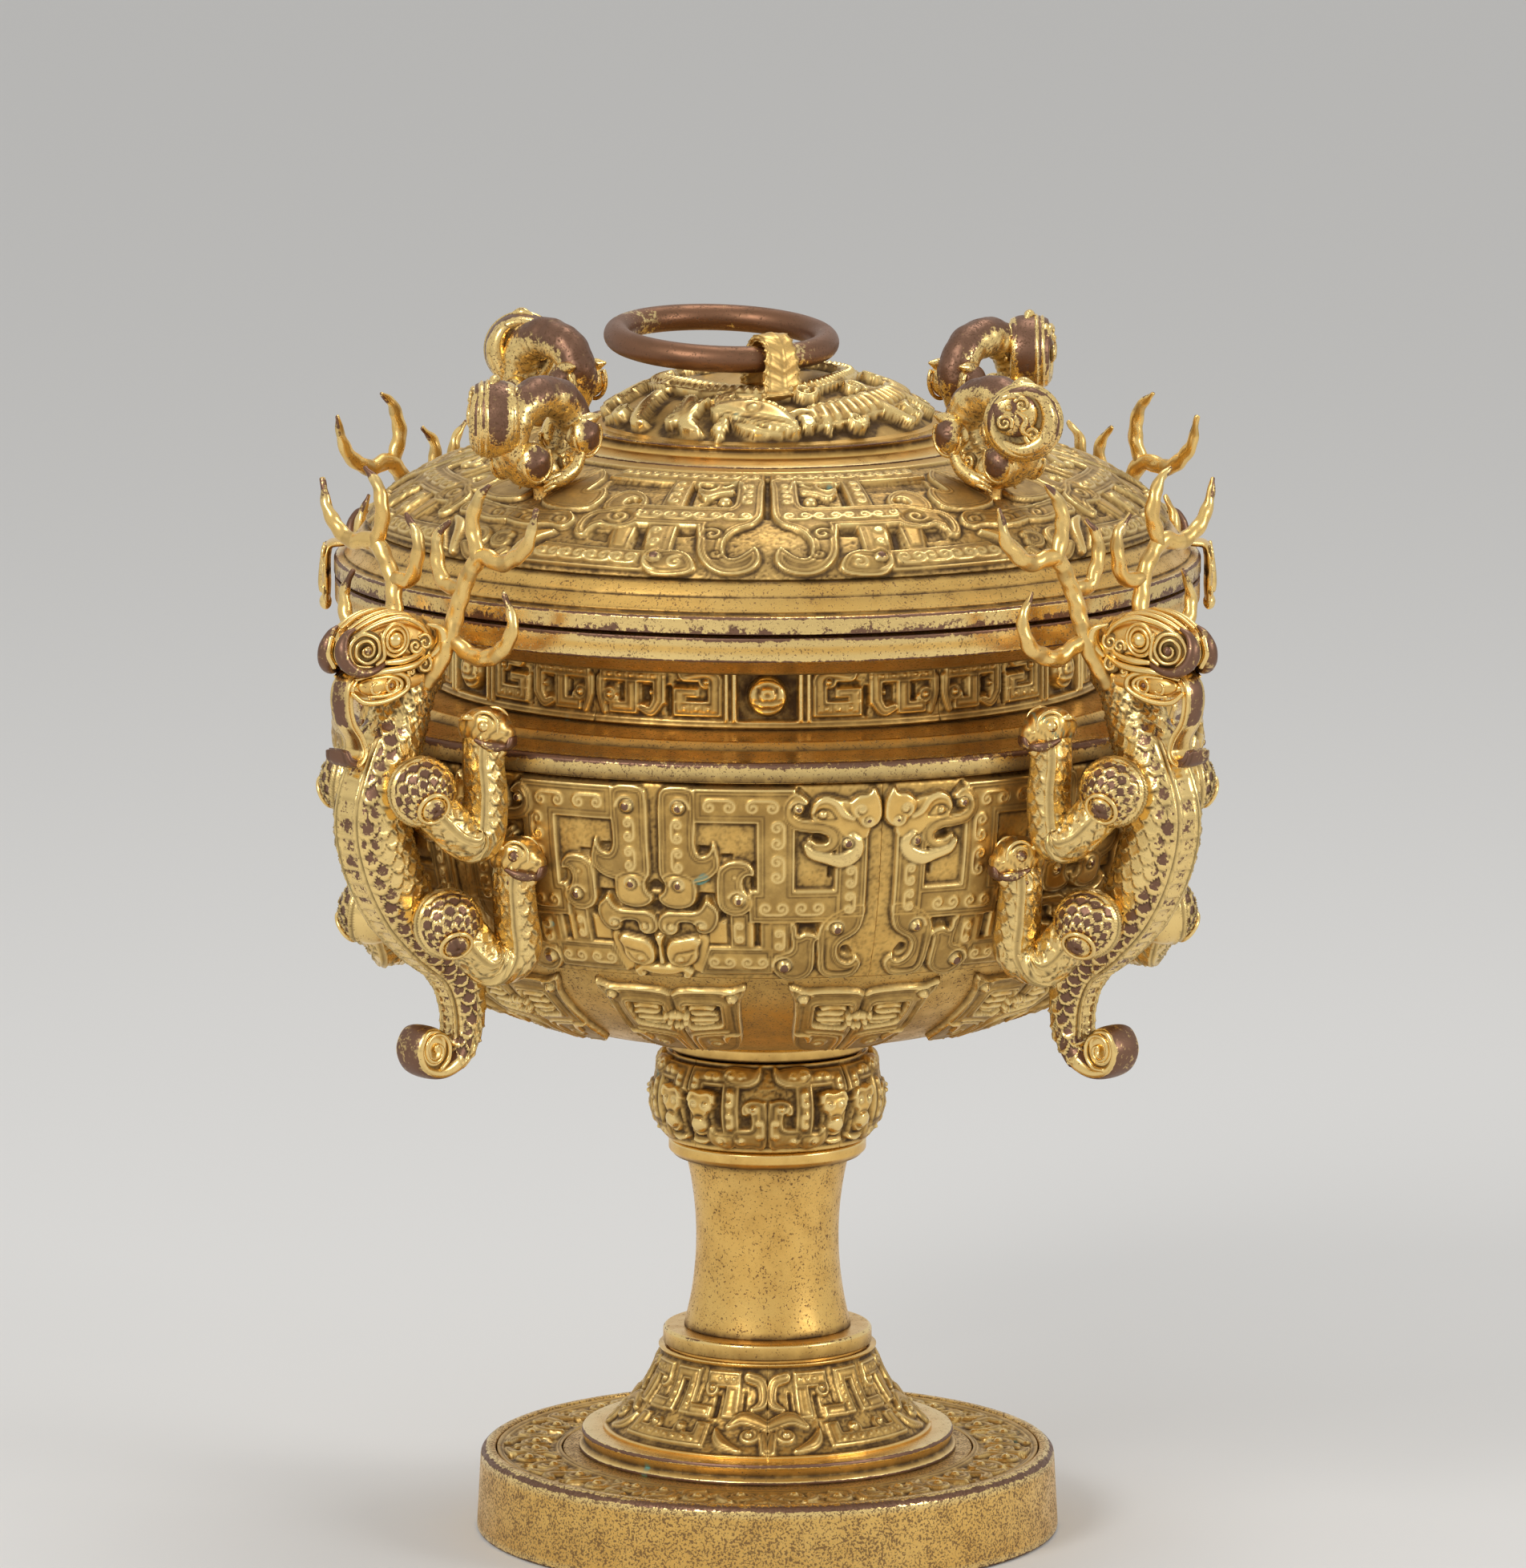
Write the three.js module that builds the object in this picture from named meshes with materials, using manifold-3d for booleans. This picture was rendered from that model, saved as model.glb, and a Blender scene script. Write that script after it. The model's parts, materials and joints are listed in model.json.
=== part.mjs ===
// A gilt bronze covered stem cup: a deep bowl on a tall stem, four dragon handles with antlers,
// and a domed lid with four coiled-beast knobs and a loose carrying ring.
// Millimetres, +Z up, origin at the centre of the foot's resting face, front towards -Y.
import * as THREE from 'three';
import { mergeVertices } from 'three/addons/utils/BufferGeometryUtils.js';
import Module from 'manifold-3d';

const wasm = await Module();
wasm.setup();

// Fits and facets
const seatGap = 0.3; // air between pieces that meet on a slope
const slideGap = 1.0; // radial play of the lid's lip in the mouth
const largeTurns = 24; // facets round a wide turned piece
const stemTurns = 20; // facets round a slim one

// Foot
const footRadius = 70.4;
const footTaper = 1.0;
const footHeight = 20;
const footWall = 4.4;
const footEdge = 1.4;
const rimInner = footRadius - 4.6;
const openworkInner = rimInner - 16.3;
const openworkDepth = 1.8;
const openworkSlots = 12;
const landDrop = 0.5;
const flangeRadius = openworkInner - 3.9;
const flangeHeight = 5.1;
const coneBaseRadius = flangeRadius - 5.6;
const footBore = coneBaseRadius - 4;
const coneTopRadius = 26;
const coneHeight = 20.9;

// Stem
const stemWall = 3.4;
const lowerCollarRadius = coneTopRadius - 0.8;
const lowerCollarHeight = 4.1;
const columnBaseRadius = lowerCollarRadius - 5;
const columnWaistRadius = columnBaseRadius - 3;
const columnTopRadius = columnBaseRadius - 0.5;
const stemBore = columnWaistRadius - 5.2;
const columnHeight = 42.2;
const upperCollarRadius = columnTopRadius + 4.1;
const upperCollarHeight = 4.2;
const knopEndRadius = upperCollarRadius + 0.2;
const knopBulge = 4.2;
const knopHeight = 22.2;
const seatRingRadius = knopEndRadius + 0.5;
const seatRingHeight = 3.3;

// Bowl and mouth
const bowlRadius = 104;
const bowlHeight = 77.9;
const bowlFullness = 2.8; // exponent of the wall's curve, 2 is an ellipse
const bowlLean = 1.8; // how far the upper wall leans in from that curve
const bowlWall = 4;
const shoulderRadius = bowlRadius + 0.5;
const shoulderHeight = 4.6;
const neckRise = 4;
const neckRadius = bowlRadius - 23;
const neckWall = 4;
const friezeHeight = 15;
const mouthRadius = bowlRadius - 0.5;
const mouthBevelRadius = mouthRadius - 10;
const mouthBevel = 4.6;
const mouthHeight = 5.6;

// Lid
const lidRestGap = 0.1;
const lidRimRadius = mouthRadius + 0.2;
const lidRimHeight = 4.1;
const lidRimLift = 0.7; // the dark gap under the rim's edge
const lidMouldHeight = 7.2;
const lidLipDepth = 7;
const lidLipWall = 3.5;
const domeRadius = lidRimRadius - 7.7;
const domeHeight = 19.5;
const domeFullness = 1.6;
const domeWall = 3.5;
const domeSteps = 6;
const crownRadius = domeRadius - 46;
const crownTopRadius = crownRadius - 6;
const crownHeight = 4.7;
const crownBore = crownRadius - 14;
const medallionRadius = crownRadius - 9;
const medallionHeight = 12.8;
const medallionWall = 3;
const medallionSteps = 5;

// Carrying ring and its strap
const ringRadius = 25;
const ringTube = 3.2;
const ringTiltDeg = 5;
const ringTurnDeg = 28.5; // swings the strap's tangent off the X axis
const ringPlay = 1.1;
const strapReach = 18; // from the lid's axis to the eye
const strapRise = 6.6; // from the medallion to the eye
const strapSide = 0.9; // the eye's offset to the right
const strapBand = 1.7;
const strapFootWidth = 10.6;
const strapTopWidth = 8;

// Coiled-beast knobs and mask clasps
const knobReach = crownRadius + 25;
const knobRing = 9.4;
const knobTube = 4.3;
const knobSink = 1.2;
const knobDisc = 9.6;
const knobDiscWidth = 8.6;
const claspWidth = 11;
const claspProud = 3.9;

// Dragon handles
const handleAngles = { front_right: -45, back_right: 45, back_left: 135, front_left: -135 };
const bodyFacets = 8;
const bodySteps = 17;
const limbFacets = 5;
const limbSteps = 6;
const antlerFacets = 4;
const handleUnit = bowlHeight / 77.9; // the dragons are drawn for a bowl of this height
const antlerBeam = 2.1 * handleUnit;
const haunchRadius = 7.6 * handleUnit;
const haunchHeight = 8.2 * handleUnit;

// Levels, each stacked on the one below
const landTop = footHeight - landDrop;
const flangeTop = landTop + flangeHeight;
const coneTop = flangeTop + coneHeight;
const lowerCollarTop = coneTop + lowerCollarHeight;
const columnTop = lowerCollarTop + columnHeight;
const upperCollarTop = columnTop + upperCollarHeight;
const knopTop = upperCollarTop + knopHeight;
const bowlBase = knopTop + seatRingHeight;
const shoulderBase = bowlBase + bowlHeight;
const shoulderTop = shoulderBase + shoulderHeight;
const neckBase = shoulderTop + neckRise;
const friezeTop = neckBase + friezeHeight;
const mouthEdge = friezeTop + mouthBevel;
const mouthTop = mouthEdge + mouthHeight;
const lidBase = mouthTop + lidRestGap;
const lidRimTop = lidBase + lidRimHeight + lidRimLift;
const domeBase = lidRimTop + lidMouldHeight;
const domeTop = domeBase + domeHeight;
const crownTop = domeTop + crownHeight;
const neckBore = neckRadius - neckWall;

// Mesh and solid helpers

function weld(geometry) {
  const bare = new THREE.BufferGeometry();
  bare.setAttribute('position', geometry.getAttribute('position'));
  bare.setIndex(geometry.getIndex());
  const merged = mergeVertices(bare, 1e-4);
  const index = merged.getIndex();
  const at = merged.getAttribute('position');
  const kept = [];
  const [a, b, c] = [new THREE.Vector3(), new THREE.Vector3(), new THREE.Vector3()];
  let volume = 0;
  for (let i = 0; i < index.count; i += 3) {
    const corners = [index.getX(i), index.getX(i + 1), index.getX(i + 2)];
    if (new Set(corners).size < 3) continue;
    kept.push(...corners);
    [a, b, c].forEach((corner, n) => corner.fromBufferAttribute(at, corners[n]));
    volume += a.dot(b.clone().cross(c));
  }
  merged.setIndex(volume < 0 ? kept.reverse() : kept);
  return merged;
}

function solid(geometry) {
  const welded = weld(geometry);
  return new wasm.Manifold(new wasm.Mesh({
    numProp: 3,
    vertProperties: new Float32Array(welded.getAttribute('position').array),
    triVerts: new Uint32Array(welded.getIndex().array),
  }));
}

function meshOf(name, body, finish) {
  const { vertProperties, triVerts } = body.getMesh();
  const geometry = new THREE.BufferGeometry();
  geometry.setAttribute('position', new THREE.BufferAttribute(vertProperties, 3));
  geometry.setIndex(new THREE.BufferAttribute(triVerts, 1));
  geometry.computeVertexNormals();
  const mesh = new THREE.Mesh(geometry, new THREE.MeshStandardMaterial(finish));
  mesh.name = name;
  return mesh;
}

const largest = (body) => body.decompose().sort((a, b) => b.volume() - a.volume())[0];

// A solid of revolution about Z from a list of [radius, height]
function turned(outline, facets = largeTurns) {
  const points = outline.map(([r, z]) => new THREE.Vector2(r, z));
  const onAxis = points[0].x === 0 && points[points.length - 1].x === 0;
  if (!onAxis) points.push(points[0].clone());
  const geometry = new THREE.LatheGeometry(points, facets);
  geometry.rotateX(Math.PI / 2);
  return solid(geometry);
}

// A tapered tube through points [x, y, z, radius], with sections kept square to its run.
// flat widens the section along the reference direction, grow adds to every radius.
function taperedTube(stations, { facets, steps, across, flat = 1, grow = 0 }) {
  const curve = new THREE.CatmullRomCurve3(stations.map(([x, y, z]) => new THREE.Vector3(x, y, z)));
  const last = stations.length - 1;
  const places = [];
  const radii = [];
  for (let i = 0; i <= steps; i++) {
    const t = i / steps;
    const k = Math.min(Math.floor(t * last), last - 1);
    places.push(t);
    radii.push(THREE.MathUtils.lerp(stations[k][3], stations[k + 1][3], t * last - k) + grow);
  }
  const positions = [];
  const index = [];
  places.forEach((t, i) => {
    const centre = curve.getPoint(t);
    const along = curve.getTangent(t);
    const u = across.clone().addScaledVector(along, -across.dot(along)).normalize();
    const v = along.clone().cross(u);
    for (let j = 0; j < facets; j++) {
      const angle = (2 * Math.PI * j) / facets;
      const point = centre.clone().addScaledVector(u, flat * radii[i] * Math.cos(angle));
      point.addScaledVector(v, radii[i] * Math.sin(angle));
      positions.push(point.x, point.y, point.z);
    }
  });
  for (let i = 0; i < steps; i++) {
    for (let j = 0; j < facets; j++) {
      const [a, b] = [i * facets + j, i * facets + ((j + 1) % facets)];
      index.push(a, b, b + facets, a, b + facets, a + facets);
    }
  }
  for (const [t, ring, side] of [[0, 0, -1], [1, steps, 1]]) {
    const tip = curve.getPoint(t).addScaledVector(curve.getTangent(t), side * 0.7 * radii[ring]);
    const pole = positions.length / 3;
    positions.push(tip.x, tip.y, tip.z);
    for (let j = 0; j < facets; j++) {
      const [a, b] = [ring * facets + j, ring * facets + ((j + 1) % facets)];
      index.push(...(side < 0 ? [pole, b, a] : [pole, a, b]));
    }
  }
  const geometry = new THREE.BufferGeometry();
  geometry.setAttribute('position', new THREE.Float32BufferAttribute(positions, 3));
  geometry.setIndex(index);
  return solid(geometry);
}

function ball(x, y, z, radii, columns = 8, rows = 6) {
  const geometry = new THREE.SphereGeometry(1, columns, rows);
  geometry.rotateX(Math.PI / 2);
  geometry.scale(...radii);
  geometry.translate(x, y, z);
  return solid(geometry);
}

const united = (bodies) => bodies.reduce((whole, body) => whole.add(body));

// Curves of the turned pieces

// The bowl's wall from a starting radius up to its rim, as [radius, height]
function bowlCurve(rim, depth, from, steps) {
  const power = 2 / bowlFullness;
  const start = Math.acos((from / rim) ** (1 / power));
  const points = [];
  for (let i = 0; i <= steps; i++) {
    const angle = start * (1 - i / steps);
    const down = Math.sin(angle) ** power;
    const lean = 4 * bowlLean * down * (1 - down);
    points.push([rim * Math.cos(angle) ** power - lean, shoulderBase - depth * down]);
  }
  return points;
}

// The lid's dome from its foot up to the crown, drawn in by the wall when it is the inner face
function domeCurve(inset, steps) {
  const power = 2 / domeFullness;
  const inner = crownRadius - inset;
  const points = [];
  for (let i = 0; i <= steps; i++) {
    const angle = (Math.PI / 2) * (i / steps);
    const out = Math.max(Math.cos(angle), 0) ** power;
    const up = Math.sin(angle) ** power;
    points.push([inner + (domeRadius - crownRadius) * out, domeBase + (domeHeight - inset) * up]);
  }
  return points;
}

function medallionCurve(radius, inset, steps) {
  const points = [];
  for (let i = 0; i <= steps; i++) {
    const r = radius * (1 - i / steps);
    points.push([r, crownTop + medallionHeight * (1 - (r / medallionRadius) ** 2.4) - inset]);
  }
  return points;
}

const dip = (t) => 4 * t * (1 - t);

function waist(from, to, height, low, sag, steps) {
  const points = [];
  for (let i = 0; i <= steps; i++) {
    const t = i / steps;
    points.push([THREE.MathUtils.lerp(from, to, t) - sag * dip(t), low + height * t]);
  }
  return points;
}

// Finishes

const gilt = { color: 0xd9a441, roughness: 0.32, metalness: 1 };
const duskyGilt = { color: 0xb8913f, roughness: 0.45, metalness: 1 };
const bareBronze = { color: 0x6b4632, roughness: 0.4, metalness: 1 };

const vessel = new THREE.Group();
const lid = new THREE.Group();
const cup = new THREE.Group();
cup.add(vessel, lid);

// Foot and stem

function footPlate() {
  const top = footRadius - footTaper;
  const ledge = footHeight - openworkDepth;
  return turned([
    [footRadius, 0], [top, footHeight - footEdge], [top - footEdge, footHeight],
    [rimInner, footHeight], [rimInner, ledge], [openworkInner, ledge],
    [openworkInner, landTop], [footBore, landTop], [footBore, landTop - footWall],
    [footRadius - footWall, landTop - footWall], [footRadius - footWall, 0],
  ]);
}

// A flat ring pierced by curling slots, set in the plate's recess
function openworkRing() {
  const [outer, inner] = [rimInner - seatGap, openworkInner + seatGap];
  const shape = new THREE.Shape();
  shape.absarc(0, 0, outer, 0, 2 * Math.PI);
  const middle = new THREE.Path();
  middle.absarc(0, 0, inner, 0, 2 * Math.PI, true);
  shape.holes.push(middle);
  const pitch = (2 * Math.PI) / openworkSlots;
  const [low, high] = [inner + 3.4, outer - 3.4];
  for (let i = 0; i < openworkSlots; i++) {
    const slot = new THREE.Path();
    const corners = [
      [low, 0.2], [low + 3, 0.42], [high, 0.3], [high, 0.62], [low + 5, 0.72], [low, 0.55],
    ];
    corners.forEach(([r, share], n) => {
      const angle = (i + share) * pitch;
      const [x, y] = [r * Math.cos(angle), r * Math.sin(angle)];
      if (n === 0) slot.moveTo(x, y);
      else slot.lineTo(x, y);
    });
    slot.closePath();
    shape.holes.push(slot);
  }
  const geometry = new THREE.ExtrudeGeometry(shape, {
    depth: openworkDepth, bevelEnabled: false, curveSegments: largeTurns / 2,
  });
  geometry.translate(0, 0, footHeight - openworkDepth);
  return solid(geometry);
}

function footFlange() {
  const lip = 0.9;
  return turned([
    [footBore, landTop], [flangeRadius, landTop], [flangeRadius, landTop + lip],
    [flangeRadius - 1.3, landTop + 0.4 * flangeHeight], [flangeRadius - 0.6, flangeTop - lip],
    [flangeRadius - 0.9, flangeTop], [footBore, flangeTop],
  ]);
}

function footCone() {
  const outer = [];
  const inner = [];
  const steps = 6;
  for (let i = 0; i <= steps; i++) {
    const t = i / steps;
    const r = coneTopRadius + (coneBaseRadius - coneTopRadius) * (1 - t) ** 1.8;
    outer.push([r, flangeTop + coneHeight * t]);
    if (i % 2 === 0) inner.unshift([r - stemWall - 1, flangeTop + coneHeight * t]);
  }
  return turned([...outer, ...inner], stemTurns);
}

function collar(radius, low, height, edge) {
  return turned([
    [stemBore, low], [radius - edge, low], [radius, low + edge], [radius, low + height - 0.6],
    [radius - 0.6, low + height], [stemBore, low + height],
  ], stemTurns);
}

function stemColumn() {
  const sag = (columnBaseRadius + columnTopRadius) / 2 - columnWaistRadius;
  const wall = waist(columnBaseRadius, columnTopRadius, columnHeight, lowerCollarTop, sag, 6);
  return turned([...wall, [stemBore, columnTop], [stemBore, lowerCollarTop]], stemTurns);
}

function stemKnop() {
  const wall = waist(knopEndRadius, knopEndRadius, knopHeight, upperCollarTop, -knopBulge, 5);
  return turned([...wall, [stemBore, knopTop], [stemBore, upperCollarTop]], stemTurns);
}

vessel.add(meshOf('foot_plate', footPlate(), gilt));
vessel.add(meshOf('foot_openwork_ring', openworkRing(), gilt));
vessel.add(meshOf('foot_flange', footFlange(), gilt));
vessel.add(meshOf('foot_cone', footCone(), gilt));
vessel.add(meshOf('lower_collar', collar(lowerCollarRadius, coneTop, lowerCollarHeight, 0.3), gilt));
vessel.add(meshOf('stem_column', stemColumn(), gilt));
vessel.add(meshOf('upper_collar', collar(upperCollarRadius, columnTop, upperCollarHeight, 1.4), gilt));
vessel.add(meshOf('stem_knop', stemKnop(), gilt));
vessel.add(meshOf('bowl_seat_ring', collar(seatRingRadius, knopTop, seatRingHeight, 0.5), gilt));

// Bowl, shoulder, neck and mouth

const bowlOuter = bowlCurve(bowlRadius, bowlHeight, seatRingRadius + 9, 9);

function bowl() {
  const inner = bowlCurve(bowlRadius - bowlWall, bowlHeight - bowlWall, 22, 6).reverse();
  return turned([
    [0, bowlBase], [seatRingRadius, bowlBase], ...bowlOuter, ...inner, [0, bowlBase + bowlWall],
  ]);
}

const ledge = shoulderRadius - neckRadius;
const shoulderOuter = [
  [shoulderRadius, shoulderBase],
  [shoulderRadius, shoulderTop - 0.8],
  [shoulderRadius - 0.8, shoulderTop],
  [shoulderRadius - 0.45 * ledge, shoulderTop + 0.3 * neckRise],
  [shoulderRadius - 0.53 * ledge, shoulderTop + 0.2 * neckRise],
  [neckRadius + 0.38 * ledge, shoulderTop + 0.7 * neckRise],
  [neckRadius, neckBase],
];

function shoulderRing() {
  return turned([
    ...shoulderOuter, [neckBore, neckBase], [neckBore, shoulderTop - 0.6],
    [bowlRadius - bowlWall, shoulderBase],
  ]);
}

function neckFrieze() {
  return turned([
    [neckRadius, neckBase], [neckRadius, friezeTop], [neckBore, friezeTop], [neckBore, neckBase],
  ]);
}

function mouthRing() {
  return turned([
    [neckBore, friezeTop], [mouthBevelRadius, friezeTop], [mouthRadius, mouthEdge],
    [mouthRadius, mouthTop], [neckBore, mouthTop],
  ]);
}

vessel.add(meshOf('bowl', bowl(), gilt));
vessel.add(meshOf('shoulder_ring', shoulderRing(), gilt));
vessel.add(meshOf('neck_frieze', neckFrieze(), gilt));
vessel.add(meshOf('mouth_ring', mouthRing(), gilt));

// The vessel's outside, stood off by the seat gap, cuts back whatever seats against it
const vesselKeepOut = turned([
  [0, bowlBase - seatGap], [seatRingRadius + 9, bowlBase - seatGap],
  ...[...bowlOuter, ...shoulderOuter].map(([r, z]) => [r + seatGap, z]),
  [neckRadius + seatGap, friezeTop], [mouthRadius + seatGap, mouthEdge],
  [mouthRadius + seatGap, mouthTop + 1], [0, mouthTop + 1],
]);

// Lid

function lidRimOutline(grow) {
  return [
    [lidRimRadius - 4.7, lidBase],
    [lidRimRadius - 3.7, lidBase + lidRimLift],
    [lidRimRadius + grow, lidBase + lidRimLift],
    [lidRimRadius + grow, lidRimTop - 0.5],
    [lidRimRadius - 0.6 + grow, lidRimTop + grow],
    [lidRimRadius - 2.6, lidRimTop + 0.5 + grow],
    [lidRimRadius - 3.2 + grow, lidRimTop + 1.6 + grow],
    [domeRadius + 1.4 + grow, domeBase - 1 + grow],
    [domeRadius + grow, domeBase + grow],
  ];
}

function lidRim() {
  const lip = neckBore - slideGap;
  return turned([
    ...lidRimOutline(0), [domeRadius - 8, domeBase], [domeRadius - 9, domeBase - 4],
    [lip - lidLipWall, lidBase + 3], [lip - lidLipWall, lidBase - lidLipDepth], [lip, lidBase - lidLipDepth],
    [lip, lidBase],
  ]);
}

function lidDome() {
  const outer = domeCurve(0, domeSteps);
  const inner = domeCurve(domeWall, 5).reverse();
  return turned([...outer, [crownBore, domeTop], [crownBore, domeTop - domeWall], ...inner]);
}

function crownRing() {
  return turned([
    [crownRadius, domeTop], [crownRadius, domeTop + 0.7],
    [crownTopRadius + 1.6, domeTop + 0.45 * crownHeight], [crownTopRadius + 0.6, crownTop - 0.9],
    [crownTopRadius + 1.4, crownTop], [crownBore, crownTop], [crownBore, domeTop],
  ]);
}

function medallion() {
  const outer = medallionCurve(medallionRadius, 0, medallionSteps);
  const inner = medallionCurve(medallionRadius - 6, medallionWall, 4).reverse();
  return turned([...outer, ...inner.map(([r, z]) => [r, Math.max(z, crownTop)])]);
}

lid.add(meshOf('lid_rim', lidRim(), gilt));
lid.add(meshOf('lid_dome', lidDome(), duskyGilt));
lid.add(meshOf('lid_crown_ring', crownRing(), gilt));
lid.add(meshOf('lid_medallion', medallion(), duskyGilt));

const domeKeepOut = turned([
  [0, domeBase], ...domeCurve(0, domeSteps).map(([r, z]) => [r + seatGap, z + seatGap]),
  [0, domeTop + seatGap],
]);
const medallionKeepOut = turned([
  [0, crownTop], ...medallionCurve(medallionRadius, -seatGap, medallionSteps),
]);

// The eye that holds the ring, an arched band astride the ring's tube
const strapTurn = THREE.MathUtils.degToRad(ringTurnDeg);
const medallionAtStrap = crownTop + medallionHeight * (1 - (strapReach / medallionRadius) ** 2.4);
const eye = new THREE.Vector3(strapSide, -strapReach, medallionAtStrap + strapRise);

function ringStrap() {
  const bore = ringTube + ringPlay;
  const outside = bore + strapBand;
  const drop = strapRise + 3;
  const shape = new THREE.Shape();
  shape.moveTo(-outside, -drop);
  shape.lineTo(-bore, -drop);
  shape.lineTo(-bore, 0);
  shape.absarc(0, 0, bore, Math.PI, 0, true);
  shape.lineTo(bore, -drop);
  shape.lineTo(outside, -drop);
  shape.lineTo(outside, 0);
  shape.absarc(0, 0, outside, 0, Math.PI, false);
  const geometry = new THREE.ExtrudeGeometry(shape, { depth: 1, bevelEnabled: false, curveSegments: 7 });
  const at = geometry.getAttribute('position');
  for (let i = 0; i < at.count; i++) {
    const share = THREE.MathUtils.clamp((at.getY(i) + strapRise) / (strapRise + outside), 0, 1);
    const width = THREE.MathUtils.lerp(strapFootWidth, strapTopWidth, share);
    at.setZ(i, (at.getZ(i) - 0.5) * width);
  }
  geometry.rotateX(Math.PI / 2);
  geometry.rotateZ(Math.PI / 2 + strapTurn);
  geometry.translate(eye.x, eye.y, eye.z);
  return solid(geometry).subtract(medallionKeepOut);
}

// The loose ring passes through the eye and lies back over the medallion
function carryingRing() {
  const geometry = new THREE.TorusGeometry(ringRadius, ringTube, 6, 28);
  geometry.translate(0, ringRadius, 0);
  geometry.rotateX(THREE.MathUtils.degToRad(ringTiltDeg));
  geometry.rotateZ(strapTurn);
  geometry.translate(eye.x, eye.y, eye.z);
  return solid(geometry);
}

lid.add(meshOf('ring_strap', ringStrap(), duskyGilt));
lid.add(meshOf('carrying_ring', carryingRing(), bareBronze));

// Knobs: a beast whose body arches into a ring and ends in a flat coil on its outer side
function coiledBeast() {
  const middle = domeTop - knobSink + 0.62 * knobRing + knobTube;
  const arch = new THREE.TorusGeometry(knobRing, knobTube, 6, 12);
  arch.rotateX(Math.PI / 2);
  arch.translate(knobReach, 0, middle);
  const coil = new THREE.CylinderGeometry(knobDisc, knobDisc, knobDiscWidth, 10);
  coil.rotateZ(Math.PI / 2);
  coil.rotateZ(-Math.PI / 4);
  coil.translate(knobReach + 0.8 * knobRing, 0.21 * knobRing, middle + 0.16 * knobRing);
  const swell = [knobTube, 0.84 * knobTube, 1.16 * knobTube];
  const haunches = [-1, 1].map((side) => (
    ball(knobReach - 0.75 * knobRing, side * 1.07 * knobTube, middle - 0.8 * knobRing, swell, 6, 4)
  ));
  return largest(united([solid(arch), solid(coil), ...haunches]).subtract(domeKeepOut));
}

// Clasps: beast masks that hang from the lid's rim over the edge of the mouth
function maskClasp() {
  const [face, back] = [lidRimRadius + claspProud, lidRimRadius + 2 * seatGap];
  const outline = [
    [back, mouthEdge - 2.6], [face - 1.6, mouthEdge - 3], [face, mouthEdge + 1], [face - 0.9, mouthTop - 1],
    [face, lidBase + 3], [face - 2, lidRimTop + 2.2], [lidRimRadius - 5, lidRimTop + 3.4],
    [lidRimRadius - 5, lidRimTop - 1], [back, lidRimTop - 1],
  ];
  const shape = new THREE.Shape(outline.map(([r, z]) => new THREE.Vector2(r, z)));
  const geometry = new THREE.ExtrudeGeometry(shape, { depth: claspWidth, bevelEnabled: false });
  geometry.rotateX(Math.PI / 2);
  geometry.translate(0, claspWidth / 2, 0);
  const rim = turned([
    [0, lidBase - 1], [lidRimRadius + seatGap, lidBase - 1], ...lidRimOutline(seatGap).slice(2),
    [0, domeBase + seatGap],
  ]);
  return largest(solid(geometry).subtract(rim));
}

const beast = coiledBeast();
for (const [place, angle] of Object.entries(handleAngles)) {
  const knob = meshOf(`knob_${place}`, beast, gilt);
  knob.rotation.z = THREE.MathUtils.degToRad(angle);
  lid.add(knob);
}

const mask = maskClasp();
for (const [place, angle] of [['right', 0], ['left', 180]]) {
  const clasp = meshOf(`clasp_${place}`, mask, gilt);
  clasp.rotation.z = THREE.MathUtils.degToRad(angle);
  lid.add(clasp);
}

// Dragon handles, drawn in their own plane: X outwards, Y along the bowl, Z up.
// Heights are from the shoulder and reaches from the bowl's wall, so the beast follows the bowl.

const tangent = new THREE.Vector3(0, 1, 0);
const radial = new THREE.Vector3(1, 0, 0);
const wallReach = bowlRadius;
const station = (out, side, up, radius) => [
  wallReach + out * handleUnit, side * handleUnit, shoulderBase + up * handleUnit, radius * handleUnit,
];

const spine = [
  station(9, 0, 24, 6), station(15, 0, 20, 7), station(18.5, 0, 11, 7.2),
  station(23.5, 0, 2, 8.4), station(27, 0, -9, 9.3), station(24, 0, -20, 9.3),
  station(18, 0, -31, 8.6), station(9, 0, -40, 7.6), station(1, 0, -46, 6.6),
  station(-2.5, 0, -54, 5), station(-2, 0, -64, 3.8), station(3, 0, -71, 3.2),
  station(10, 0, -72, 3.1), station(14.4, 0, -67.4, 3.2), station(11.8, 0, -62.4, 3.1),
];
const muzzle = [
  station(14, 0, 27, 7.5), station(22, 0, 30, 7), station(29, 0, 29.5, 5), station(35, 0, 30, 3.6),
  station(38, 0, 27, 2.4),
];
const jaw = [station(16, 0, 20, 5), station(24, 0, 16.5, 3.4), station(30, 0, 18, 2.2)];
const tongue = [
  station(24, 0, 22, 3), station(33, 0, 22.5, 3.1), station(37.5, 0, 16, 2.6), station(34, 0, 8, 3),
  station(35.5, 0, 2, 3.8), station(38.5, 0, -0.5, 3.2),
];

function dragonBody(grow) {
  const limb = { facets: 6, across: tangent, grow };
  return united([
    taperedTube(spine, { facets: bodyFacets, steps: bodySteps, across: tangent, flat: 1.05, grow }),
    taperedTube(muzzle, { ...limb, steps: 5, flat: 1.1 }),
    taperedTube(jaw, { ...limb, steps: 3, flat: 1.4 }),
    taperedTube(tongue, { ...limb, steps: 7, flat: 1.1 }),
  ]);
}

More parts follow.
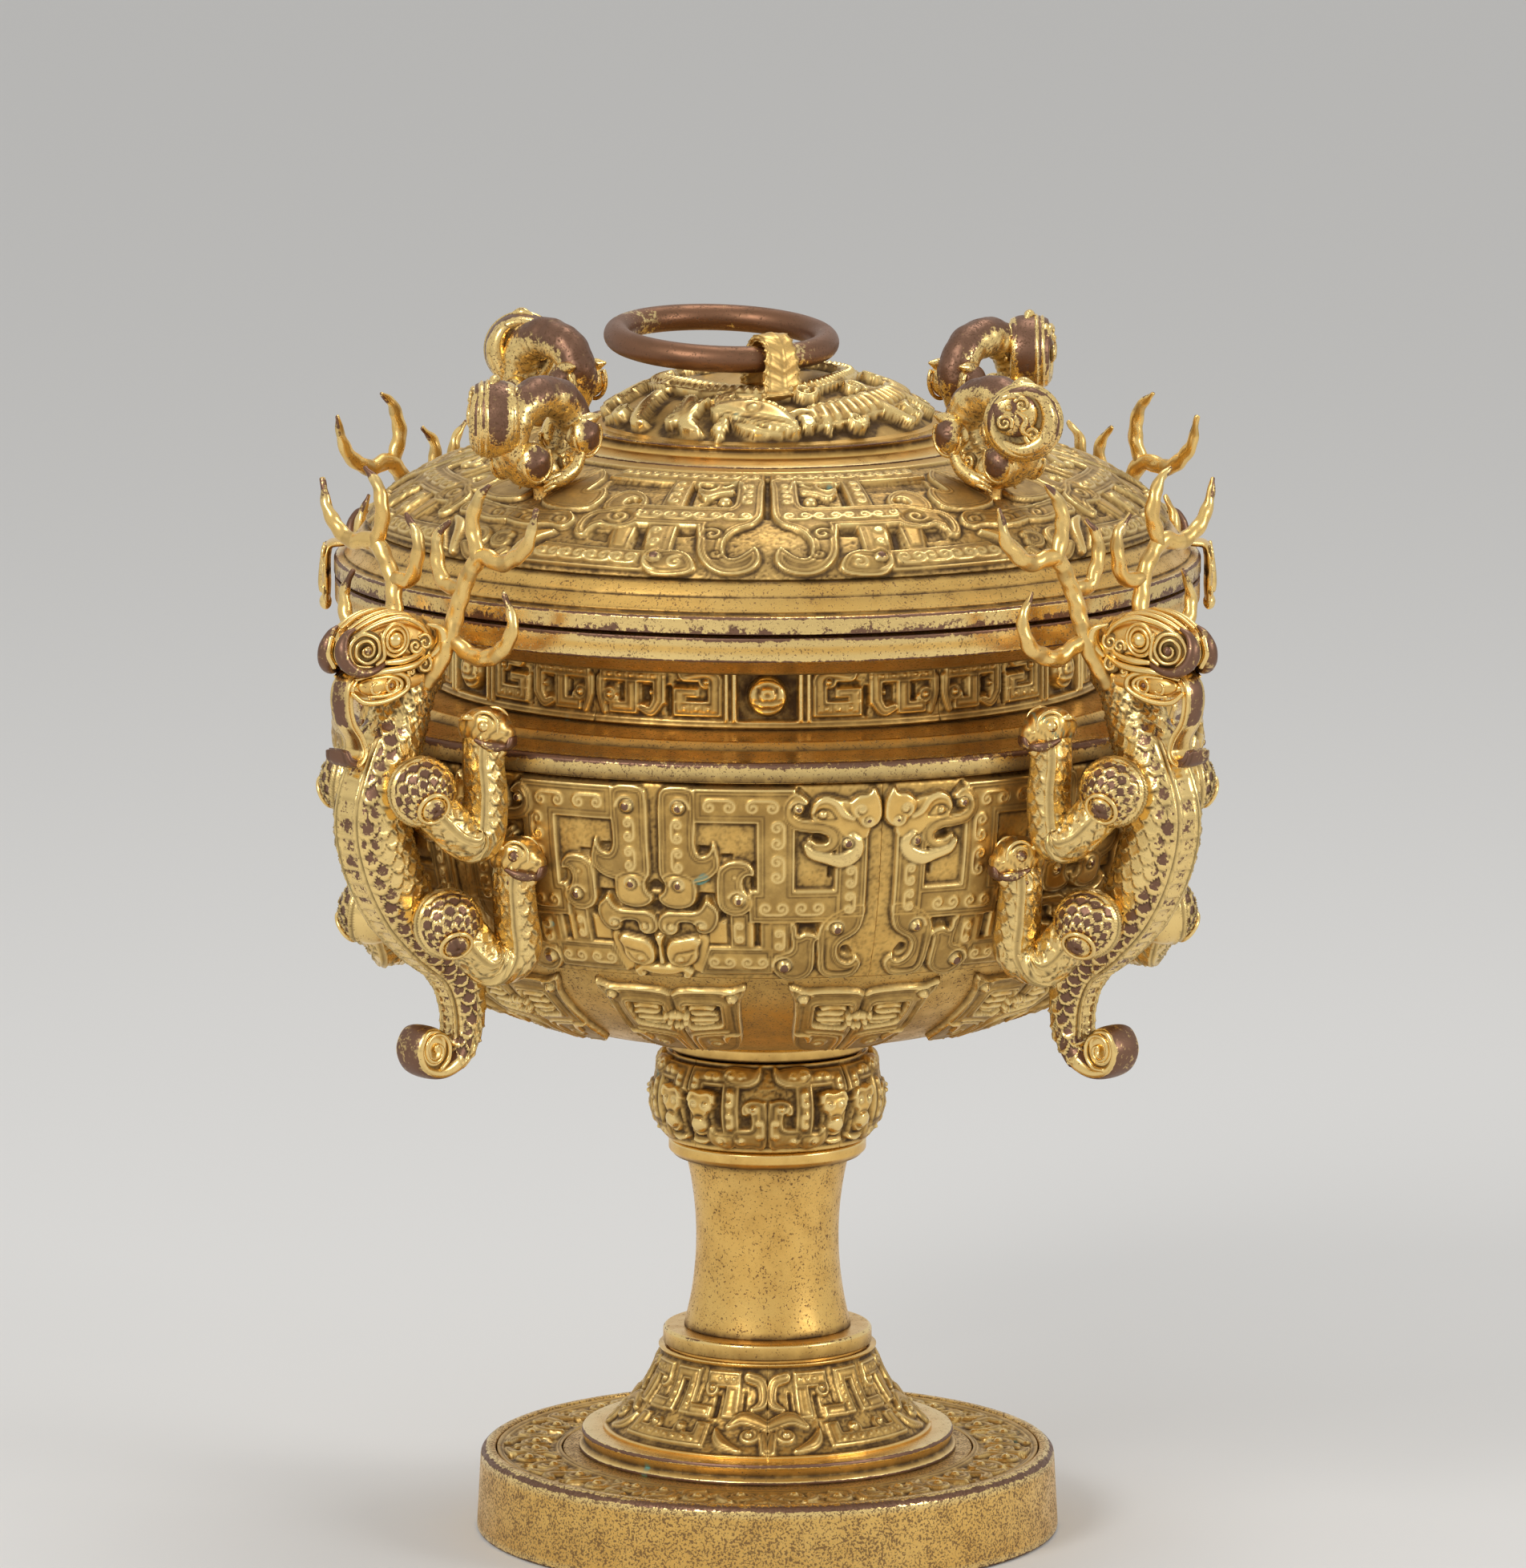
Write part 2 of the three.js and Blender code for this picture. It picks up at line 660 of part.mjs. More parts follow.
// Each leg swells at the haunch and runs on as a serpent that rears up against the vessel
const legs = {
  upper: { haunch: station(21, 12.5, -5, 0), path: [
    station(18, 14, -7, 4.6), station(11.5, 19, -13, 4.6), station(6.5, 20, -10, 4.4),
    station(5.5, 20, -2, 3.8), station(7.5, 18.5, 6, 3.4), station(6.5, 17.5, 10, 4.4),
  ] },
  lower: { haunch: station(12, 13.5, -34, 0), path: [
    station(11, 15, -38, 4.6), station(4.5, 18, -44.5, 4.6), station(-0.5, 21, -42, 4.6),
    station(0.5, 22, -33, 4.2), station(1.2, 22.5, -25, 3.8), station(1.2, 22.5, -19.5, 4.6),
  ] },
};

function leg({ haunch: [reach, side, height], path }, hand, body) {
  const mirrored = path.map(([x, y, z, r]) => [x, hand * y, z, r]);
  const swell = [haunchRadius, 0.75 * haunchRadius, haunchHeight];
  const thigh = ball(reach, hand * side, height, swell, 6, 4);
  const serpent = taperedTube(mirrored, { facets: limbFacets, steps: limbSteps, across: radial });
  return largest(united([thigh, serpent]).subtract(body).subtract(vesselKeepOut));
}

// An antler is one beam with four hooked tines
const tineAt = (out, side, up, share) => [
  ...station(out, side, up, 0).slice(0, 3), antlerBeam * share,
];
const tines = [
  [
    tineAt(10.5, 9, 25, 1), tineAt(9, 10, 35.5, 1), tineAt(8, 12.5, 44, 0.95), tineAt(8, 18, 51, 0.9),
    tineAt(8, 26, 50.5, 0.85), tineAt(8, 33.5, 55.5, 0.7), tineAt(8, 36.5, 64, 0.35),
  ],
  [
    tineAt(9.5, 10, 31, 0.8), tineAt(9, 18, 27.5, 0.85), tineAt(8.5, 26, 30.5, 0.8),
    tineAt(8, 28.5, 37, 0.65), tineAt(8, 25.5, 43.5, 0.35),
  ],
  [
    tineAt(8, 11.5, 43, 0.8), tineAt(8, 5.8, 43.6, 0.8), tineAt(8, 3.4, 49, 0.75),
    tineAt(8, 3.6, 54.5, 0.6), tineAt(8, 7.4, 58.5, 0.35),
  ],
  [
    tineAt(8, 17.5, 50, 0.8), tineAt(8, 15.2, 58, 0.75), tineAt(8, 17, 64.5, 0.6),
    tineAt(8, 21, 68.2, 0.35),
  ],
];

function antler(hand, body) {
  const parts = tines.map((tine) => taperedTube(
    tine.map(([x, y, z, r]) => [x, hand * y, z, r]),
    { facets: antlerFacets, steps: tine.length, across: radial },
  ));
  return largest(united(parts).subtract(body));
}

const dragon = dragonBody(0).subtract(vesselKeepOut);
const dragonKeepOut = dragonBody(seatGap);
const sides = { left: -1, right: 1 };

for (const [place, angle] of Object.entries(handleAngles)) {
  const handle = new THREE.Group();
  handle.rotation.z = THREE.MathUtils.degToRad(angle);
  handle.add(meshOf(`dragon_${place}`, dragon, gilt));
  for (const [side, hand] of Object.entries(sides)) {
    handle.add(meshOf(`antler_${place}_${side}`, antler(hand, dragonKeepOut), gilt));
    for (const [level, shape] of Object.entries(legs)) {
      handle.add(meshOf(`leg_${place}_${level}_${side}`, leg(shape, hand, dragonKeepOut), gilt));
    }
  }
  vessel.add(handle);
}

export default cup;
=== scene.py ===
import json
import math
import bpy
import numpy as np
from mathutils import Matrix, Vector, noise

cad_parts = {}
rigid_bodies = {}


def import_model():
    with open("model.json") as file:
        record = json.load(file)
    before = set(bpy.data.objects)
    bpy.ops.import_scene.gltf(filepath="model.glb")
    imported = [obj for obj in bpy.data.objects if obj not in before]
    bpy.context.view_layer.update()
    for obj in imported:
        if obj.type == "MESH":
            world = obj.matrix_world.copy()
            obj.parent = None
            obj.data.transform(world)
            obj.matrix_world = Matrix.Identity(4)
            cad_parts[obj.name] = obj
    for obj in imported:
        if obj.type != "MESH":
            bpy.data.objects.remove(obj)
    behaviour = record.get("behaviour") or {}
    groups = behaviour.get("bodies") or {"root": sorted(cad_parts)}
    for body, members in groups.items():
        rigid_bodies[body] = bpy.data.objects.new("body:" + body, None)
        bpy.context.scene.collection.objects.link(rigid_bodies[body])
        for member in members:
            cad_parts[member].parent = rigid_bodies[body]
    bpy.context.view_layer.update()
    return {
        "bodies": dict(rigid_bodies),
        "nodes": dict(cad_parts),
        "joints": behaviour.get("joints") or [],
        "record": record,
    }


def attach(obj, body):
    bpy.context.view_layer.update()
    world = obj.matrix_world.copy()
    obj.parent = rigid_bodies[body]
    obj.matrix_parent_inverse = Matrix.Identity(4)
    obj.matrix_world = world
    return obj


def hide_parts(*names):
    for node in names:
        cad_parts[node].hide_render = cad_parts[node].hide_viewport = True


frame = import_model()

scene = bpy.context.scene
milli = 0.001  # every piece below is drawn in millimetres

# ---- camera, floor and light


view = {
    "aim": (-1.06, 0.0, 181.8),  # the photograph's centre, mm
    "distance": 3000.0,
    "elevation": 9.5,  # degrees above the horizon
    "lens": 287.0,
    "roll": 0.0,
}

studio = {
    "floor": (0.72, 0.71, 0.69, 1),
    "backdrop": (0.66, 0.66, 0.65, 1),
    "sky": 0.62,
    "keySize": 0.7, "keyPower": 12.0, "keyPlace": (-0.9, -1.3, 1.25),
    "sideSize": 0.5, "sidePower": 5.0, "sidePlace": (1.3, -0.7, 0.7),
    "topSize": 0.6, "topPower": 4.0, "topPlace": (0.2, 0.5, 1.5),
}


def addCamera():
    data = bpy.data.cameras.new("camera")
    data.lens = view["lens"]
    data.clip_start, data.clip_end = 0.05, 50
    camera = bpy.data.objects.new("camera", data)
    scene.collection.objects.link(camera)
    tilt = math.radians(view["elevation"])
    aim = Vector(view["aim"]) * milli
    back = Vector((0, -math.cos(tilt), math.sin(tilt)))
    camera.location = aim + back * view["distance"] * milli
    turn = (-back).to_track_quat("-Z", "Y").to_matrix() @ Matrix.Rotation(math.radians(view["roll"]), 3, "Z")
    camera.rotation_euler = turn.to_euler()
    scene.camera = camera


def addLamp(name, place, size, power):
    data = bpy.data.lights.new(name, "AREA")
    data.shape = "DISK"
    data.size = size
    data.energy = power
    lamp = bpy.data.objects.new(name, data)
    scene.collection.objects.link(lamp)
    lamp.location = place
    lamp.rotation_euler = (Vector((0, 0, 0.16)) - Vector(place)).to_track_quat("-Z", "Y").to_euler()


def addStudio():
    world = bpy.data.worlds.new("studio")
    scene.world = world
    world.use_nodes = True
    tree = world.node_tree
    tree.nodes.clear()
    out = tree.nodes.new("ShaderNodeOutputWorld")
    sky = tree.nodes.new("ShaderNodeBackground")
    sky.inputs["Color"].default_value = (1, 1, 1, 1)
    sky.inputs["Strength"].default_value = studio["sky"]
    back = tree.nodes.new("ShaderNodeBackground")
    back.inputs["Color"].default_value = studio["backdrop"]
    rays = tree.nodes.new("ShaderNodeLightPath")
    seen = tree.nodes.new("ShaderNodeMath")
    seen.operation = "MAXIMUM"
    through = tree.nodes.new("ShaderNodeMath")
    through.operation = "MAXIMUM"
    mix = tree.nodes.new("ShaderNodeMixShader")
    tree.links.new(rays.outputs["Is Camera Ray"], seen.inputs[0])
    tree.links.new(rays.outputs["Is Glossy Ray"], seen.inputs[1])
    tree.links.new(seen.outputs[0], through.inputs[0])
    tree.links.new(rays.outputs["Is Transmission Ray"], through.inputs[1])
    tree.links.new(through.outputs[0], mix.inputs[0])
    tree.links.new(sky.outputs[0], mix.inputs[1])
    tree.links.new(back.outputs[0], mix.inputs[2])
    tree.links.new(mix.outputs[0], out.inputs["Surface"])
    for lamp in ("key", "side", "top"):
        addLamp(lamp + "Light", studio[lamp + "Place"], studio[lamp + "Size"], studio[lamp + "Power"])
    scene.view_settings.view_transform = "Standard"
    mesh = bpy.data.meshes.new("floor")
    half = 4.0
    mesh.from_pydata([(-half, -half, 0), (half, -half, 0), (half, half, 0), (-half, half, 0)], [], [(0, 1, 2, 3)])
    floor = bpy.data.objects.new("floor", mesh)
    floor.location.z = -0.0002
    scene.collection.objects.link(floor)
    paint = bpy.data.materials.new("floorPaint")
    paint.use_nodes = True
    shader = paint.node_tree.nodes["Principled BSDF"]
    shader.inputs["Base Color"].default_value = studio["floor"]
    shader.inputs["Roughness"].default_value = 0.9
    mesh.materials.append(paint)


addCamera()
addStudio()
print("camera and studio ready")

# ---- finishes


def newGroup(name, inputs, outputs):
    group = bpy.data.node_groups.new(name, "ShaderNodeTree")
    kinds = {"value": "NodeSocketFloat", "colour": "NodeSocketColor", "vector": "NodeSocketVector"}
    for label, kind, start in inputs:
        socket = group.interface.new_socket(label, in_out="INPUT", socket_type=kinds[kind])
        if start is not None:
            socket.default_value = start
    for label, kind in outputs:
        group.interface.new_socket(label, in_out="OUTPUT", socket_type=kinds[kind])
    return group, group.nodes.new("NodeGroupInput"), group.nodes.new("NodeGroupOutput")


class Bench:
    # places nodes in a tree and joins them, so that each material reads as a list of steps
    def __init__(self, tree):
        self.tree = tree

    def join(self, source, socket):
        if isinstance(source, (int, float)):
            socket.default_value = source
        elif isinstance(source, tuple):
            socket.default_value = source
        else:
            self.tree.links.new(source, socket)

    def noise(self, vector, scale, detail=4.0, rough=0.55, stretch=0.0):
        node = self.tree.nodes.new("ShaderNodeTexNoise")
        self.join(vector, node.inputs["Vector"])
        self.join(scale, node.inputs["Scale"])
        node.inputs["Detail"].default_value = detail
        node.inputs["Roughness"].default_value = rough
        node.inputs["Distortion"].default_value = stretch
        return node.outputs["Fac"]

    def cells(self, vector, scale):
        node = self.tree.nodes.new("ShaderNodeTexVoronoi")
        self.join(vector, node.inputs["Vector"])
        node.inputs["Scale"].default_value = scale
        return node.outputs["Distance"]

    def span(self, value, low, high, to=(0.0, 1.0)):
        node = self.tree.nodes.new("ShaderNodeMapRange")
        node.interpolation_type = "SMOOTHSTEP"
        self.join(value, node.inputs["Value"])
        self.join(low, node.inputs["From Min"])
        self.join(high, node.inputs["From Max"])
        node.inputs["To Min"].default_value = to[0]
        node.inputs["To Max"].default_value = to[1]
        return node.outputs["Result"]

    def sum(self, kind, a, b):
        node = self.tree.nodes.new("ShaderNodeMath")
        node.operation = kind
        node.use_clamp = kind in ("MULTIPLY", "ADD", "SUBTRACT")
        self.join(a, node.inputs[0])
        self.join(b, node.inputs[1])
        return node.outputs[0]

    def blend(self, share, a, b):
        node = self.tree.nodes.new("ShaderNodeMix")
        node.data_type = "RGBA"
        self.join(share, node.inputs[0])
        self.join(a, node.inputs[6])
        self.join(b, node.inputs[7])
        return node.outputs[2]

    def mix(self, share, a, b):
        node = self.tree.nodes.new("ShaderNodeMix")
        node.data_type = "FLOAT"
        self.join(share, node.inputs[0])
        self.join(a, node.inputs[2])
        self.join(b, node.inputs[3])
        return node.outputs[0]

    def mark(self, name):
        node = self.tree.nodes.new("ShaderNodeAttribute")
        node.attribute_name = name
        return node.outputs["Fac"]


def makeWornGilding():
    # fire gilding over bronze: the gold thins on edges and in speckles; the hollow mask mixes in a dark colour that is
    # partly dirt and partly painted shade in recesses, grooves, corners and undersides
    group, start, end = newGroup("wornGilding", [
        ("Place", "vector", None),
        ("Gold", "colour", (0.88, 0.54, 0.15, 1)),
        ("Bronze", "colour", (0.23, 0.125, 0.08, 1)),
        ("DirtAndShade", "colour", (0.075, 0.038, 0.013, 1)),
        ("Edge", "value", 0.0),
        ("Hollow", "value", 0.0),
        ("Wear", "value", 0.3),
        ("Speckle", "value", 0.3),
        ("Dust", "value", 0.0),
    ], [("Colour", "colour"), ("Roughness", "value"), ("Metal", "value"), ("Height", "value")])
    bench = Bench(group)
    place = start.outputs["Place"]
    broad = bench.noise(place, 38.0, 3.0)
    middle = bench.noise(place, 190.0, 4.0, 0.65)
    fine = bench.noise(place, 900.0, 4.0, 0.7)
    # edge values up to a half polish the gold and lighten it as a painted highlight on ridges, higher ones wear it
    # through
    gold = bench.blend(bench.span(broad, 0.3, 0.7), start.outputs["Gold"],
                       bench.blend(0.2, start.outputs["Gold"], (0.98, 0.74, 0.3, 1)))
    gold = bench.blend(bench.span(middle, 0.35, 0.75, (0.0, 0.4)), gold, (0.55, 0.3, 0.07, 1))
    polishAndHighlight = bench.span(start.outputs["Edge"], 0.04, 0.5, (0.0, 0.65))
    gold = bench.blend(polishAndHighlight, gold, (1.0, 0.77, 0.34, 1))
    through = bench.span(start.outputs["Edge"], 0.5, 1.0)
    rub = bench.sum("ADD", bench.sum("MULTIPLY", through, 0.75), start.outputs["Wear"])
    chips = bench.span(bench.mix(0.42, bench.mix(0.6, broad, middle), fine), 0.4, 0.6, (-0.27, 0.27))
    worn = bench.span(bench.sum("ADD", rub, chips), 0.56, 0.72)
    gold = bench.blend(worn, gold, start.outputs["Bronze"])
    pits = bench.mix(0.3, bench.noise(place, 1700.0, 3.0, 0.65), bench.mix(0.5, fine, middle))
    limit = bench.mix(start.outputs["Speckle"], 0.68, 0.47)
    spots = bench.span(bench.sum("SUBTRACT", pits, limit), 0.0, 0.04)
    gold = bench.blend(bench.sum("MULTIPLY", spots, 0.8), gold, (0.14, 0.07, 0.035, 1))
    # this dark colour stands for real dirt together with painted shade in the hollows
    dirtAndShade = bench.sum("MULTIPLY", start.outputs["Hollow"], bench.span(middle, 0.2, 0.6, (0.55, 1.0)))
    gold = bench.blend(dirtAndShade, gold, start.outputs["DirtAndShade"])
    dust = bench.sum("MULTIPLY", start.outputs["Dust"], bench.span(broad, 0.25, 0.7, (0.55, 1.0)))
    dust = bench.sum("MULTIPLY", dust, bench.span(start.outputs["Edge"], 0.0, 0.4, (1.15, 0.25)))
    # dust thins in the hollows so that the painted shade there stays dark
    dust = bench.sum("MULTIPLY", dust, bench.span(start.outputs["Hollow"], 0.25, 0.9, (1.0, 0.2)))
    gold = bench.blend(dust, gold, (0.3, 0.22, 0.115, 1))
    green = bench.span(bench.noise(place, 55.0, 2.0, 0.4, 0.6), 0.735, 0.76, (0.0, 0.8))
    gold = bench.blend(bench.sum("MULTIPLY", green, start.outputs["Hollow"]), gold, (0.16, 0.42, 0.36, 1))
    rough = bench.span(middle, 0.2, 0.8, (0.24, 0.4))
    rough = bench.mix(polishAndHighlight, rough, 0.2)
    rough = bench.mix(worn, rough, 0.42)
    rough = bench.mix(spots, rough, 0.6)
    rough = bench.mix(dirtAndShade, rough, 0.62)
    rough = bench.mix(dust, rough, 0.7)
    metal = bench.mix(bench.sum("MAXIMUM", dirtAndShade, bench.sum("MULTIPLY", dust, 0.5)), 1.0, 0.7)
    metal = bench.mix(bench.sum("MULTIPLY", spots, 0.5), metal, 0.4)
    height = bench.mix(0.3, middle, fine)
    height = bench.mix(spots, height, 0.25)
    for value, label in ((gold, "Colour"), (rough, "Roughness"), (metal, "Metal"), (height, "Height")):
        bench.join(value, end.inputs[label])
    return group


wornGilding = makeWornGilding()


def giltFinish(name, wear=0.2, speckle=0.3, dust=0.0, gold=(0.88, 0.54, 0.15, 1), bronze=(0.23, 0.125, 0.08, 1),
               bump=0.00012):
    material = bpy.data.materials.new(name)
    material.use_nodes = True
    bench = Bench(material.node_tree)
    shader = material.node_tree.nodes["Principled BSDF"]
    where = material.node_tree.nodes.new("ShaderNodeTexCoord")
    skin = material.node_tree.nodes.new("ShaderNodeGroup")
    skin.node_tree = wornGilding
    bench.join(where.outputs["Object"], skin.inputs["Place"])
    bench.join(bench.mark("edge"), skin.inputs["Edge"])
    bench.join(bench.mark("hollow"), skin.inputs["Hollow"])
    for label, value in (("Wear", wear), ("Speckle", speckle), ("Dust", dust), ("Gold", gold), ("Bronze", bronze)):
        skin.inputs[label].default_value = value
    raised = material.node_tree.nodes.new("ShaderNodeBump")
    raised.inputs["Strength"].default_value = 0.7
    raised.inputs["Distance"].default_value = bump
    bench.join(skin.outputs["Height"], raised.inputs["Height"])
    bench.join(skin.outputs["Colour"], shader.inputs["Base Color"])
    bench.join(skin.outputs["Roughness"], shader.inputs["Roughness"])
    bench.join(skin.outputs["Metal"], shader.inputs["Metallic"])
    bench.join(raised.outputs["Normal"], shader.inputs["Normal"])
    return material


finishes = {
    "bright": giltFinish("brightGilding", wear=0.12, speckle=0.25),
    "relief": giltFinish("reliefGilding", wear=0.16, speckle=0.2),
    "dusty": giltFinish("dustyGilding", wear=0.22, speckle=0.35, dust=0.3),
    "speckled": giltFinish("speckledGilding", wear=0.2, speckle=0.85),
    "column": giltFinish("columnGilding", wear=0.15, speckle=0.6),
    "rubbedAndHighlit": giltFinish("rubbedGilding", wear=0.3, speckle=0.45),
    "beast": giltFinish("beastGilding", wear=0.2, speckle=0.35),
    "knob": giltFinish("knobGilding", wear=0.2, speckle=0.7),
    "bronze": giltFinish("bareBronze", wear=0.42, speckle=0.55, gold=(0.42, 0.24, 0.13, 1), bronze=(0.25, 0.125, 0.07, 1)),
}
print("finishes ready")

# ---- mesh and outline helpers


def addPiece(name, points, faces, finish, body, stands=(), edge=None, hollow=None, sharp=40):
    mesh = bpy.data.meshes.new(name)
    mesh.from_pydata((np.asarray(points, float) * milli).tolist(), [], np.asarray(faces).tolist()
                     if isinstance(faces, np.ndarray) else faces)
    for label, values in (("edge", edge), ("hollow", hollow)):
        if values is not None:
            mark = mesh.attributes.new(label, "FLOAT", "POINT")
            mark.data.foreach_set("value", np.clip(values, 0, 1).astype(np.float32))
    mesh.polygons.foreach_set("use_smooth", [True] * len(mesh.polygons))
    if sharp:
        mesh.set_sharp_from_angle(angle=math.radians(sharp))
    mesh.update()
    mesh.materials.append(finishes[finish])
    piece = bpy.data.objects.new(name, mesh)
    scene.collection.objects.link(piece)
    if stands:
        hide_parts(*stands)
    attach(piece, body)
    return piece


def gridFaces(rows, columns, closed=False, flip=False):
    wrap = columns if closed else columns - 1
    i, j = np.meshgrid(np.arange(rows - 1), np.arange(wrap), indexing="ij")
    after = (j + 1) % columns
    faces = np.stack([i * columns + j, i * columns + after, (i + 1) * columns + after, (i + 1) * columns + j], -1)
    faces = faces.reshape(-1, 4)
    return faces[:, ::-1] if flip else faces


def softened(outline, radius=0.35, steps=3):
    # rounds every corner of a closed outline of [reach, height]
    corners = np.array(outline, float)
    points = []
    for n, here in enumerate(corners):
        before, after = corners[n - 1] - here, corners[(n + 1) % len(corners)] - here
        a, b = np.linalg.norm(before), np.linalg.norm(after)
        bend = np.dot(before, after) / (a * b + 1e-9)
        if here[0] < 0.01 or bend < -0.97:
            points.append(here)
            continue
        cut = min(radius, 0.4 * a, 0.4 * b)
        first, last = here + before / a * cut, here + after / b * cut
        for t in np.linspace(0, 1, steps + 1):
            points.append((1 - t) ** 2 * first + 2 * t * (1 - t) * here + t * t * last)
    filled = []
    for here, after in zip(points, points[1:] + points[:1]):
        parts = max(int(np.linalg.norm(after - here) / 1.6), 1) if here[0] > 60 else 1
        filled += [here + (after - here) * t for t in np.linspace(0, 1, parts, endpoint=False)]
    return np.array(filled)


def smoothNoise(points, scale, seed=0.0):
    return np.array([noise.noise(Vector((x * scale + seed, y * scale, z * scale))) for x, y, z in points])


def turnedPiece(name, outline, finish, body, stands, turns=160, radius=0.35, worn=(), dark=()):
    # a closed outline turned about the axis; worn lists where edges rub (worn through, and lightened as a painted
    # highlight), dark lists where painted shade and dirt sit in corners and under overhangs: reach, height, spread and,
    # if it isn't 1, the strength
    section = softened(outline, radius)
    angles = np.linspace(0, 2 * math.pi, turns, endpoint=False)
    loop = np.vstack([section, section[:1]])
    points = np.stack([np.outer(loop[:, 0], np.cos(angles)), np.outer(loop[:, 0], np.sin(angles)),
                       np.repeat(loop[:, 1:2], turns, axis=1)], -1)
    rows = len(section)
    points = points[:rows].reshape(-1, 3)
    faces = gridFaces(rows + 1, turns, closed=True)
    faces = np.where(faces >= rows * turns, faces - rows * turns, faces)
    area = np.sum(loop[:-1, 0] * loop[1:, 1] - loop[1:, 0] * loop[:-1, 1])
    if area > 0:
        faces = faces[:, ::-1]
    masks = []
    for places in (worn, dark):
        mask = np.zeros(rows)
        for reach, height, spread, *strength in places:
            gap = np.hypot(section[:, 0] - reach, section[:, 1] - height)
            mask = np.maximum(mask, np.prod(strength) * np.exp(-(gap / spread) ** 2))
        masks.append(np.repeat(mask, turns))
    faces = [tuple(dict.fromkeys(face)) for face in faces.tolist()] if section[:, 0].min() < 0.01 else faces
    piece = addPiece(name, points, faces, finish, body, stands, edge=masks[0], hollow=masks[1])
    even = piece.modifiers.new("evenNormals", "WEIGHTED_NORMAL")
    even.keep_sharp = True
    return piece


levels = {
    "landTop": 19.5, "footTop": 20.0, "flangeTop": 24.6, "coneTop": 45.5, "lowerCollarTop": 49.6,
    "columnTop": 91.8, "upperCollarTop": 96.0, "knopTop": 118.2, "bowlBase": 121.5, "shoulderBase": 199.4,
    "shoulderTop": 204.0, "neckBase": 208.0, "friezeTop": 223.0, "mouthEdge": 227.6, "mouthTop": 233.2,
    "lidBase": 233.3, "lidRimTop": 238.1, "domeBase": 245.3, "domeTop": 264.8, "crownTop": 269.5,
}
plan = {"bowl": 104.0, "shoulder": 104.5, "neck": 81.0, "mouth": 103.5, "lid": 103.7, "dome": 96.0, "crown": 50.0,
        "medallion": 41.0, "domeRise": 19.5, "medallionRise": 12.8, "bowlDepth": 77.9}


def bowlCurve(rim, depth, low, steps):
    power = 2 / 2.8
    start = math.acos((low / rim) ** (1 / power))
    angle = np.linspace(start, 0, steps)
    down = np.sin(angle) ** power
    reach = rim * np.cos(angle) ** power - 4 * 1.8 * down * (1 - down)
    return np.stack([reach, levels["shoulderBase"] - depth * down], -1)


def domeCurve(inset, steps):
    power = 2 / 1.6
    angle = np.linspace(0, math.pi / 2, steps)
    out = np.clip(np.cos(angle), 0, 1) ** power
    reach = plan["crown"] - inset + (plan["dome"] - plan["crown"]) * out
    return np.stack([reach, levels["domeBase"] + (plan["domeRise"] - inset) * np.sin(angle) ** power], -1)


def medallionHeight(reach):
    return levels["crownTop"] + plan["medallionRise"] * (1 - (np.abs(reach) / plan["medallion"]) ** 2.4)


# ---- plain turned pieces: foot, stem, mouth and lid mouldings


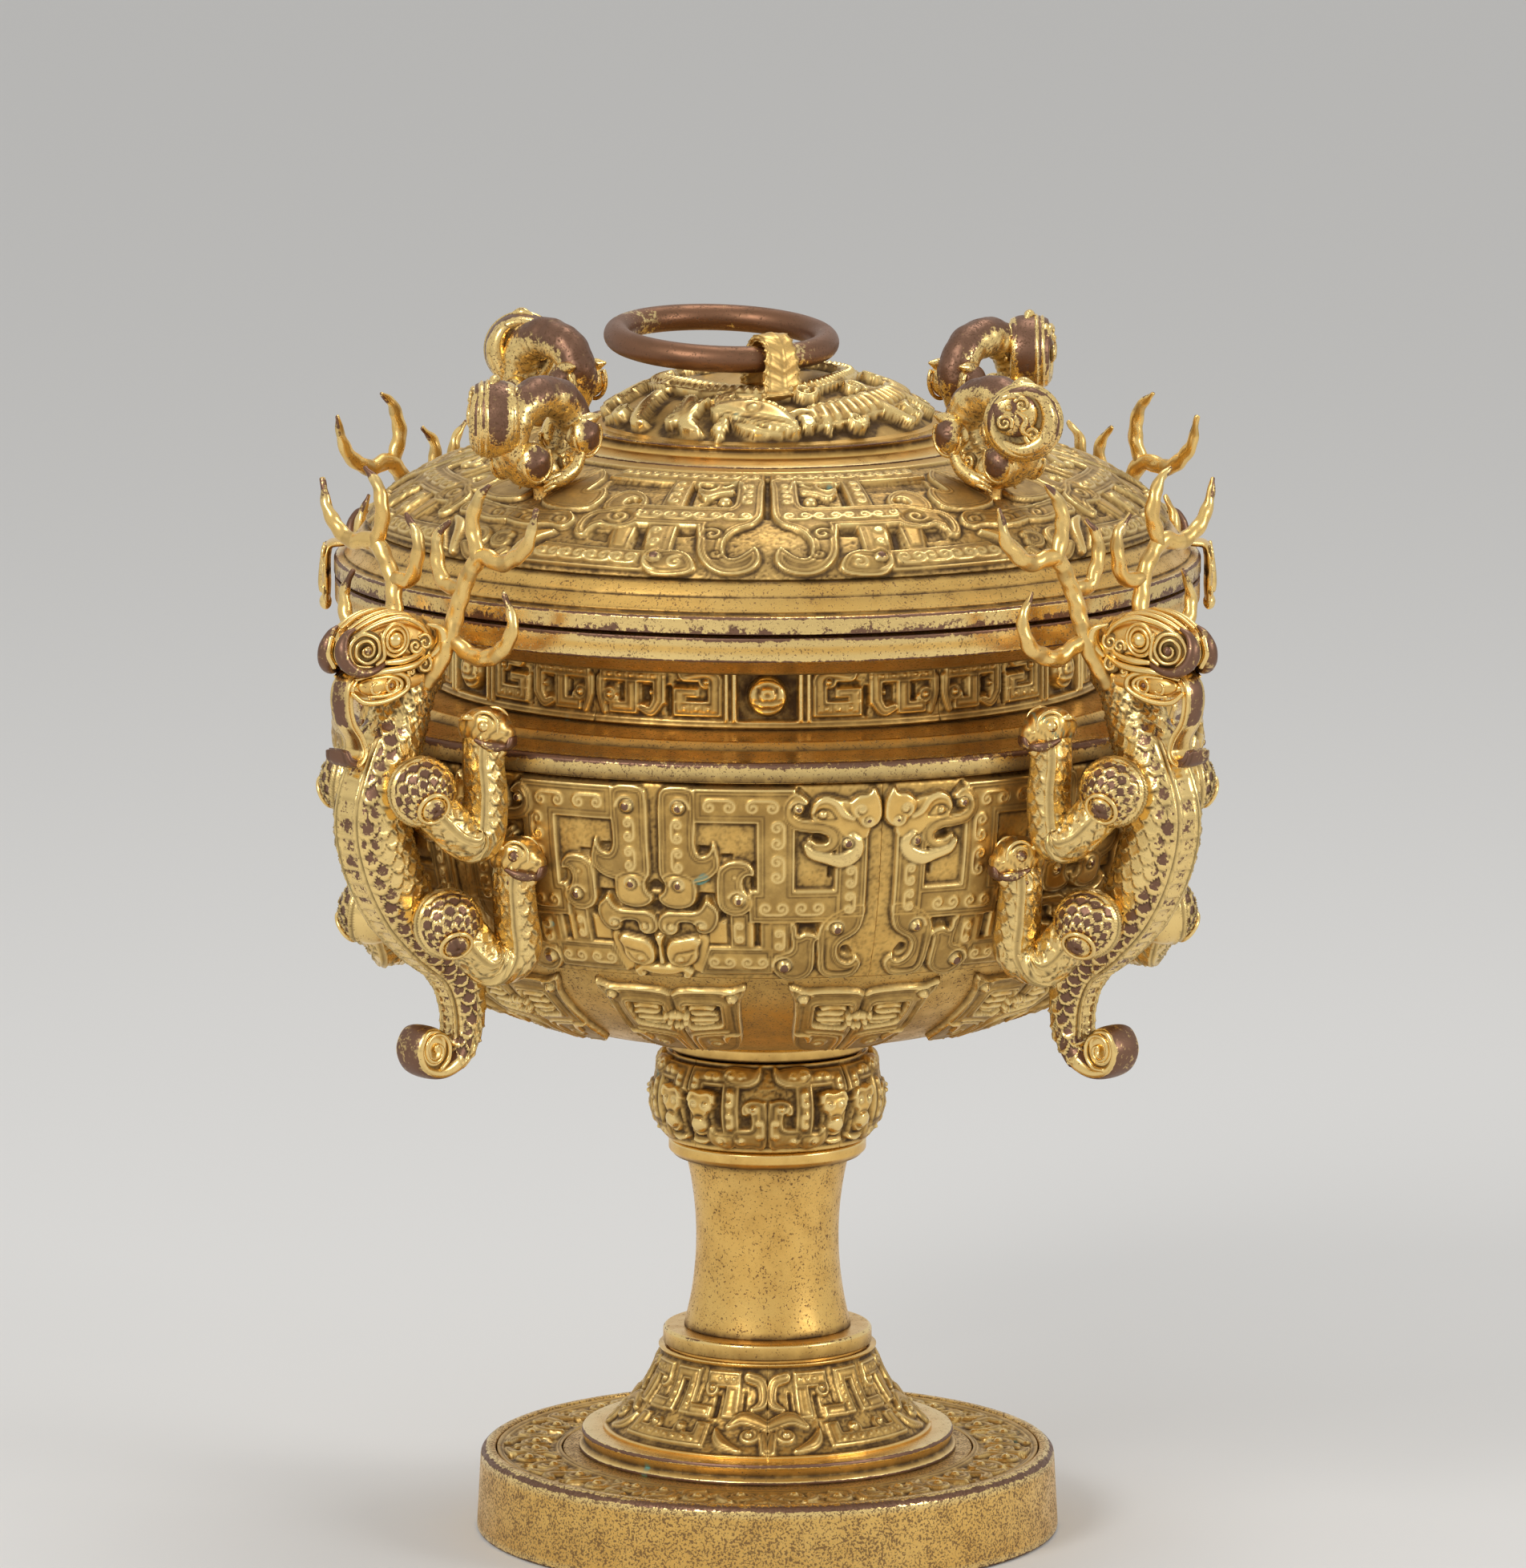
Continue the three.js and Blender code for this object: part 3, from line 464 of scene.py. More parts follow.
def buildTurned():
    z = levels
    turnedPiece("footPlateSmooth", [
        (70.4, 0), (69.4, 18.6), (68.0, 20), (65.8, 20), (65.8, 18.2), (49.5, 18.2), (49.5, 19.5), (36, 19.5),
        (36, 15.1), (66, 15.1), (66, 0)], "speckled", "root", ["foot_plate"], radius=0.8,
        worn=[(69.0, 19.3, 1.6), (70.4, 0, 1.0)], dark=[(65.6, 18.2, 1.2), (49.6, 18.2, 1.2)])
    turnedPiece("footFlangeSmooth", [
        (36, 19.5), (45.6, 19.5), (45.6, 20.4), (44.3, 21.54), (45, 23.7), (44.7, 24.6), (36, 24.6)], "rubbedAndHighlit", "root",
        ["foot_flange"], worn=[(45.0, 24.2, 0.8), (45.6, 20, 0.6)], dark=[(44.3, 21.5, 0.8), (45.6, 19.5, 0.5)])

    def collar(name, node, reach, low, height, edge, finish):
        turnedPiece(name, [(12, low), (reach - edge, low), (reach, low + edge), (reach, low + height - 0.6),
                           (reach - 0.6, low + height), (12, low + height)], finish, "root", [node],
                    worn=[(reach, low + height, 0.7)], dark=[(reach - edge, low, 0.8)])

    collar("lowerCollarSmooth", "lower_collar", 25.2, z["coneTop"], 4.1, 0.3, "rubbedAndHighlit")
    collar("upperCollarSmooth", "upper_collar", 23.8, z["columnTop"], 4.2, 1.4, "bright")
    collar("bowlSeatSmooth", "bowl_seat_ring", 24.5, z["knopTop"], 3.3, 0.5, "bright")
    share = np.linspace(0, 1, 25)
    sag = 4 * share * (1 - share)
    column = np.stack([20.2 - 0.5 * share - 2.75 * sag, z["lowerCollarTop"] + 42.2 * share], -1)
    turnedPiece("stemColumnSmooth", [(12, z["lowerCollarTop"]), *column.tolist(), (12, z["columnTop"])], "column",
                "root", ["stem_column"], turns=120, dark=[(20.2, z["lowerCollarTop"], 1.4), (19.7, z["columnTop"], 1.2)])
    turnedPiece("shoulderSmooth", [
        (104.5, 199.4), (104.5, 203.2), (103.7, 204), (94, 205.2), (92.6, 205.0), (92, 204.6), (91.2, 205.4),
        (90, 206.8), (81, 208), (77, 208), (77, 203.4), (100, 199.4)], "column", "root", ["shoulder_ring"],
        turns=200, worn=[(104.4, 203.9, 2.4)], dark=[(92.2, 204.7, 1.6), (81, 208, 1.6), (104.5, 199.4, 0.8)])
    turnedPiece("mouthSmooth", [
        (77, 223), (93.5, 223), (103.5, 227.6), (103.5, 233.2), (77, 233.2)], "column", "root", ["mouth_ring"],
        turns=200, radius=0.45, worn=[(103.4, 233.0, 0.9), (103.5, 227.6, 0.7)], dark=[(93.5, 223, 1.2), (82, 223, 2)])
    turnedPiece("lidRimSmooth", [
        (99, 233.3), (100, 234), (103.7, 234), (103.7, 237.6), (103.1, 238.1), (101.4, 238.2), (101.1, 238.6),
        (101.3, 239.0), (100.5, 239.7), (99.0, 241.8), (98.6, 241.9), (98.3, 242.6), (97.0, 244.4), (96, 245.3),
        (88, 245.3), (87, 241.3), (72.5, 236.3), (72.5, 226.3), (76, 226.3), (76, 233.3)], "column", "lid",
        ["lid_rim"], turns=200, radius=0.3, worn=[(103.5, 237.9, 0.9), (103.7, 234.0, 0.7)],
        dark=[(101.2, 238.5, 0.5), (98.7, 242.0, 0.5), (96, 245.3, 0.8), (100, 234, 1)])
    turnedPiece("crownRingSmooth", [
        (50, 264.8), (50, 265.5), (48.4, 266.0), (45.6, 266.9), (44.6, 268.2), (44.7, 268.8), (45.4, 269.1),
        (45.4, 269.5), (36, 269.5), (36, 264.8)], "bright", "lid", ["lid_crown_ring"],
        worn=[(45.4, 269.4, 0.5), (50, 265.3, 0.5)], dark=[(44.7, 268.4, 0.7), (50, 264.8, 0.6)])


buildTurned()
print("turned pieces ready")
# ---- relief carving: each tile is drawn on a flat sheet in mm, then wrapped on its turned form


def rounded(points):
    # a smooth run through the points, four steps to each span
    knots = np.array(points, float)
    ends = np.vstack([2 * knots[0] - knots[1], knots, 2 * knots[-1] - knots[-2]])
    run = [0.5 * (2 * b + (c - a) * t + (2 * a - 5 * b + 4 * c - d) * t ** 2 + (3 * b - a - 3 * c + d) * t ** 3)
           for a, b, c, d in zip(ends, ends[1:], ends[2:], ends[3:]) for t in (0, 0.25, 0.5, 0.75)]
    return np.array(run + [knots[-1]])


def brush(*points, bent=True):
    # a stroke through (u, v, half width), as the distance outside it
    if bent and len(points) > 2:
        points = rounded(points)

    def gap(u, v):
        best = np.full(u.shape, 99.0)
        for (au, av, ar), (bu, bv, br) in zip(points[:-1], points[1:]):
            du, dv = bu - au, bv - av
            t = np.clip(((u - au) * du + (v - av) * dv) / max(du * du + dv * dv, 1e-9), 0, 1)
            best = np.minimum(best, np.hypot(u - au - t * du, v - av - t * dv) - (ar + (br - ar) * t))
        return best
    return gap


def strip(u0, v0, u1, v1):
    def gap(u, v):
        return np.maximum(np.abs(u - (u0 + u1) / 2) - (u1 - u0) / 2, np.abs(v - (v0 + v1) / 2) - (v1 - v0) / 2)
    return gap


def coil(u, v, radius, start=0.0, hand=1, turns=1.4, width=1.1):
    # a scroll that winds in from its outer end
    share = np.linspace(0, 1, 22)
    angle = math.radians(start) + hand * turns * 2 * math.pi * share
    reach = (radius - width) * (1 - share) ** 0.8 + 0.15
    return brush(*[(u + r * math.cos(a), v + r * math.sin(a), width * (1 - 0.45 * s))
                   for r, a, s in zip(reach, angle, share)], bent=False)


def area(*outline, bent=True):
    # a closed region with rounded or straight sides, as the distance outside it
    ring = np.array(outline, float)
    if bent:
        count = len(ring)
        ring = rounded(np.vstack([ring[-1:], ring, ring[:2]]))[4:-5]
        ring = ring[:4 * count]

    def gap(u, v):
        best, inside = np.full(u.shape, 99.0), np.zeros(u.shape, bool)
        for (au, av), (bu, bv) in zip(ring, np.roll(ring, -1, axis=0)):
            du, dv = bu - au, bv - av
            t = np.clip(((u - au) * du + (v - av) * dv) / max(du * du + dv * dv, 1e-9), 0, 1)
            best = np.minimum(best, np.hypot(u - au - t * du, v - av - t * dv))
            if dv:
                inside ^= ((av > v) != (bv > v)) & (u < au + du * (v - av) / dv)
        return np.where(inside, -best, best)
    return gap


def joined(*gaps):
    return lambda u, v: np.minimum.reduce([gap(u, v) for gap in gaps])


def ease(value):
    value = np.clip(value, 0, 1)
    return value * value * (3 - 2 * value)


def blurred(field, reach):
    for axis in (0, 1):
        padded = np.pad(field, [(reach, reach) if n == axis else (0, 0) for n in (0, 1)], mode="edge")
        total = np.cumsum(padded, axis=axis)
        total = np.insert(total, 0, 0, axis=axis)
        size = field.shape[axis]
        ends = np.take(total, np.arange(size) + 2 * reach + 1, axis=axis)
        field = (ends - np.take(total, np.arange(size), axis=axis)) / (2 * reach + 1)
    return field


class Carving:
    # one sheet of relief, drawn twice as fine as its mesh: u runs across and v down, both in mm
    def __init__(self, u0, u1, v0, v1, step):
        self.step = step / 2
        across, down = 2 * round((u1 - u0) / step) + 1, 2 * round((v1 - v0) / step) + 1
        self.u, self.v = np.meshgrid(np.linspace(u0, u1, across), np.linspace(v0, v1, down))
        self.height = np.zeros(self.u.shape)
        self.rubbedAndHighlit = np.zeros(self.u.shape)
        # dark holds painted shade: incised lines, sunk slots, band middles and the gaps beside raised work
        self.dark = np.zeros(self.u.shape)

    def lift(self, gap, rise=1.2, line=1.0, depth=0.5, bevel=0.55, crown=0.0, shade=0.42, second=0.0):
        # a band with a bright raised rim, one or two incised lines inside it and a browner middle; the lines and the
        # middle are painted dark as shade
        d = gap(self.u, self.v)
        form = rise * ease(-d / bevel + 0.4) + crown * ease(-d / 2.5)
        inner = second or line
        if line:
            form -= depth * np.exp(-((d + line) / 0.34) ** 2) * (d < 0) + 0.14 * ease((-d - inner) / 0.5)
        if second:
            form -= 0.9 * depth * np.exp(-((d + second) / 0.32) ** 2) * (d < 0) + 0.2 * ease((-d - second) / 0.4)
        above = (d < bevel) & (form >= self.height)
        self.height = np.where(above, form, self.height)
        brown = shade * ease((-d - inner + 0.1) / 0.4) if line else np.zeros(d.shape)
        for groove in (line, second):
            if groove:
                brown = np.maximum(brown, 0.95 * np.exp(-((d + groove) / 0.36) ** 2))
        self.dark = np.where(above, brown, self.dark)
        return self

    def ridge(self, gap, rise=0.42, near=None):
        # a thin raised line, bright on its top: the painted shade is cleared there and its rub lightens it, worn polish
        # and a painted highlight
        near = np.ones(self.u.shape, bool) if near is None else near
        top = np.exp(-(np.maximum(gap(self.u[near], self.v[near]), 0) / 0.24) ** 2)
        self.height[near] += rise * top
        self.dark[near] *= 1 - 0.9 * top
        self.rubbedAndHighlit[near] = np.maximum(self.rubbedAndHighlit[near], 0.45 * top)
        return self

    def volutes(self, u0, v0, u1, v1, count, size=1.5, hand=1, spread=0.25):
        # pairs of raised spirals, each pair on a bar of its own, along the middle of a band
        length = math.hypot(u1 - u0, v1 - v0)
        au, av = (u1 - u0) / length, (v1 - v0) / length
        half = spread * length / count
        share = np.linspace(0, 1, 14)
        angle = math.pi / 2 - 2 * math.pi * 1.25 * share
        reach = size * (1 - 0.8 * share)
        for n in range(count):
            pu, pv = u0 + (u1 - u0) * (n + 0.5) / count, v0 + (v1 - v0) * (n + 0.5) / count
            near = np.hypot(self.u - pu, self.v - pv) < 2 * half + size + 1
            strokes = []
            for side in (-1, 1):
                along = side * (half + reach * np.cos(angle))
                down = hand * reach * np.sin(angle)
                run = [(0.0, hand * size), *zip(along, down)]
                strokes.append(brush(*[(pu + au * a - av * b, pv + av * a + au * b, 0.14) for a, b in run], bent=False))
            self.ridge(joined(*strokes), near=near)
        return self

    def boss(self, u, v, radius, start=0.0, hand=1, rub=0.9):
        # a small round boss wound in by a raised spiral
        self.ridge(coil(u, v, radius, start, hand, 1.1, 0.2), 0.35)
        return self.dome(u, v, 0.6 * radius, 0.55 * radius, rub, 1.0)

    def cut(self, gap, depth=0.4, spread=0.26):
        # an incised line along a stroke, painted dark as shade
        d = np.abs(gap(self.u, self.v))
        self.height -= depth * np.exp(-(d / spread) ** 2)
        self.dark = np.maximum(self.dark, 0.8 * np.exp(-(d / spread) ** 2))
        return self

    def dome(self, u, v, radius, rise=1.6, rub=1.0, base=0.0):
        # a round boss; its top is rubbed bright, worn polish and a painted highlight
        d = np.hypot(self.u - u, self.v - v) / radius
        form = base + rise * np.sqrt(np.clip(1 - d * d, 0, 1))
        self.height = np.where(d < 1, np.maximum(self.height, form), self.height)
        self.height -= 0.35 * np.exp(-((d - 1.12) * radius / 0.3) ** 2)
        self.rubbedAndHighlit = np.maximum(self.rubbedAndHighlit, rub * ease(1.3 - d))
        self.dark = np.where(d < 1, 0, self.dark)
        return self

    def sink(self, gap, depth=1.0, shade=1.0):
        # a sunk region, its floor painted dark as shade
        d = gap(self.u, self.v)
        inside = ease(-d / 0.35 + 0.4)
        self.height = self.height * (1 - inside) - depth * inside
        self.dark = np.maximum(self.dark, shade * inside)
        return self

    def curls(self, u0, v0, u1, v1, radius=1.15, pitch=3.6, hand=1):
        # a chain of small S-curls along the middle of a band
        length = math.hypot(u1 - u0, v1 - v0)
        count = max(int(round(length / pitch)), 1)
        cu, cv = (u1 - u0) / max(length, 1e-6), (v1 - v0) / max(length, 1e-6)
        for n in range(count):
            t = (n + 0.5) / count
            pu, pv = u0 + (u1 - u0) * t, v0 + (v1 - v0) * t
            du, dv = self.u - pu, self.v - pv
            near = np.maximum(np.abs(du), np.abs(dv)) < pitch
            d = np.hypot(du, dv)[near]
            angle = np.arctan2(dv[near], du[near]) + (n % 2) * math.pi
            turn = (angle / (2 * math.pi)) % 1.0
            spiral = np.abs(d - radius * (0.55 + 0.6 * turn))
            self.height[near] -= 0.34 * np.exp(-(spiral / 0.21) ** 2) * (d < 1.5 * radius)
            self.height[near] += 0.2 * np.exp(-(d / 0.42) ** 2)
            if n:
                side = hand * (1 if n % 2 else -1)
                mu, mv = pu - cu * pitch / 2, pv - cv * pitch / 2
                self.cut(brush((mu - cv * side * radius, mv + cu * side * radius, 0),
                               (mu + cv * side * radius, mv - cu * side * radius, 0)), 0.22, 0.2)
        return self

    def mirrored(self):
        for name in ("u", "v", "height", "rubbedAndHighlit", "dark"):
            field = getattr(self, name)
            left = field[:, :0:-1]
            setattr(self, name, np.hstack([-left if name == "u" else left, field]))
        return self

    def masks(self):
        near, far = max(round(0.6 / self.step), 1), max(round(1.8 / self.step), 1)
        around = blurred(blurred(self.height, near), near)
        broad = blurred(blurred(self.height, far), far)
        # edge: raised places rubbed bright, wear and polish with a painted highlight; hollow: painted shade beside
        # raised edges and over broad low areas, added to the dark field
        edge = np.clip((self.height - around - 0.02) / 0.3, 0, 1)
        hollow = np.clip((around - self.height - 0.02) / 0.26, 0, 1) + 0.5 * np.clip((broad - self.height) / 0.7, 0, 1)
        return np.maximum(0.5 * edge, self.rubbedAndHighlit), np.clip(np.maximum(hollow, self.dark * (1 - edge)), 0, 1)


def halved(field):
    wide = np.pad(field, 1, mode="edge")
    wide = (wide[:-2] + 2 * wide[1:-1] + wide[2:]) / 4
    return ((wide[:, :-2] + 2 * wide[:, 1:-1] + wide[:, 2:]) / 4)[::2, ::2]


def wrapCarving(name, carving, section, perDegree, spin, finish, body, ground=-0.45, stands=(),
                grain=0.2, skirt=0.9):
    # section is the form's outline from v = 0 downwards; perDegree is mm of u to a degree of turn
    section = np.array(section, float)
    run = np.concatenate([[0], np.cumsum(np.hypot(*np.diff(section, axis=0).T))])
    pitted = blurred(np.random.default_rng(7).normal(size=carving.u.shape), 1)
    edge, hollow = carving.masks()
    low = 1 - ease(carving.height / 0.3)
    rise = carving.height + ground - grain * pitted * (0.3 + 0.7 * low)
    # the low ground is darkened, most in its pits: painted shade and dirt
    hollow = np.clip(hollow + low * (0.12 + 3.75 * grain * ease(pitted / 0.5)), 0, 1)
    rise, edge, hollow = map(halved, (rise, edge, hollow))
    u, v = carving.u[::2, ::2], carving.v[::2, ::2]
    pad = lambda field: np.pad(field, 1, mode="edge")
    u, v, rise, edge, hollow = map(pad, (u, v, rise, edge, hollow))
    rise[[0, -1], :] = rise[:, [0, -1]].T[:, :1] * 0 + ground - skirt
    rise[:, 0] = rise[:, -1] = ground - skirt
    reach, height = np.interp(v, run, section[:, 0]), np.interp(v, run, section[:, 1])
    step = 0.5
    dr = np.interp(v + step, run, section[:, 0]) - np.interp(v - step, run, section[:, 0])
    dz = np.interp(v + step, run, section[:, 1]) - np.interp(v - step, run, section[:, 1])
    size = np.hypot(dr, dz) + 1e-9
    reach, height = reach - rise * dz / size, height + rise * dr / size
    turn = np.radians(spin + u / perDegree)
    points = np.stack([reach * np.sin(turn), -reach * np.cos(turn), height], -1).reshape(-1, 3)
    faces = gridFaces(*u.shape, flip=True)
    return addPiece(name, points, faces, finish, body, stands, edge.ravel(), hollow.ravel(), sharp=0)


def under(curve, depth):
    # the same outline, lower by depth along its normal, for the shell that closes a carved form from behind
    slope = np.gradient(curve, axis=0)
    size = np.hypot(*slope.T)
    return curve + np.stack([-slope[:, 1], slope[:, 0]], -1) * (depth / size)[:, None]


def bowlBand():
    # half of one sixth: the beast mask's axis is u = 0, the paired heads' axis is u = 54
    band = Carving(0, 54, 0.7, 50.9, relief["step"])
    double = {"rise": 1.35, "line": 0.8, "second": 1.65, "shade": 0.5}
    # deep gaps first, so that the plates cut them off cleanly
    for hole in (brush((10.6, 0.9, 0.3), (33, 0.9, 0.3), bent=False), brush((10.8, 16.2, 0.8), (13.4, 16, 0.5)),
                 brush((15.6, 18, 0.6), (18.4, 17.8, 0.5)), brush((24, 19.4, 0.5), (23.6, 22.8, 0.7), (23.8, 25.4, 0.7)),
                 area((10.2, 27), (14.4, 27.2), (14.6, 30), (11.4, 30.4), (8.6, 31.6), bent=False),
                 brush((15.6, 31, 0.9), (16.4, 33.6, 0.7)), brush((34.2, 1.8, 0.6), (36.8, 4.6, 0.8)),
                 brush((41.8, 19.6, 0.6), (41.8, 22.8, 0.5)), brush((0, 25.4, 1.3), (1.4, 26, 0.8)), brush((0, 31, 1.6), (1.6, 31.4, 0.7)),
                 area((34.2, 35), (39.4, 35), (39.4, 37.4), (34.6, 37.4), bent=False), strip(38.8, 38.2, 39.6, 47),
                 strip(23.8, 34.8, 25.2, 40.3), brush((46.6, 42.4, 1.2), (47.6, 43.2, 0.8))):
        band.sink(hole, 0.9)
    column = area((1.3, 23), (1.3, 14), (1.4, 4.6), (2.4, 1.8), (5, 1.1), (8.2, 1.2), (10, 2.4), (10.4, 6), (10.1, 11), (10, 15.4),
                  (10.8, 17.5), (12.2, 17.6), (13.4, 16.6), (14.3, 14.2), (15.2, 16.8), (15.7, 20), (14.5, 22.2), (12.3, 23.7),
                  (9.2, 24.4), (5, 24.4))
    band.lift(joined(column, strip(9.6, 1.4, 33.4, 9.7), strip(24.5, 1.4, 33.4, 34), strip(22.6, 26, 45, 34.3),
                     strip(42.9, 11, 50.6, 33)), **double)
    band.lift(area((14.9, 27.6), (15, 23), (15.4, 21), (16.7, 19.6), (18.6, 18.8), (21.2, 18.8), (22.6, 19.5), (23.8, 21.1),
                   (23.7, 22.5), (22.4, 22.3), (21.3, 23.2), (21.1, 24.9), (21.8, 26.6), (23.4, 28), (23.4, 30), (21.8, 31.8),
                   (19.1, 32.5), (16.6, 31.7), (15.2, 30)), **dict(double, rise=1.5))
    # the bars and the bottom band
    band.lift(strip(12.6, 34.2, 17, 40.2), 0.5, line=0)
    band.lift(joined(strip(18, 32, 22.3, 41), strip(25.4, 34, 28.3, 42)), 1.2, line=0.6)
    band.lift(strip(22.2, 34, 23.7, 41), 0.9, line=0)
    band.lift(strip(27.4, 34, 32.4, 43.4), 1.25, line=0.65)
    band.lift(area((12.4, 41), (28.4, 41), (28.4, 48.7), (9.4, 48.9), bent=False), 1.3, line=0.7, second=1.4)
    # the hooked beaks and the big scroll
    band.lift(area((32.4, 34.4), (33.9, 34.8), (34.5, 37.7), (36.2, 37), (38.2, 37.3), (39.8, 38.4), (38.7, 39.8), (38.9, 45.4),
                   (38, 48.6), (35.4, 50.5), (32.2, 50.7), (29.6, 49.2), (28.1, 46.8), (28.2, 44.6), (29, 42.9), (30.9, 42.2),
                   (33, 40.8)), **dict(double, rise=1.5))
    band.lift(area((39.9, 47), (39.4, 42), (39.3, 37.6), (40, 34.8), (41.6, 32.8), (43.4, 31.6), (46.6, 30), (50.6, 30), (50.3, 34.3),
                   (49.3, 36.8), (47.4, 38.4), (45.5, 39.5), (44.5, 41.2), (44.8, 43.5), (46, 45.1), (47.5, 45.6), (48.6, 45),
                   (49.1, 43.6), (50.9, 45.6), (50.2, 48.2), (48.1, 50), (42.7, 50), (40.9, 48.9)), **double)
    band.cut(brush((41.6, 38.6, 0), (41.7, 46, 0), (43, 48, 0), (46, 48.3, 0), (48.6, 47.8, 0)), 0.5, 0.3)
    # the paired heads: face plate, brow, leaf, and the two snakes under them
    band.lift(area((37, 6.8), (38, 4.2), (40.2, 3), (43, 3.6), (46, 4.4), (50.6, 5), (50.7, 13), (45, 13), (42.6, 10.6), (38, 9.4)),
              1.35, line=0)
    band.ridge(brush((37.2, 7, 0.3), (38.2, 4.6, 0.5), (40.6, 3.8, 0.6), (43, 5, 0.6), (44.6, 7.4, 0.5), (46.8, 8.6, 0.3)), 0.5)
    band.cut(brush((37.8, 7.6, 0), (39.4, 6.3, 0), (41.4, 6.6, 0), (43, 8.6, 0)), 0.5, 0.3)
    band.cut(brush((37.8, 7.8, 0), (39.8, 8.8, 0), (42.6, 8.8, 0)), 0.4, 0.26)
    band.dome(39.8, 7.6, 0.9, 0.5, 0.6, 1.3)
    band.lift(area((46, 4.8), (48.1, 3), (50.4, 2.7), (51.6, 1.2), (52.9, 3.1), (53.6, 5.1), (53.8, 8), (53, 9.9), (51.2, 11),
                   (48.9, 10.4), (47.6, 8.8), (46.2, 7.2)), 1.7, line=0, crown=0.3)
    band.boss(48.7, 6.5, 1.7, 120, 1, 0.5)
    band.boss(50.5, 9.2, 1.6, 200, -1)
    band.lift(brush((35.8, 4.6, 0.7), (33.6, 3.6, 1.2), (32, 5.4, 1.3), (31.9, 7.8, 1.4), (33.6, 9.7, 1.5), (36.6, 10.4, 1.5),
                    (39.6, 10.7, 1.5), (42, 12, 1.6), (42.6, 14, 1.5), (41, 15.7, 1.4), (38.4, 15.7, 1.2), (36.8, 14, 0.6)), 1.75, line=0.6)
    band.sink(brush((38.4, 13, 0.8), (40.2, 13.5, 0.9)), 0.9)
    roll = ((35.8, 15, 0.6), (37.2, 17, 1.2), (40.8, 18.1, 1.4), (44.2, 18.7, 1.8), (47.2, 17.3, 1.8), (48.2, 14.8, 1.5),
            (46.8, 12.9, 1.0))
    band.lift(brush(*roll), 1.8, line=0, crown=0.3)
    band.rubbedAndHighlit = np.maximum(band.rubbedAndHighlit, 0.66 * ease(0.5 - brush(*roll)(band.u, band.v) / 0.8))
    # the mask: coil leaf, ear, eye, nose and mouth
    band.lift(area((9.2, 22.9), (10, 25.1), (9.9, 28.1), (8.8, 30), (6.4, 30.9), (3.4, 30.8), (1.2, 29.6), (0.7, 28), (1.9, 27),
                   (2.5, 25.1), (1.7, 23), (5, 21.6)), 1.6, line=0.7, shade=0.2)
    band.lift(area((0.4, 37), (0.1, 34.7), (0.8, 33), (2.6, 32), (5.6, 31.9), (9.3, 31.7), (11, 30.6), (12.2, 28.6), (13.4, 29.5),
                   (14.7, 30.7), (15.2, 32.5), (14.7, 34.8), (13.2, 36.8), (11.4, 37.4), (9.8, 36.8), (9, 34.9), (6.8, 34.4),
                   (5.2, 34.9), (4.8, 37), (2.8, 38)), 1.5, line=0.75)
    band.lift(area((10.4, 38), (12.2, 38.2), (12.2, 41), (9.8, 48.4), (7.6, 47), (8.4, 44)), 0.8, line=0)
    band.lift(area((1.6, 41.4), (2.8, 39.4), (5.9, 38.6), (9.2, 38), (10.6, 39.2), (9.7, 41.3), (9.5, 43.6), (8, 45.7), (5.1, 46.5),
                   (2.4, 45.9), (1.4, 43.6)), 1.75, line=0, crown=0.5)
    band.cut(brush((3.2, 44.2, 0), (4.2, 42.5, 0), (6, 42, 0), (8.6, 41.4, 0)), 0.5, 0.3)
    band.cut(brush((3.2, 44.4, 0), (4.8, 45.6, 0), (6.6, 44.9, 0), (8.2, 42.6, 0)), 0.4, 0.26)
    band.dome(5.2, 44, 0.9, 0.4, 0.5, 1.9)
    band.lift(area((-1, 37.4), (1.3, 38.2), (0.5, 41), (0.8, 46), (-1, 46.4), bent=False), 1.65, line=0, crown=0.4)
    band.lift(joined(brush((-1, 47.8, 1.5), (2.6, 47.7, 1.3), (5.2, 47.2, 0.9), (7.2, 48.2, 0.8)), coil(6, 49, 1.6, 270, 1, 1.1, 0.8)),
              1.7, line=0)
    for u, v, size, turned, hand, rub in (
            (6.2, 6.2, 2.6, 0, -1, 1.0), (20, 28.4, 2.4, 200, 1, 0.95), (31.2, 46, 3, 180, 1, 1.0), (44, 35.9, 2.5, 180, 1, 1.0),
            (34.2, 6.2, 2.1, 200, 1, 1.0), (45.8, 14.6, 2.1, 0, -1, 1.0), (5.8, 25, 2.2, 180, 1, 1.0), (3.3, 35.8, 1.6, 200, -1, 0.5),
            (10.9, 35.2, 1.7, 200, 1, 0.7)):
        band.boss(u, v, size, turned, hand, rub)
    band.dome(19.2, 22.8, 0.5, 0.2, 0.3, 1.2)
    for u0, v0, u1, v1, count, size, hand in (
            (10.8, 5.7, 30.8, 5.9, 2, 1.65, -1), (5.9, 8.4, 5.9, 22.4, 2, 1.4, 1), (29.2, 8.4, 29.2, 24.8, 2, 1.65, -1),
            (24.2, 30.4, 41.4, 30.4, 2, 1.65, 1), (46.7, 19.6, 46.5, 32.4, 2, 1.3, -1), (11.4, 45, 28, 45, 2, 1.6, 1),
            (20.2, 33, 20.2, 40.4, 1, 1.2, 1), (29.8, 35, 29.8, 42.2, 1, 1.3, -1)):
        band.volutes(u0, v0, u1, v1, count, size, hand, 0.22)
    band.height -= 0.5 * np.exp(-(np.clip(band.v - 0.7, 0, 9) / 0.5) ** 2)
    return band.mirrored()


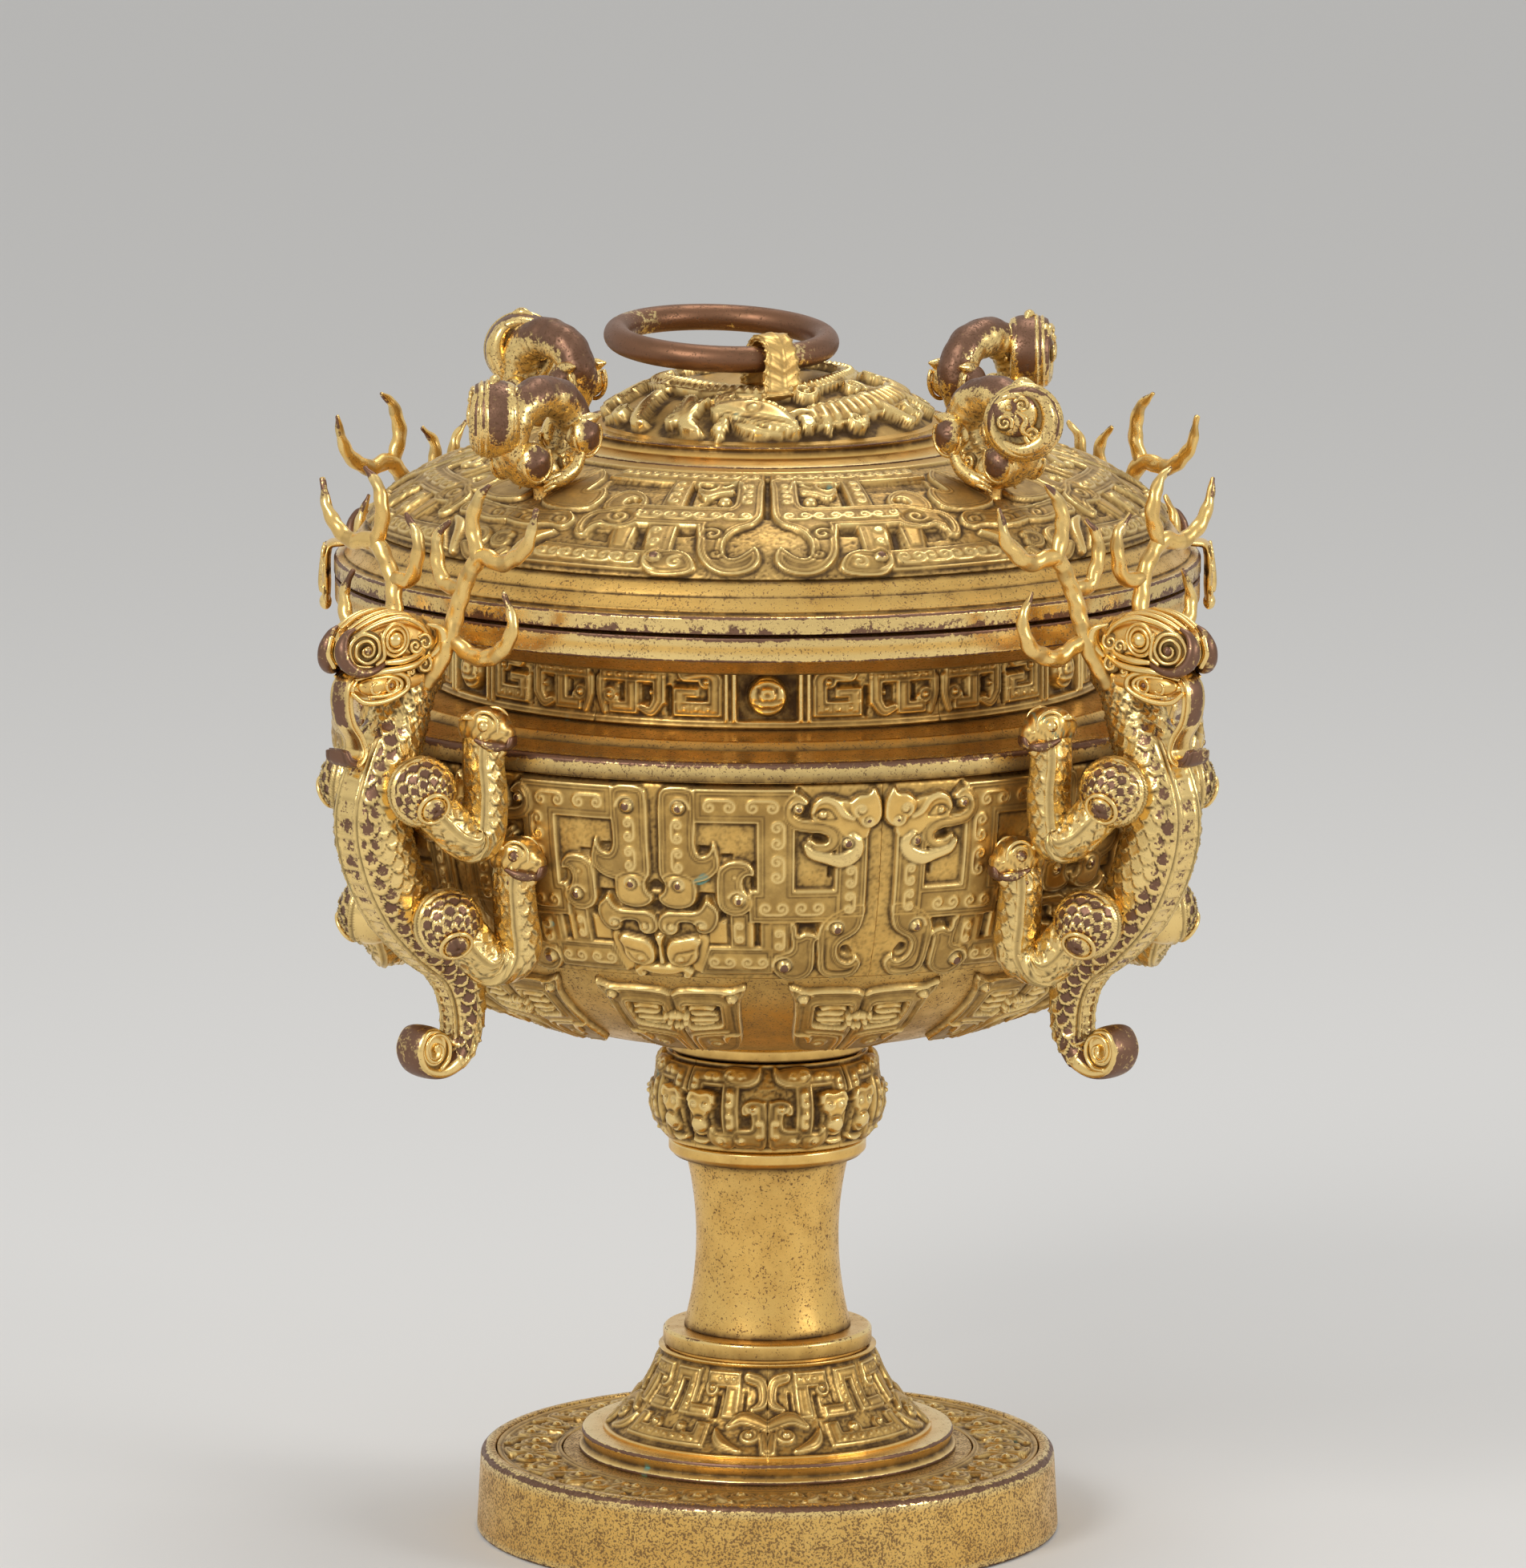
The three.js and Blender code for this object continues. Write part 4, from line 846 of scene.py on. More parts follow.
def buildBowl():
    outer = bowlCurve(104, 77.9, 33.5, 70)
    inner = bowlCurve(100, 73.9, 22, 40)[::-1]
    down = np.sum(np.hypot(*np.diff(outer, axis=0).T)) - np.concatenate(
        [[0], np.cumsum(np.hypot(*np.diff(outer, axis=0).T))])
    shell = under(outer, np.interp(down, [49.8, 51.4], [1.9, 1.0]))
    # the dark marks on the bowl's lower side are broad painted shade
    turnedPiece("bowlShell", [(0, 121.5), (24.5, 121.5), *shell.tolist(), *inner.tolist(), (0, 125.5)],
                "column", "root", ["bowl"], turns=200, radius=0.3,
                dark=[(84, 153, 11, 0.45), (70, 139, 12, 0.45), (52, 129, 12, 0.45), (32, 122, 12, 0.4)])
    band = bowlBand()
    for n in range(6):
        wrapCarving("bowlRelief%d" % (n + 1), band, outer[::-1], 54 / 30, -15 + 60 * n, "relief", "root",
                    grain=0.12, skirt=1.5)


relief = {"step": 0.38, "fine": 0.34}
buildBowl()
print("bowl relief ready")

def lappet():
    # half of one hanging tongue, u = 0 on its seam: a flared plate, a framed window of leaves, coils in the corners
    tongue = Carving(0, 19, 0.1, 36.2, relief["step"])
    plate = area((-1, 3.6), (0.2, 3.6), (1.8, 2.6), (5, 2.1), (10, 1.9), (14.2, 2.1), (16.8, 1.3), (18.8, 0.3), (18.2, 3),
                 (17.2, 6), (16.8, 12), (16.6, 20), (16, 27), (14.6, 32), (11.4, 35.2), (5, 35.7), (-1, 35.7))
    tongue.lift(plate, 1.1, line=0.8, second=1.5, shade=0.62)
    frame = area((2.4, 5.6), (5, 5.1), (11.4, 5.1), (13.4, 6.4), (13.6, 10), (13.2, 16), (12.4, 17.6), (9, 18.4), (4.4, 19.2),
                 (1.6, 20.4), (1.3, 16), (1.4, 8))
    tongue.lift(frame, 1.5, line=0.6, shade=0.3)
    window = area((3.6, 7), (11, 6.6), (12, 8), (12, 12), (11.5, 15.4), (8, 16.6), (3.4, 17.4), (2.6, 13), (2.9, 8.6))
    tongue.sink(window, 0.55)
    for leaf in (((4, 9.2, 0.3), (5, 7.9, 0.8), (7.8, 7.6, 1.0), (10.2, 8.3, 0.5)),
                 ((4.4, 10.4, 0.4), (6.4, 10.6, 0.7), (9, 10.2, 0.8), (11, 10.8, 0.4)),
                 ((3.6, 13.4, 0.4), (6, 13.2, 0.7), (8.6, 13, 0.7), (10.8, 13.2, 0.4)),
                 ((4.2, 15.6, 0.3), (7, 15.1, 0.5), (9.6, 14.8, 0.3))):
        tongue.lift(brush(*leaf), 1.3, line=0, crown=0.4)
    # two double lines that run from the frame's foot into the seam, and the seam itself
    tongue.ridge(brush((13, 19.2, 0.2), (8, 20, 0.2), (4, 21, 0.2), (1.9, 23.2, 0.2), (1.4, 34.6, 0.2)), 0.5)
    tongue.ridge(brush((11.8, 20.9, 0.2), (7.6, 21.6, 0.2), (4.6, 22.6, 0.2), (3.1, 25, 0.2), (2.8, 34, 0.2)), 0.45)
    tongue.cut(brush((-0.2, 3.4, 0.1), (0, 10, 0), (0, 35, 0.1)), 0.8, 0.3)
    tongue.sink(brush((-0.5, 18.6, 0.9), (0.6, 18.6, 0.5)), 0.5)
    for u, v, size in ((0.9, 11.4, 1.3), (2.8, 11.7, 1.0), (2.2, 14.2, 0.9), (0.7, 15.8, 0.8)):
        tongue.dome(u, v, size, 0.9, 0.7, 1.3)
    tongue.lift(coil(8.6, 26.6, 3.3, 90, 1, 1.4, 1.2), 1.6, line=0.5)
    tongue.lift(brush((15.8, 20.8, 0.5), (13.2, 21, 0.9), (11.9, 23.2, 1.1), (11.8, 25.4, 0.6)), 1.5, line=0)
    tongue.sink(brush((8.4, 26.6, 0.8), (8.9, 26.8, 0.8)), 0.5)
    tongue.boss(15.2, 4.2, 2.2, 200, 1, 0.8)
    tongue.cut(brush((14.9, 7.6, 0), (14.8, 18.6, 0)), 0.4)
    # beyond the plate the sheet dives under the plain field
    tongue.height -= 0.95 * ease(plate(tongue.u, tongue.v) / 0.5)
    return tongue.mirrored()


def friezeBand():
    # half of one sixth of the neck's band: the round boss stands on u = 0
    band = Carving(0, 42.4, 0.3, 14.7, relief["fine"])
    band.lift(strip(-1, -1, 43, 0.9), 0.8, line=0)
    band.lift(strip(-1, 13.2, 43, 16), 0.9, line=0.6)
    band.lift(joined(strip(7.2, 0.6, 8.4, 13.4), strip(9.2, 0.6, 10.2, 13.4)), 0.95, line=0)
    band.sink(strip(-7.2, 1.2, 7.1, 13), 0.9)
    band.dome(0, 7.2, 4.6, 2.2, 0.15)
    band.cut(coil(0.4, 7.0, 3.6, 40, 1, 1.6, 0.12), 0.42, 0.3)
    for turn in range(0, 360, 60):
        u, v = 3.0 * math.cos(math.radians(turn + 20)), 7.2 + 3.0 * math.sin(math.radians(turn + 20))
        band.cut(brush((u, v, 0.1), (0.72 * u, 7.2 + 0.72 * (v - 7.2) + 0.5, 0)), 0.4, 0.26)
    band.lift(joined(strip(10.8, 8.6, 22.4, 12.2), strip(10.8, 5.2, 14, 12.2), brush((12.4, 5.8, 1.5), (12.6, 3.2, 1.7),
              (15.4, 2.4, 1.5), (19.4, 3.0, 1.2), (21, 1.6, 0.5)), coil(14.4, 4.0, 2.3, 200, 1, 1.2, 0.9)), 1.1, line=0.65)
    band.lift(joined(strip(19.2, 5.6, 22.4, 12.2), strip(16.2, 5.6, 22.4, 7.8)), 1.0, line=0.55)
    band.lift(joined(strip(24.4, 1.6, 41, 4.6), strip(24.4, 1.6, 27.4, 9.6), brush((26, 9, 1.4), (27.8, 11.4, 1.2),
              (30.4, 10.6, 0.9)), strip(31.2, 4, 34.4, 12.2), strip(31.2, 9.4, 38.6, 12.2)), 1.1, line=0.65)
    band.lift(joined(coil(38.4, 8.0, 2.5, 150, -1, 1.3, 1.0), brush((40.8, 4.4, 1.2), (40.9, 8, 1.0), (39.8, 12, 0.8))),
              1.15, line=0.5)
    for u, v in ((14.4, 4.0), (38.4, 8.0), (28.4, 6.9)):
        band.dome(u, v, 0.85, 0.6, 0.5, 0.8)
    band.curls(23.2, 3.1, 40, 3.1, 0.75, 2.6)
    band.curls(12.4, 10.4, 21, 10.4, 0.8, 2.8)
    for hole in (strip(15, 8.2, 18.6, 8.5), strip(28.2, 5.4, 30.2, 9.2), strip(23, 5.2, 23.9, 12.4),
                 strip(35.2, 5.4, 36, 8.8), strip(16.8, 4.2, 22, 5.0)):
        band.sink(hole, 1.1)
    return band.mirrored()


def domeBand():
    # half of one quarter of the lid: the slit lies on u = 0, the knob stands on u = 58.8
    band = Carving(0, 58.8, 0.1, 51.4, relief["fine"])
    band.lift(strip(-1, -1, 60, 4.6), 0.9, line=0)
    band.lift(area((1, 5.4), (46.6, 5.4), (47.4, 12.8), (1, 12.4), bent=False), 1.2, line=0.7, shade=0.6)
    band.volutes(2, 9.2, 45, 9.2, 7, 1.5)
    # the plate beside the slit runs down into a wide hooked scroll, and left into a band that ends in a coil
    scroll = area((1, 11), (1, 16), (1, 22), (1, 28), (1.5, 31.6), (3.2, 34.4), (6.2, 36.4), (8, 39.4), (8.4, 43), (7.4, 45.9),
                  (5.6, 45.7), (3.9, 44), (2.5, 42.3), (1.5, 44.2), (1.4, 46.8), (2.8, 49.2), (5.6, 50.4), (8.6, 50.3),
                  (11.4, 48.4), (13.4, 44.6), (14, 39.6), (14.6, 34), (11, 29), (7.9, 26), (7.6, 20), (7.6, 11))
    coiled = area((29, 27), (33, 28), (36.3, 30), (39.4, 31.4), (41, 34.6), (40.8, 38.4), (39.4, 40.9), (37.6, 40.6), (37.2, 38.4),
                  (35.8, 36.6), (33.4, 36.8), (30.6, 37.2), (28, 35.4), (27.4, 31))
    band.lift(joined(scroll, strip(7, 27, 30, 35.3), coiled), 1.45, line=0.85, shade=0.66, second=1.75)
    band.lift(area((28.9, 28.6), (28.7, 25.4), (30, 22.4), (32.6, 20.4), (35.6, 20), (38, 21.8), (39, 24.6), (38.8, 28),
                   (37.4, 30.4), (33, 29.4)), 1.3, line=0.8, shade=0.6, second=1.65)
    band.sink(brush((31.2, 25.4, 0.9), (32.6, 24.8, 1.2), (33, 26, 1.0)), 0.7)
    band.volutes(3.2, 31.2, 29.6, 31.2, 4, 1.55)
    band.volutes(4.5, 14.4, 4.5, 26, 2, 1.25, -1)
    band.cut(coil(33, 32.6, 3.2, 40, 1, 1.5, 0.12), 0.6, 0.3)
    band.cut(coil(11.2, 38, 2.7, 300, -1, 1.5, 0.12), 0.6, 0.3)
    band.cut(coil(9.8, 44.6, 1.9, 200, -1, 1.3, 0.12), 0.5, 0.28)
    for inset in (1.2, 2.2):
        band.cut(brush((39.2 - inset / 2, 33, 0), (39.6 - inset / 2, 36, 0), (39.2 - inset / 3, 39, 0)), 0.4, 0.25)
    # the pocket and the small lumps left of the plate
    band.lift(area((21, 12), (14.6, 12), (12, 13.4), (12.6, 17), (15.2, 18.8), (18, 17.6), (19.2, 14.6)), 1.0, line=0.5, shade=0.2)
    band.sink(area((18.6, 13.2), (14.6, 13.2), (13.8, 15), (15.4, 17), (17.6, 15.8)), 0.5, 0.5)
    band.lift(brush((16.8, 20, 0.5), (15, 21.6, 1.0), (12.6, 19.6, 1.1), (9.4, 18.4, 1.2)), 1.3, line=0)
    band.ridge(brush((11.6, 14.6, 0.2), (9.2, 12.6, 0.4), (6.8, 14, 0.4), (6.3, 17, 0.2)), 0.5)
    band.sink(brush((8.4, 15, 0.5), (10.4, 15, 0.4)), 0.3)
    band.dome(10.3, 22.8, 1.7, 0.9, 0.4, 0.3)
    band.sink(brush((13.4, 23, 0.8), (15.4, 24.4, 0.5)), 0.9)
    # the slanted bars with their slots, painted dark as shade
    band.lift(area((26.2, 12), (24.7, 28), (19.4, 28), (20.8, 12), bent=False), 1.25, line=0.65, shade=0.6)
    band.volutes(23.4, 13.4, 22.1, 26.4, 2, 1.3, -1)
    band.sink(area((20.4, 13.6), (19.1, 26.8), (17.7, 26.8), (18.9, 14.4), bent=False), 1.0)
    band.lift(area((32.6, 36.4), (31.2, 44), (27.4, 44), (27.8, 35), bent=False), 0.95, line=0.6, shade=0.1)
    band.lift(area((25.2, 34.8), (23.8, 45), (18.6, 45), (18.8, 34.8), bent=False), 1.25, line=0.6, shade=0.5)
    band.volutes(23, 36, 22.3, 43.4, 1, 1.3, -1)
    for u in (19.9, 20.7):
        band.cut(brush((u, 36.2, 0), (u - 0.1, 44, 0)), 0.35, 0.22)
    band.sink(area((27.2, 36.4), (26.4, 43.6), (24.8, 43.6), (25.6, 36.4), bent=False), 1.0)
    band.sink(area((18.4, 35.9), (15, 35.9), (14.8, 38), (18.4, 38.4), bent=False), 0.8, 0.8)
    band.sink(area((46, 13.6), (26.6, 13.2), (26, 18.2), (44, 19.4), bent=False), 0.7, 0.62)
    band.sink(area((36.4, 37.6), (33, 37.6), (32.4, 41.6), (36.8, 41), bent=False), 0.6, 0.6)
    # the bottom band and its bossed coil
    band.lift(area((23.6, 44.4), (44.8, 43.5), (49.4, 49.6), (23.2, 49.9), bent=False), 1.3, line=0.65, shade=0.66)
    band.cut(brush((24, 49.1, 0), (47.6, 48.8, 0)), 0.3, 0.2)
    band.volutes(24.6, 46.9, 46, 46.6, 4, 1.5)
    band.lift(area((23.4, 45), (23.9, 47.4), (22.9, 49.9), (20.9, 51), (17.5, 51), (14.5, 50.3), (13.4, 48.8), (13.9, 46.8),
                   (15.2, 44.9), (17.6, 43.9), (19.9, 44.2), (21.8, 43.6)), 1.45, line=0.8, shade=0.66, second=1.6)
    band.ridge(coil(21.2, 47, 2.6, 90, -1, 0.9, 0.16), 0.4)
    band.ridge(coil(17.2, 47.6, 1.7, 250, 1, 1.2, 0.16), 0.4)
    band.dome(21.5, 46.2, 1.35, 0.95, 1.0, 1.1)
    # the leaves under the knob and the swoosh beside the bottom band
    band.lift(area((56, 28), (55.4, 22), (54.4, 16), (53.3, 9), (48, 13.2), (47, 18), (46.8, 22), (44.8, 21.2), (43, 19.9), (40.9, 22.8),
                   (40.3, 27), (41.6, 30.2), (47.4, 31.4), (53.4, 30.4)), 1.35, line=0.85, shade=0.6, second=1.75)
    band.lift(area((61, 37.4), (60, 33.4), (56, 33.2), (50, 32.6), (45, 32.2), (42.3, 35.4), (43.6, 38.4), (47.7, 38), (54, 39.2)),
              1.3, line=0.85, shade=0.6, second=1.75)
    band.cut(coil(46.4, 35.4, 2.2, 160, 1, 1.3, 0.12), 0.5, 0.28)
    band.cut(coil(54.2, 36, 2.2, 20, -1, 1.3, 0.12), 0.5, 0.28)
    band.lift(brush((51.4, 49.8, 1.0), (49.8, 45, 1.3), (47.6, 41.8, 1.3), (45, 40.4, 0.8)), 1.35, line=0)
    band.lift(joined(coil(55.6, 44.6, 3.2, 250, 1, 1.4, 1.2), brush((53.4, 47.4, 1.2), (56, 49.8, 1.4), (60, 50.2, 1.4))), 1.3,
              line=0.6)
    band.sink(strip(-1, 7.4, 0.75, 30.6), 1.0)
    return band.mirrored()


def knopBand():
    # half of a quarter of the knop: crescent leaves and hooks beside u = 0, a small beast's head near the other seam
    band = Carving(0, 20.4, 0.5, 23.7, relief["fine"])
    band.lift(strip(-1, -1, 21, 0.9), 0.6, line=0).lift(strip(-1, 22.9, 21, 25), 0.6, line=0)
    band.sink(strip(10.9, 7.2, 12.9, 17), 0.9)
    band.sink(strip(3.8, 13.4, 6.6, 16.4), 0.6)
    band.sink(strip(19.4, 8.6, 21, 22), 0.7)
    band.lift(joined(strip(9, 2, 20, 6.3), strip(15.8, 2, 20, 8.3)), 1.2, line=0.5, second=1.05)
    band.lift(strip(6.7, 5.6, 10.5, 18.4), 1.25, line=0.5, second=0.95)
    band.lift(area((0.3, 10.7), (1.2, 9.7), (3, 9.3), (4.8, 9.9), (5.7, 11.2), (5.6, 12.9), (4.6, 13.2), (3.9, 12.5), (3.5, 13.4),
                   (3.5, 15.6), (4.1, 16.7), (7.2, 17), (8.4, 19), (8.2, 22), (4, 22.2), (0.5, 21.8)), 1.3, line=0.5, second=1.05)
    band.lift(area((1.7, 0.8), (1.5, 2.7), (2.2, 4.9), (4, 6.1), (6.2, 6.4), (8.4, 6.2), (10.2, 5.2), (10.9, 3.6), (10.6, 2),
                   (9, 1.3), (6.5, 1.3), (4.4, 1.5), (2.8, 1.8)), 1.5, line=0.5)
    band.lift(area((8.5, 22.2), (7.6, 20.2), (8, 18.4), (10.2, 18), (12.3, 18), (13, 16.6), (14, 16.8), (14.8, 18.8), (14.4, 20.9),
                   (12.5, 22.2), (10.4, 22.7)), 1.45, line=0.5)
    band.lift(area((12.6, 9.4), (13.6, 7.7), (16, 7.6), (18.2, 8.3), (19.2, 9.8), (18.9, 12.4), (17.9, 14), (18.5, 17), (17.4, 19),
                   (15.2, 19), (13.8, 17), (14.2, 14), (13, 12.2)), 1.1, line=0)
    band.lift(brush((12.6, 10.6, 0.4), (13.2, 8.6, 0.8), (15.6, 9, 0.6), (18, 8.6, 0.8), (19, 10.4, 0.5)), 1.5, line=0)
    band.lift(brush((14.8, 20.5, 0.4), (16.4, 21, 0.8), (18.8, 20.6, 0.5)), 1.3, line=0)
    band.dome(16.1, 16, 2.0, 0.8, 0.7, 1.2)
    for u, v, size, turned, hand in ((8.6, 3.8, 1.4, 0, -1), (6.2, 4, 1.0, 180, 1), (3.2, 11.4, 1.3, 0, 1), (11.2, 20.1, 1.3, 180, 1),
                                     (14.3, 11.2, 1.1, 0, 1), (17.4, 11.3, 1.1, 0, -1), (6.2, 19.8, 1.2, 0, 1)):
        band.boss(u, v, size, turned, hand, 0.8)
    for u0, v0, u1, v1, count, size, hand in ((11.2, 4.2, 15.8, 4.2, 1, 0.9, -1), (8.6, 6.8, 8.6, 17.4, 2, 0.75, 1),
                                              (1.8, 13, 1.8, 20.4, 1, 0.8, 1), (17.9, 4, 17.9, 8, 1, 0.7, 1)):
        band.volutes(u0, v0, u1, v1, count, size, hand, 0.22)
    return band.mirrored()


def stemBand(across, down):
    # the foot cone's carving: a strip meander with scrolls and small leaf heads
    band = Carving(0, across, 0.5, down - 0.5, relief["fine"])
    a, d = across / 20.4, down / 22.2
    box = lambda u0, v0, u1, v1: strip(u0 * a, v0 * d, u1 * a, v1 * d)
    band.lift(strip(-1, -1, across + 1, 1.3), 0.8, line=0)
    band.lift(strip(-1, down - 1.4, across + 1, down + 1), 0.8, line=0)
    band.lift(joined(box(-1, 2.2, 2.6, 4.8), box(0.9, 2.2, 3.6, 12), box(3, 9.6, 8.2, 12.2)), 1.15, line=0.6)
    band.lift(joined(box(6, 2.2, 14, 5.4), box(11, 5, 14, 12), coil(7.6 * a, 5.8 * d, 2.2, 200, -1, 1.2, 0.9)), 1.15,
              line=0.6)
    band.lift(joined(box(-1, 16.2, 8.4, 19.4), box(6.2, 13.4, 9, 19.4), coil(3.2 * a, 15.2 * d, 2.1, 60, 1, 1.2, 0.9)),
              1.15, line=0.6)
    band.lift(joined(brush((13 * a, 14 * d, 0.8), (15.4 * a, 12 * d, 1.7), (18 * a, 12.6 * d, 1.7), (20.4 * a, 14 * d, 1.4)),
                     coil(17 * a, 16 * d, 2.6, 320, 1, 1.3, 1.1), brush((19.6 * a, 16 * d, 1), (20.2 * a, 20 * d, 1.3))),
              1.35, line=0.6)
    band.lift(joined(brush((10.4 * a, 15 * d, 0.6), (12.2 * a, 18 * d, 1.4), (15.4 * a, 19.8 * d, 0.7))), 1.2, line=0.5)
    band.lift(joined(brush((16 * a, 3.2 * d, 1.3), (19 * a, 4.4 * d, 1.4), (19.4 * a, 8.4 * d, 1.2),
                           (17.2 * a, 10 * d, 0.6))), 1.2, line=0.6)
    for u, v in ((7.6, 5.8), (3.2, 15.2), (17, 16)):
        band.dome(u * a, v * d, 0.85, 0.6, 0.8, 0.9)
    band.curls(2.2 * a, 5 * d, 2.2 * a, 11 * d, 0.8, 2.4)
    band.curls(8.4 * a, 3.8 * d, 13.4 * a, 3.8 * d, 0.8, 2.4)
    band.curls(-0.1, 17.8 * d, 7.6 * a, 17.8 * d, 0.8, 2.4)
    for hole in (box(4.8, 6.4, 5.4, 9), box(8.8, 7, 10, 12), box(15, 6.2, 15.8, 10.4), box(9.8, 12.8, 10.2, 16)):
        band.sink(hole, 0.8)
    return band.mirrored()


def buildBands():
    outer = bowlCurve(104, 77.9, 33.5, 70)[::-1]
    run = np.concatenate([[0], np.cumsum(np.hypot(*np.diff(outer, axis=0).T))])
    start = 51.6
    low = outer[np.searchsorted(run, start):]
    tongue = lappet()
    for n in range(12):
        wrapCarving("lappet%d" % (n + 1), tongue, low, 1.6, 15 + 30 * n, "relief", "root", ground=-0.35, grain=0.08,
                    skirt=1.2)
    neck = [(81.0, 223.2), (81.0, 207.8)]
    turnedPiece("neckShell", [(79.1, 208), (79.1, 223), (77, 223), (77, 208)], "relief", "root", ["neck_frieze"],
                turns=160, radius=0.1)
    frieze = friezeBand()
    for n in range(6):
        wrapCarving("neckRelief%d" % (n + 1), frieze, neck, 42.4 / 30, 60 * n, "relief", "root", ground=-0.6, skirt=1.3)
    dome = domeCurve(0, 60)[::-1]
    inner = domeCurve(3.5, 30)
    shell = under(domeCurve(0, 60), np.full(60, 1.9))
    turnedPiece("domeShell", [*shell.tolist(), (36, 264.1), (36, 261.3), *inner[::-1].tolist()], "dusty", "lid",
                ["lid_dome"], radius=0.1)
    lidBand = domeBand()
    for n in range(4):
        wrapCarving("domeRelief%d" % (n + 1), lidBand, dome, 58.8 / 45, 90 * n, "dusty", "lid",
                    ground=-0.5, skirt=1.5)
    share = np.linspace(0, 1, 30)
    knop = np.stack([24 + 4.2 * 4 * share * (1 - share), 118.2 - 22.2 * share], -1)
    body = under(knop[::-1], np.full(30, 1.9))
    turnedPiece("knopShell", [(12, 96), *body.tolist(), (12, 118.2)], "relief", "root", ["stem_knop"], turns=96, radius=0.1)
    carved = knopBand()
    for n in range(4):
        wrapCarving("knopRelief%d" % (n + 1), carved, knop, 20.4 / 45, 90 * n, "relief", "root", ground=-0.55, skirt=1.4)
    cone = np.stack([26 + 14 * (1 - share) ** 1.8, 24.6 + 20.9 * share], -1)[::-1]
    body = under(cone[::-1], np.full(30, 1.9))
    inside = (cone - np.array([4.4, 0])).tolist()
    turnedPiece("coneShell", [*body.tolist(), *inside], "relief", "root", ["foot_cone"], turns=96, radius=0.1)
    coneRun = np.sum(np.hypot(*np.diff(cone, axis=0).T))
    carved = stemBand(25.5, coneRun)
    for n in range(4):
        wrapCarving("coneRelief%d" % (n + 1), carved, cone, 25.5 / 45, 45 + 90 * n, "relief", "root", ground=-0.55,
                    skirt=1.4)


buildBands()
print("bands ready")

# ---- beasts: swept forms with scales, in each handle's own plane, X outwards, Y along the bowl, Z up


def smoothPath(stations, samples):
    # an even run through (x, y, z, radius), with its length so far
    knots = np.array(stations, float)
    ends = np.vstack([2 * knots[0] - knots[1], knots, 2 * knots[-1] - knots[-2]])
    dense = []
    for n in range(len(knots) - 1):
        a, b, c, d = ends[n:n + 4]
        for t in np.linspace(0, 1, 24, endpoint=False):
            dense.append(0.5 * (2 * b + (c - a) * t + (2 * a - 5 * b + 4 * c - d) * t ** 2
                                + (3 * b - a - 3 * c + d) * t ** 3))
    dense = np.array(dense + [knots[-1]])
    run = np.concatenate([[0], np.cumsum(np.linalg.norm(np.diff(dense[:, :3], axis=0), axis=1))])
    even = np.linspace(0, run[-1], samples)
    return np.stack([np.interp(even, run, dense[:, k]) for k in range(dense.shape[1])], -1), even


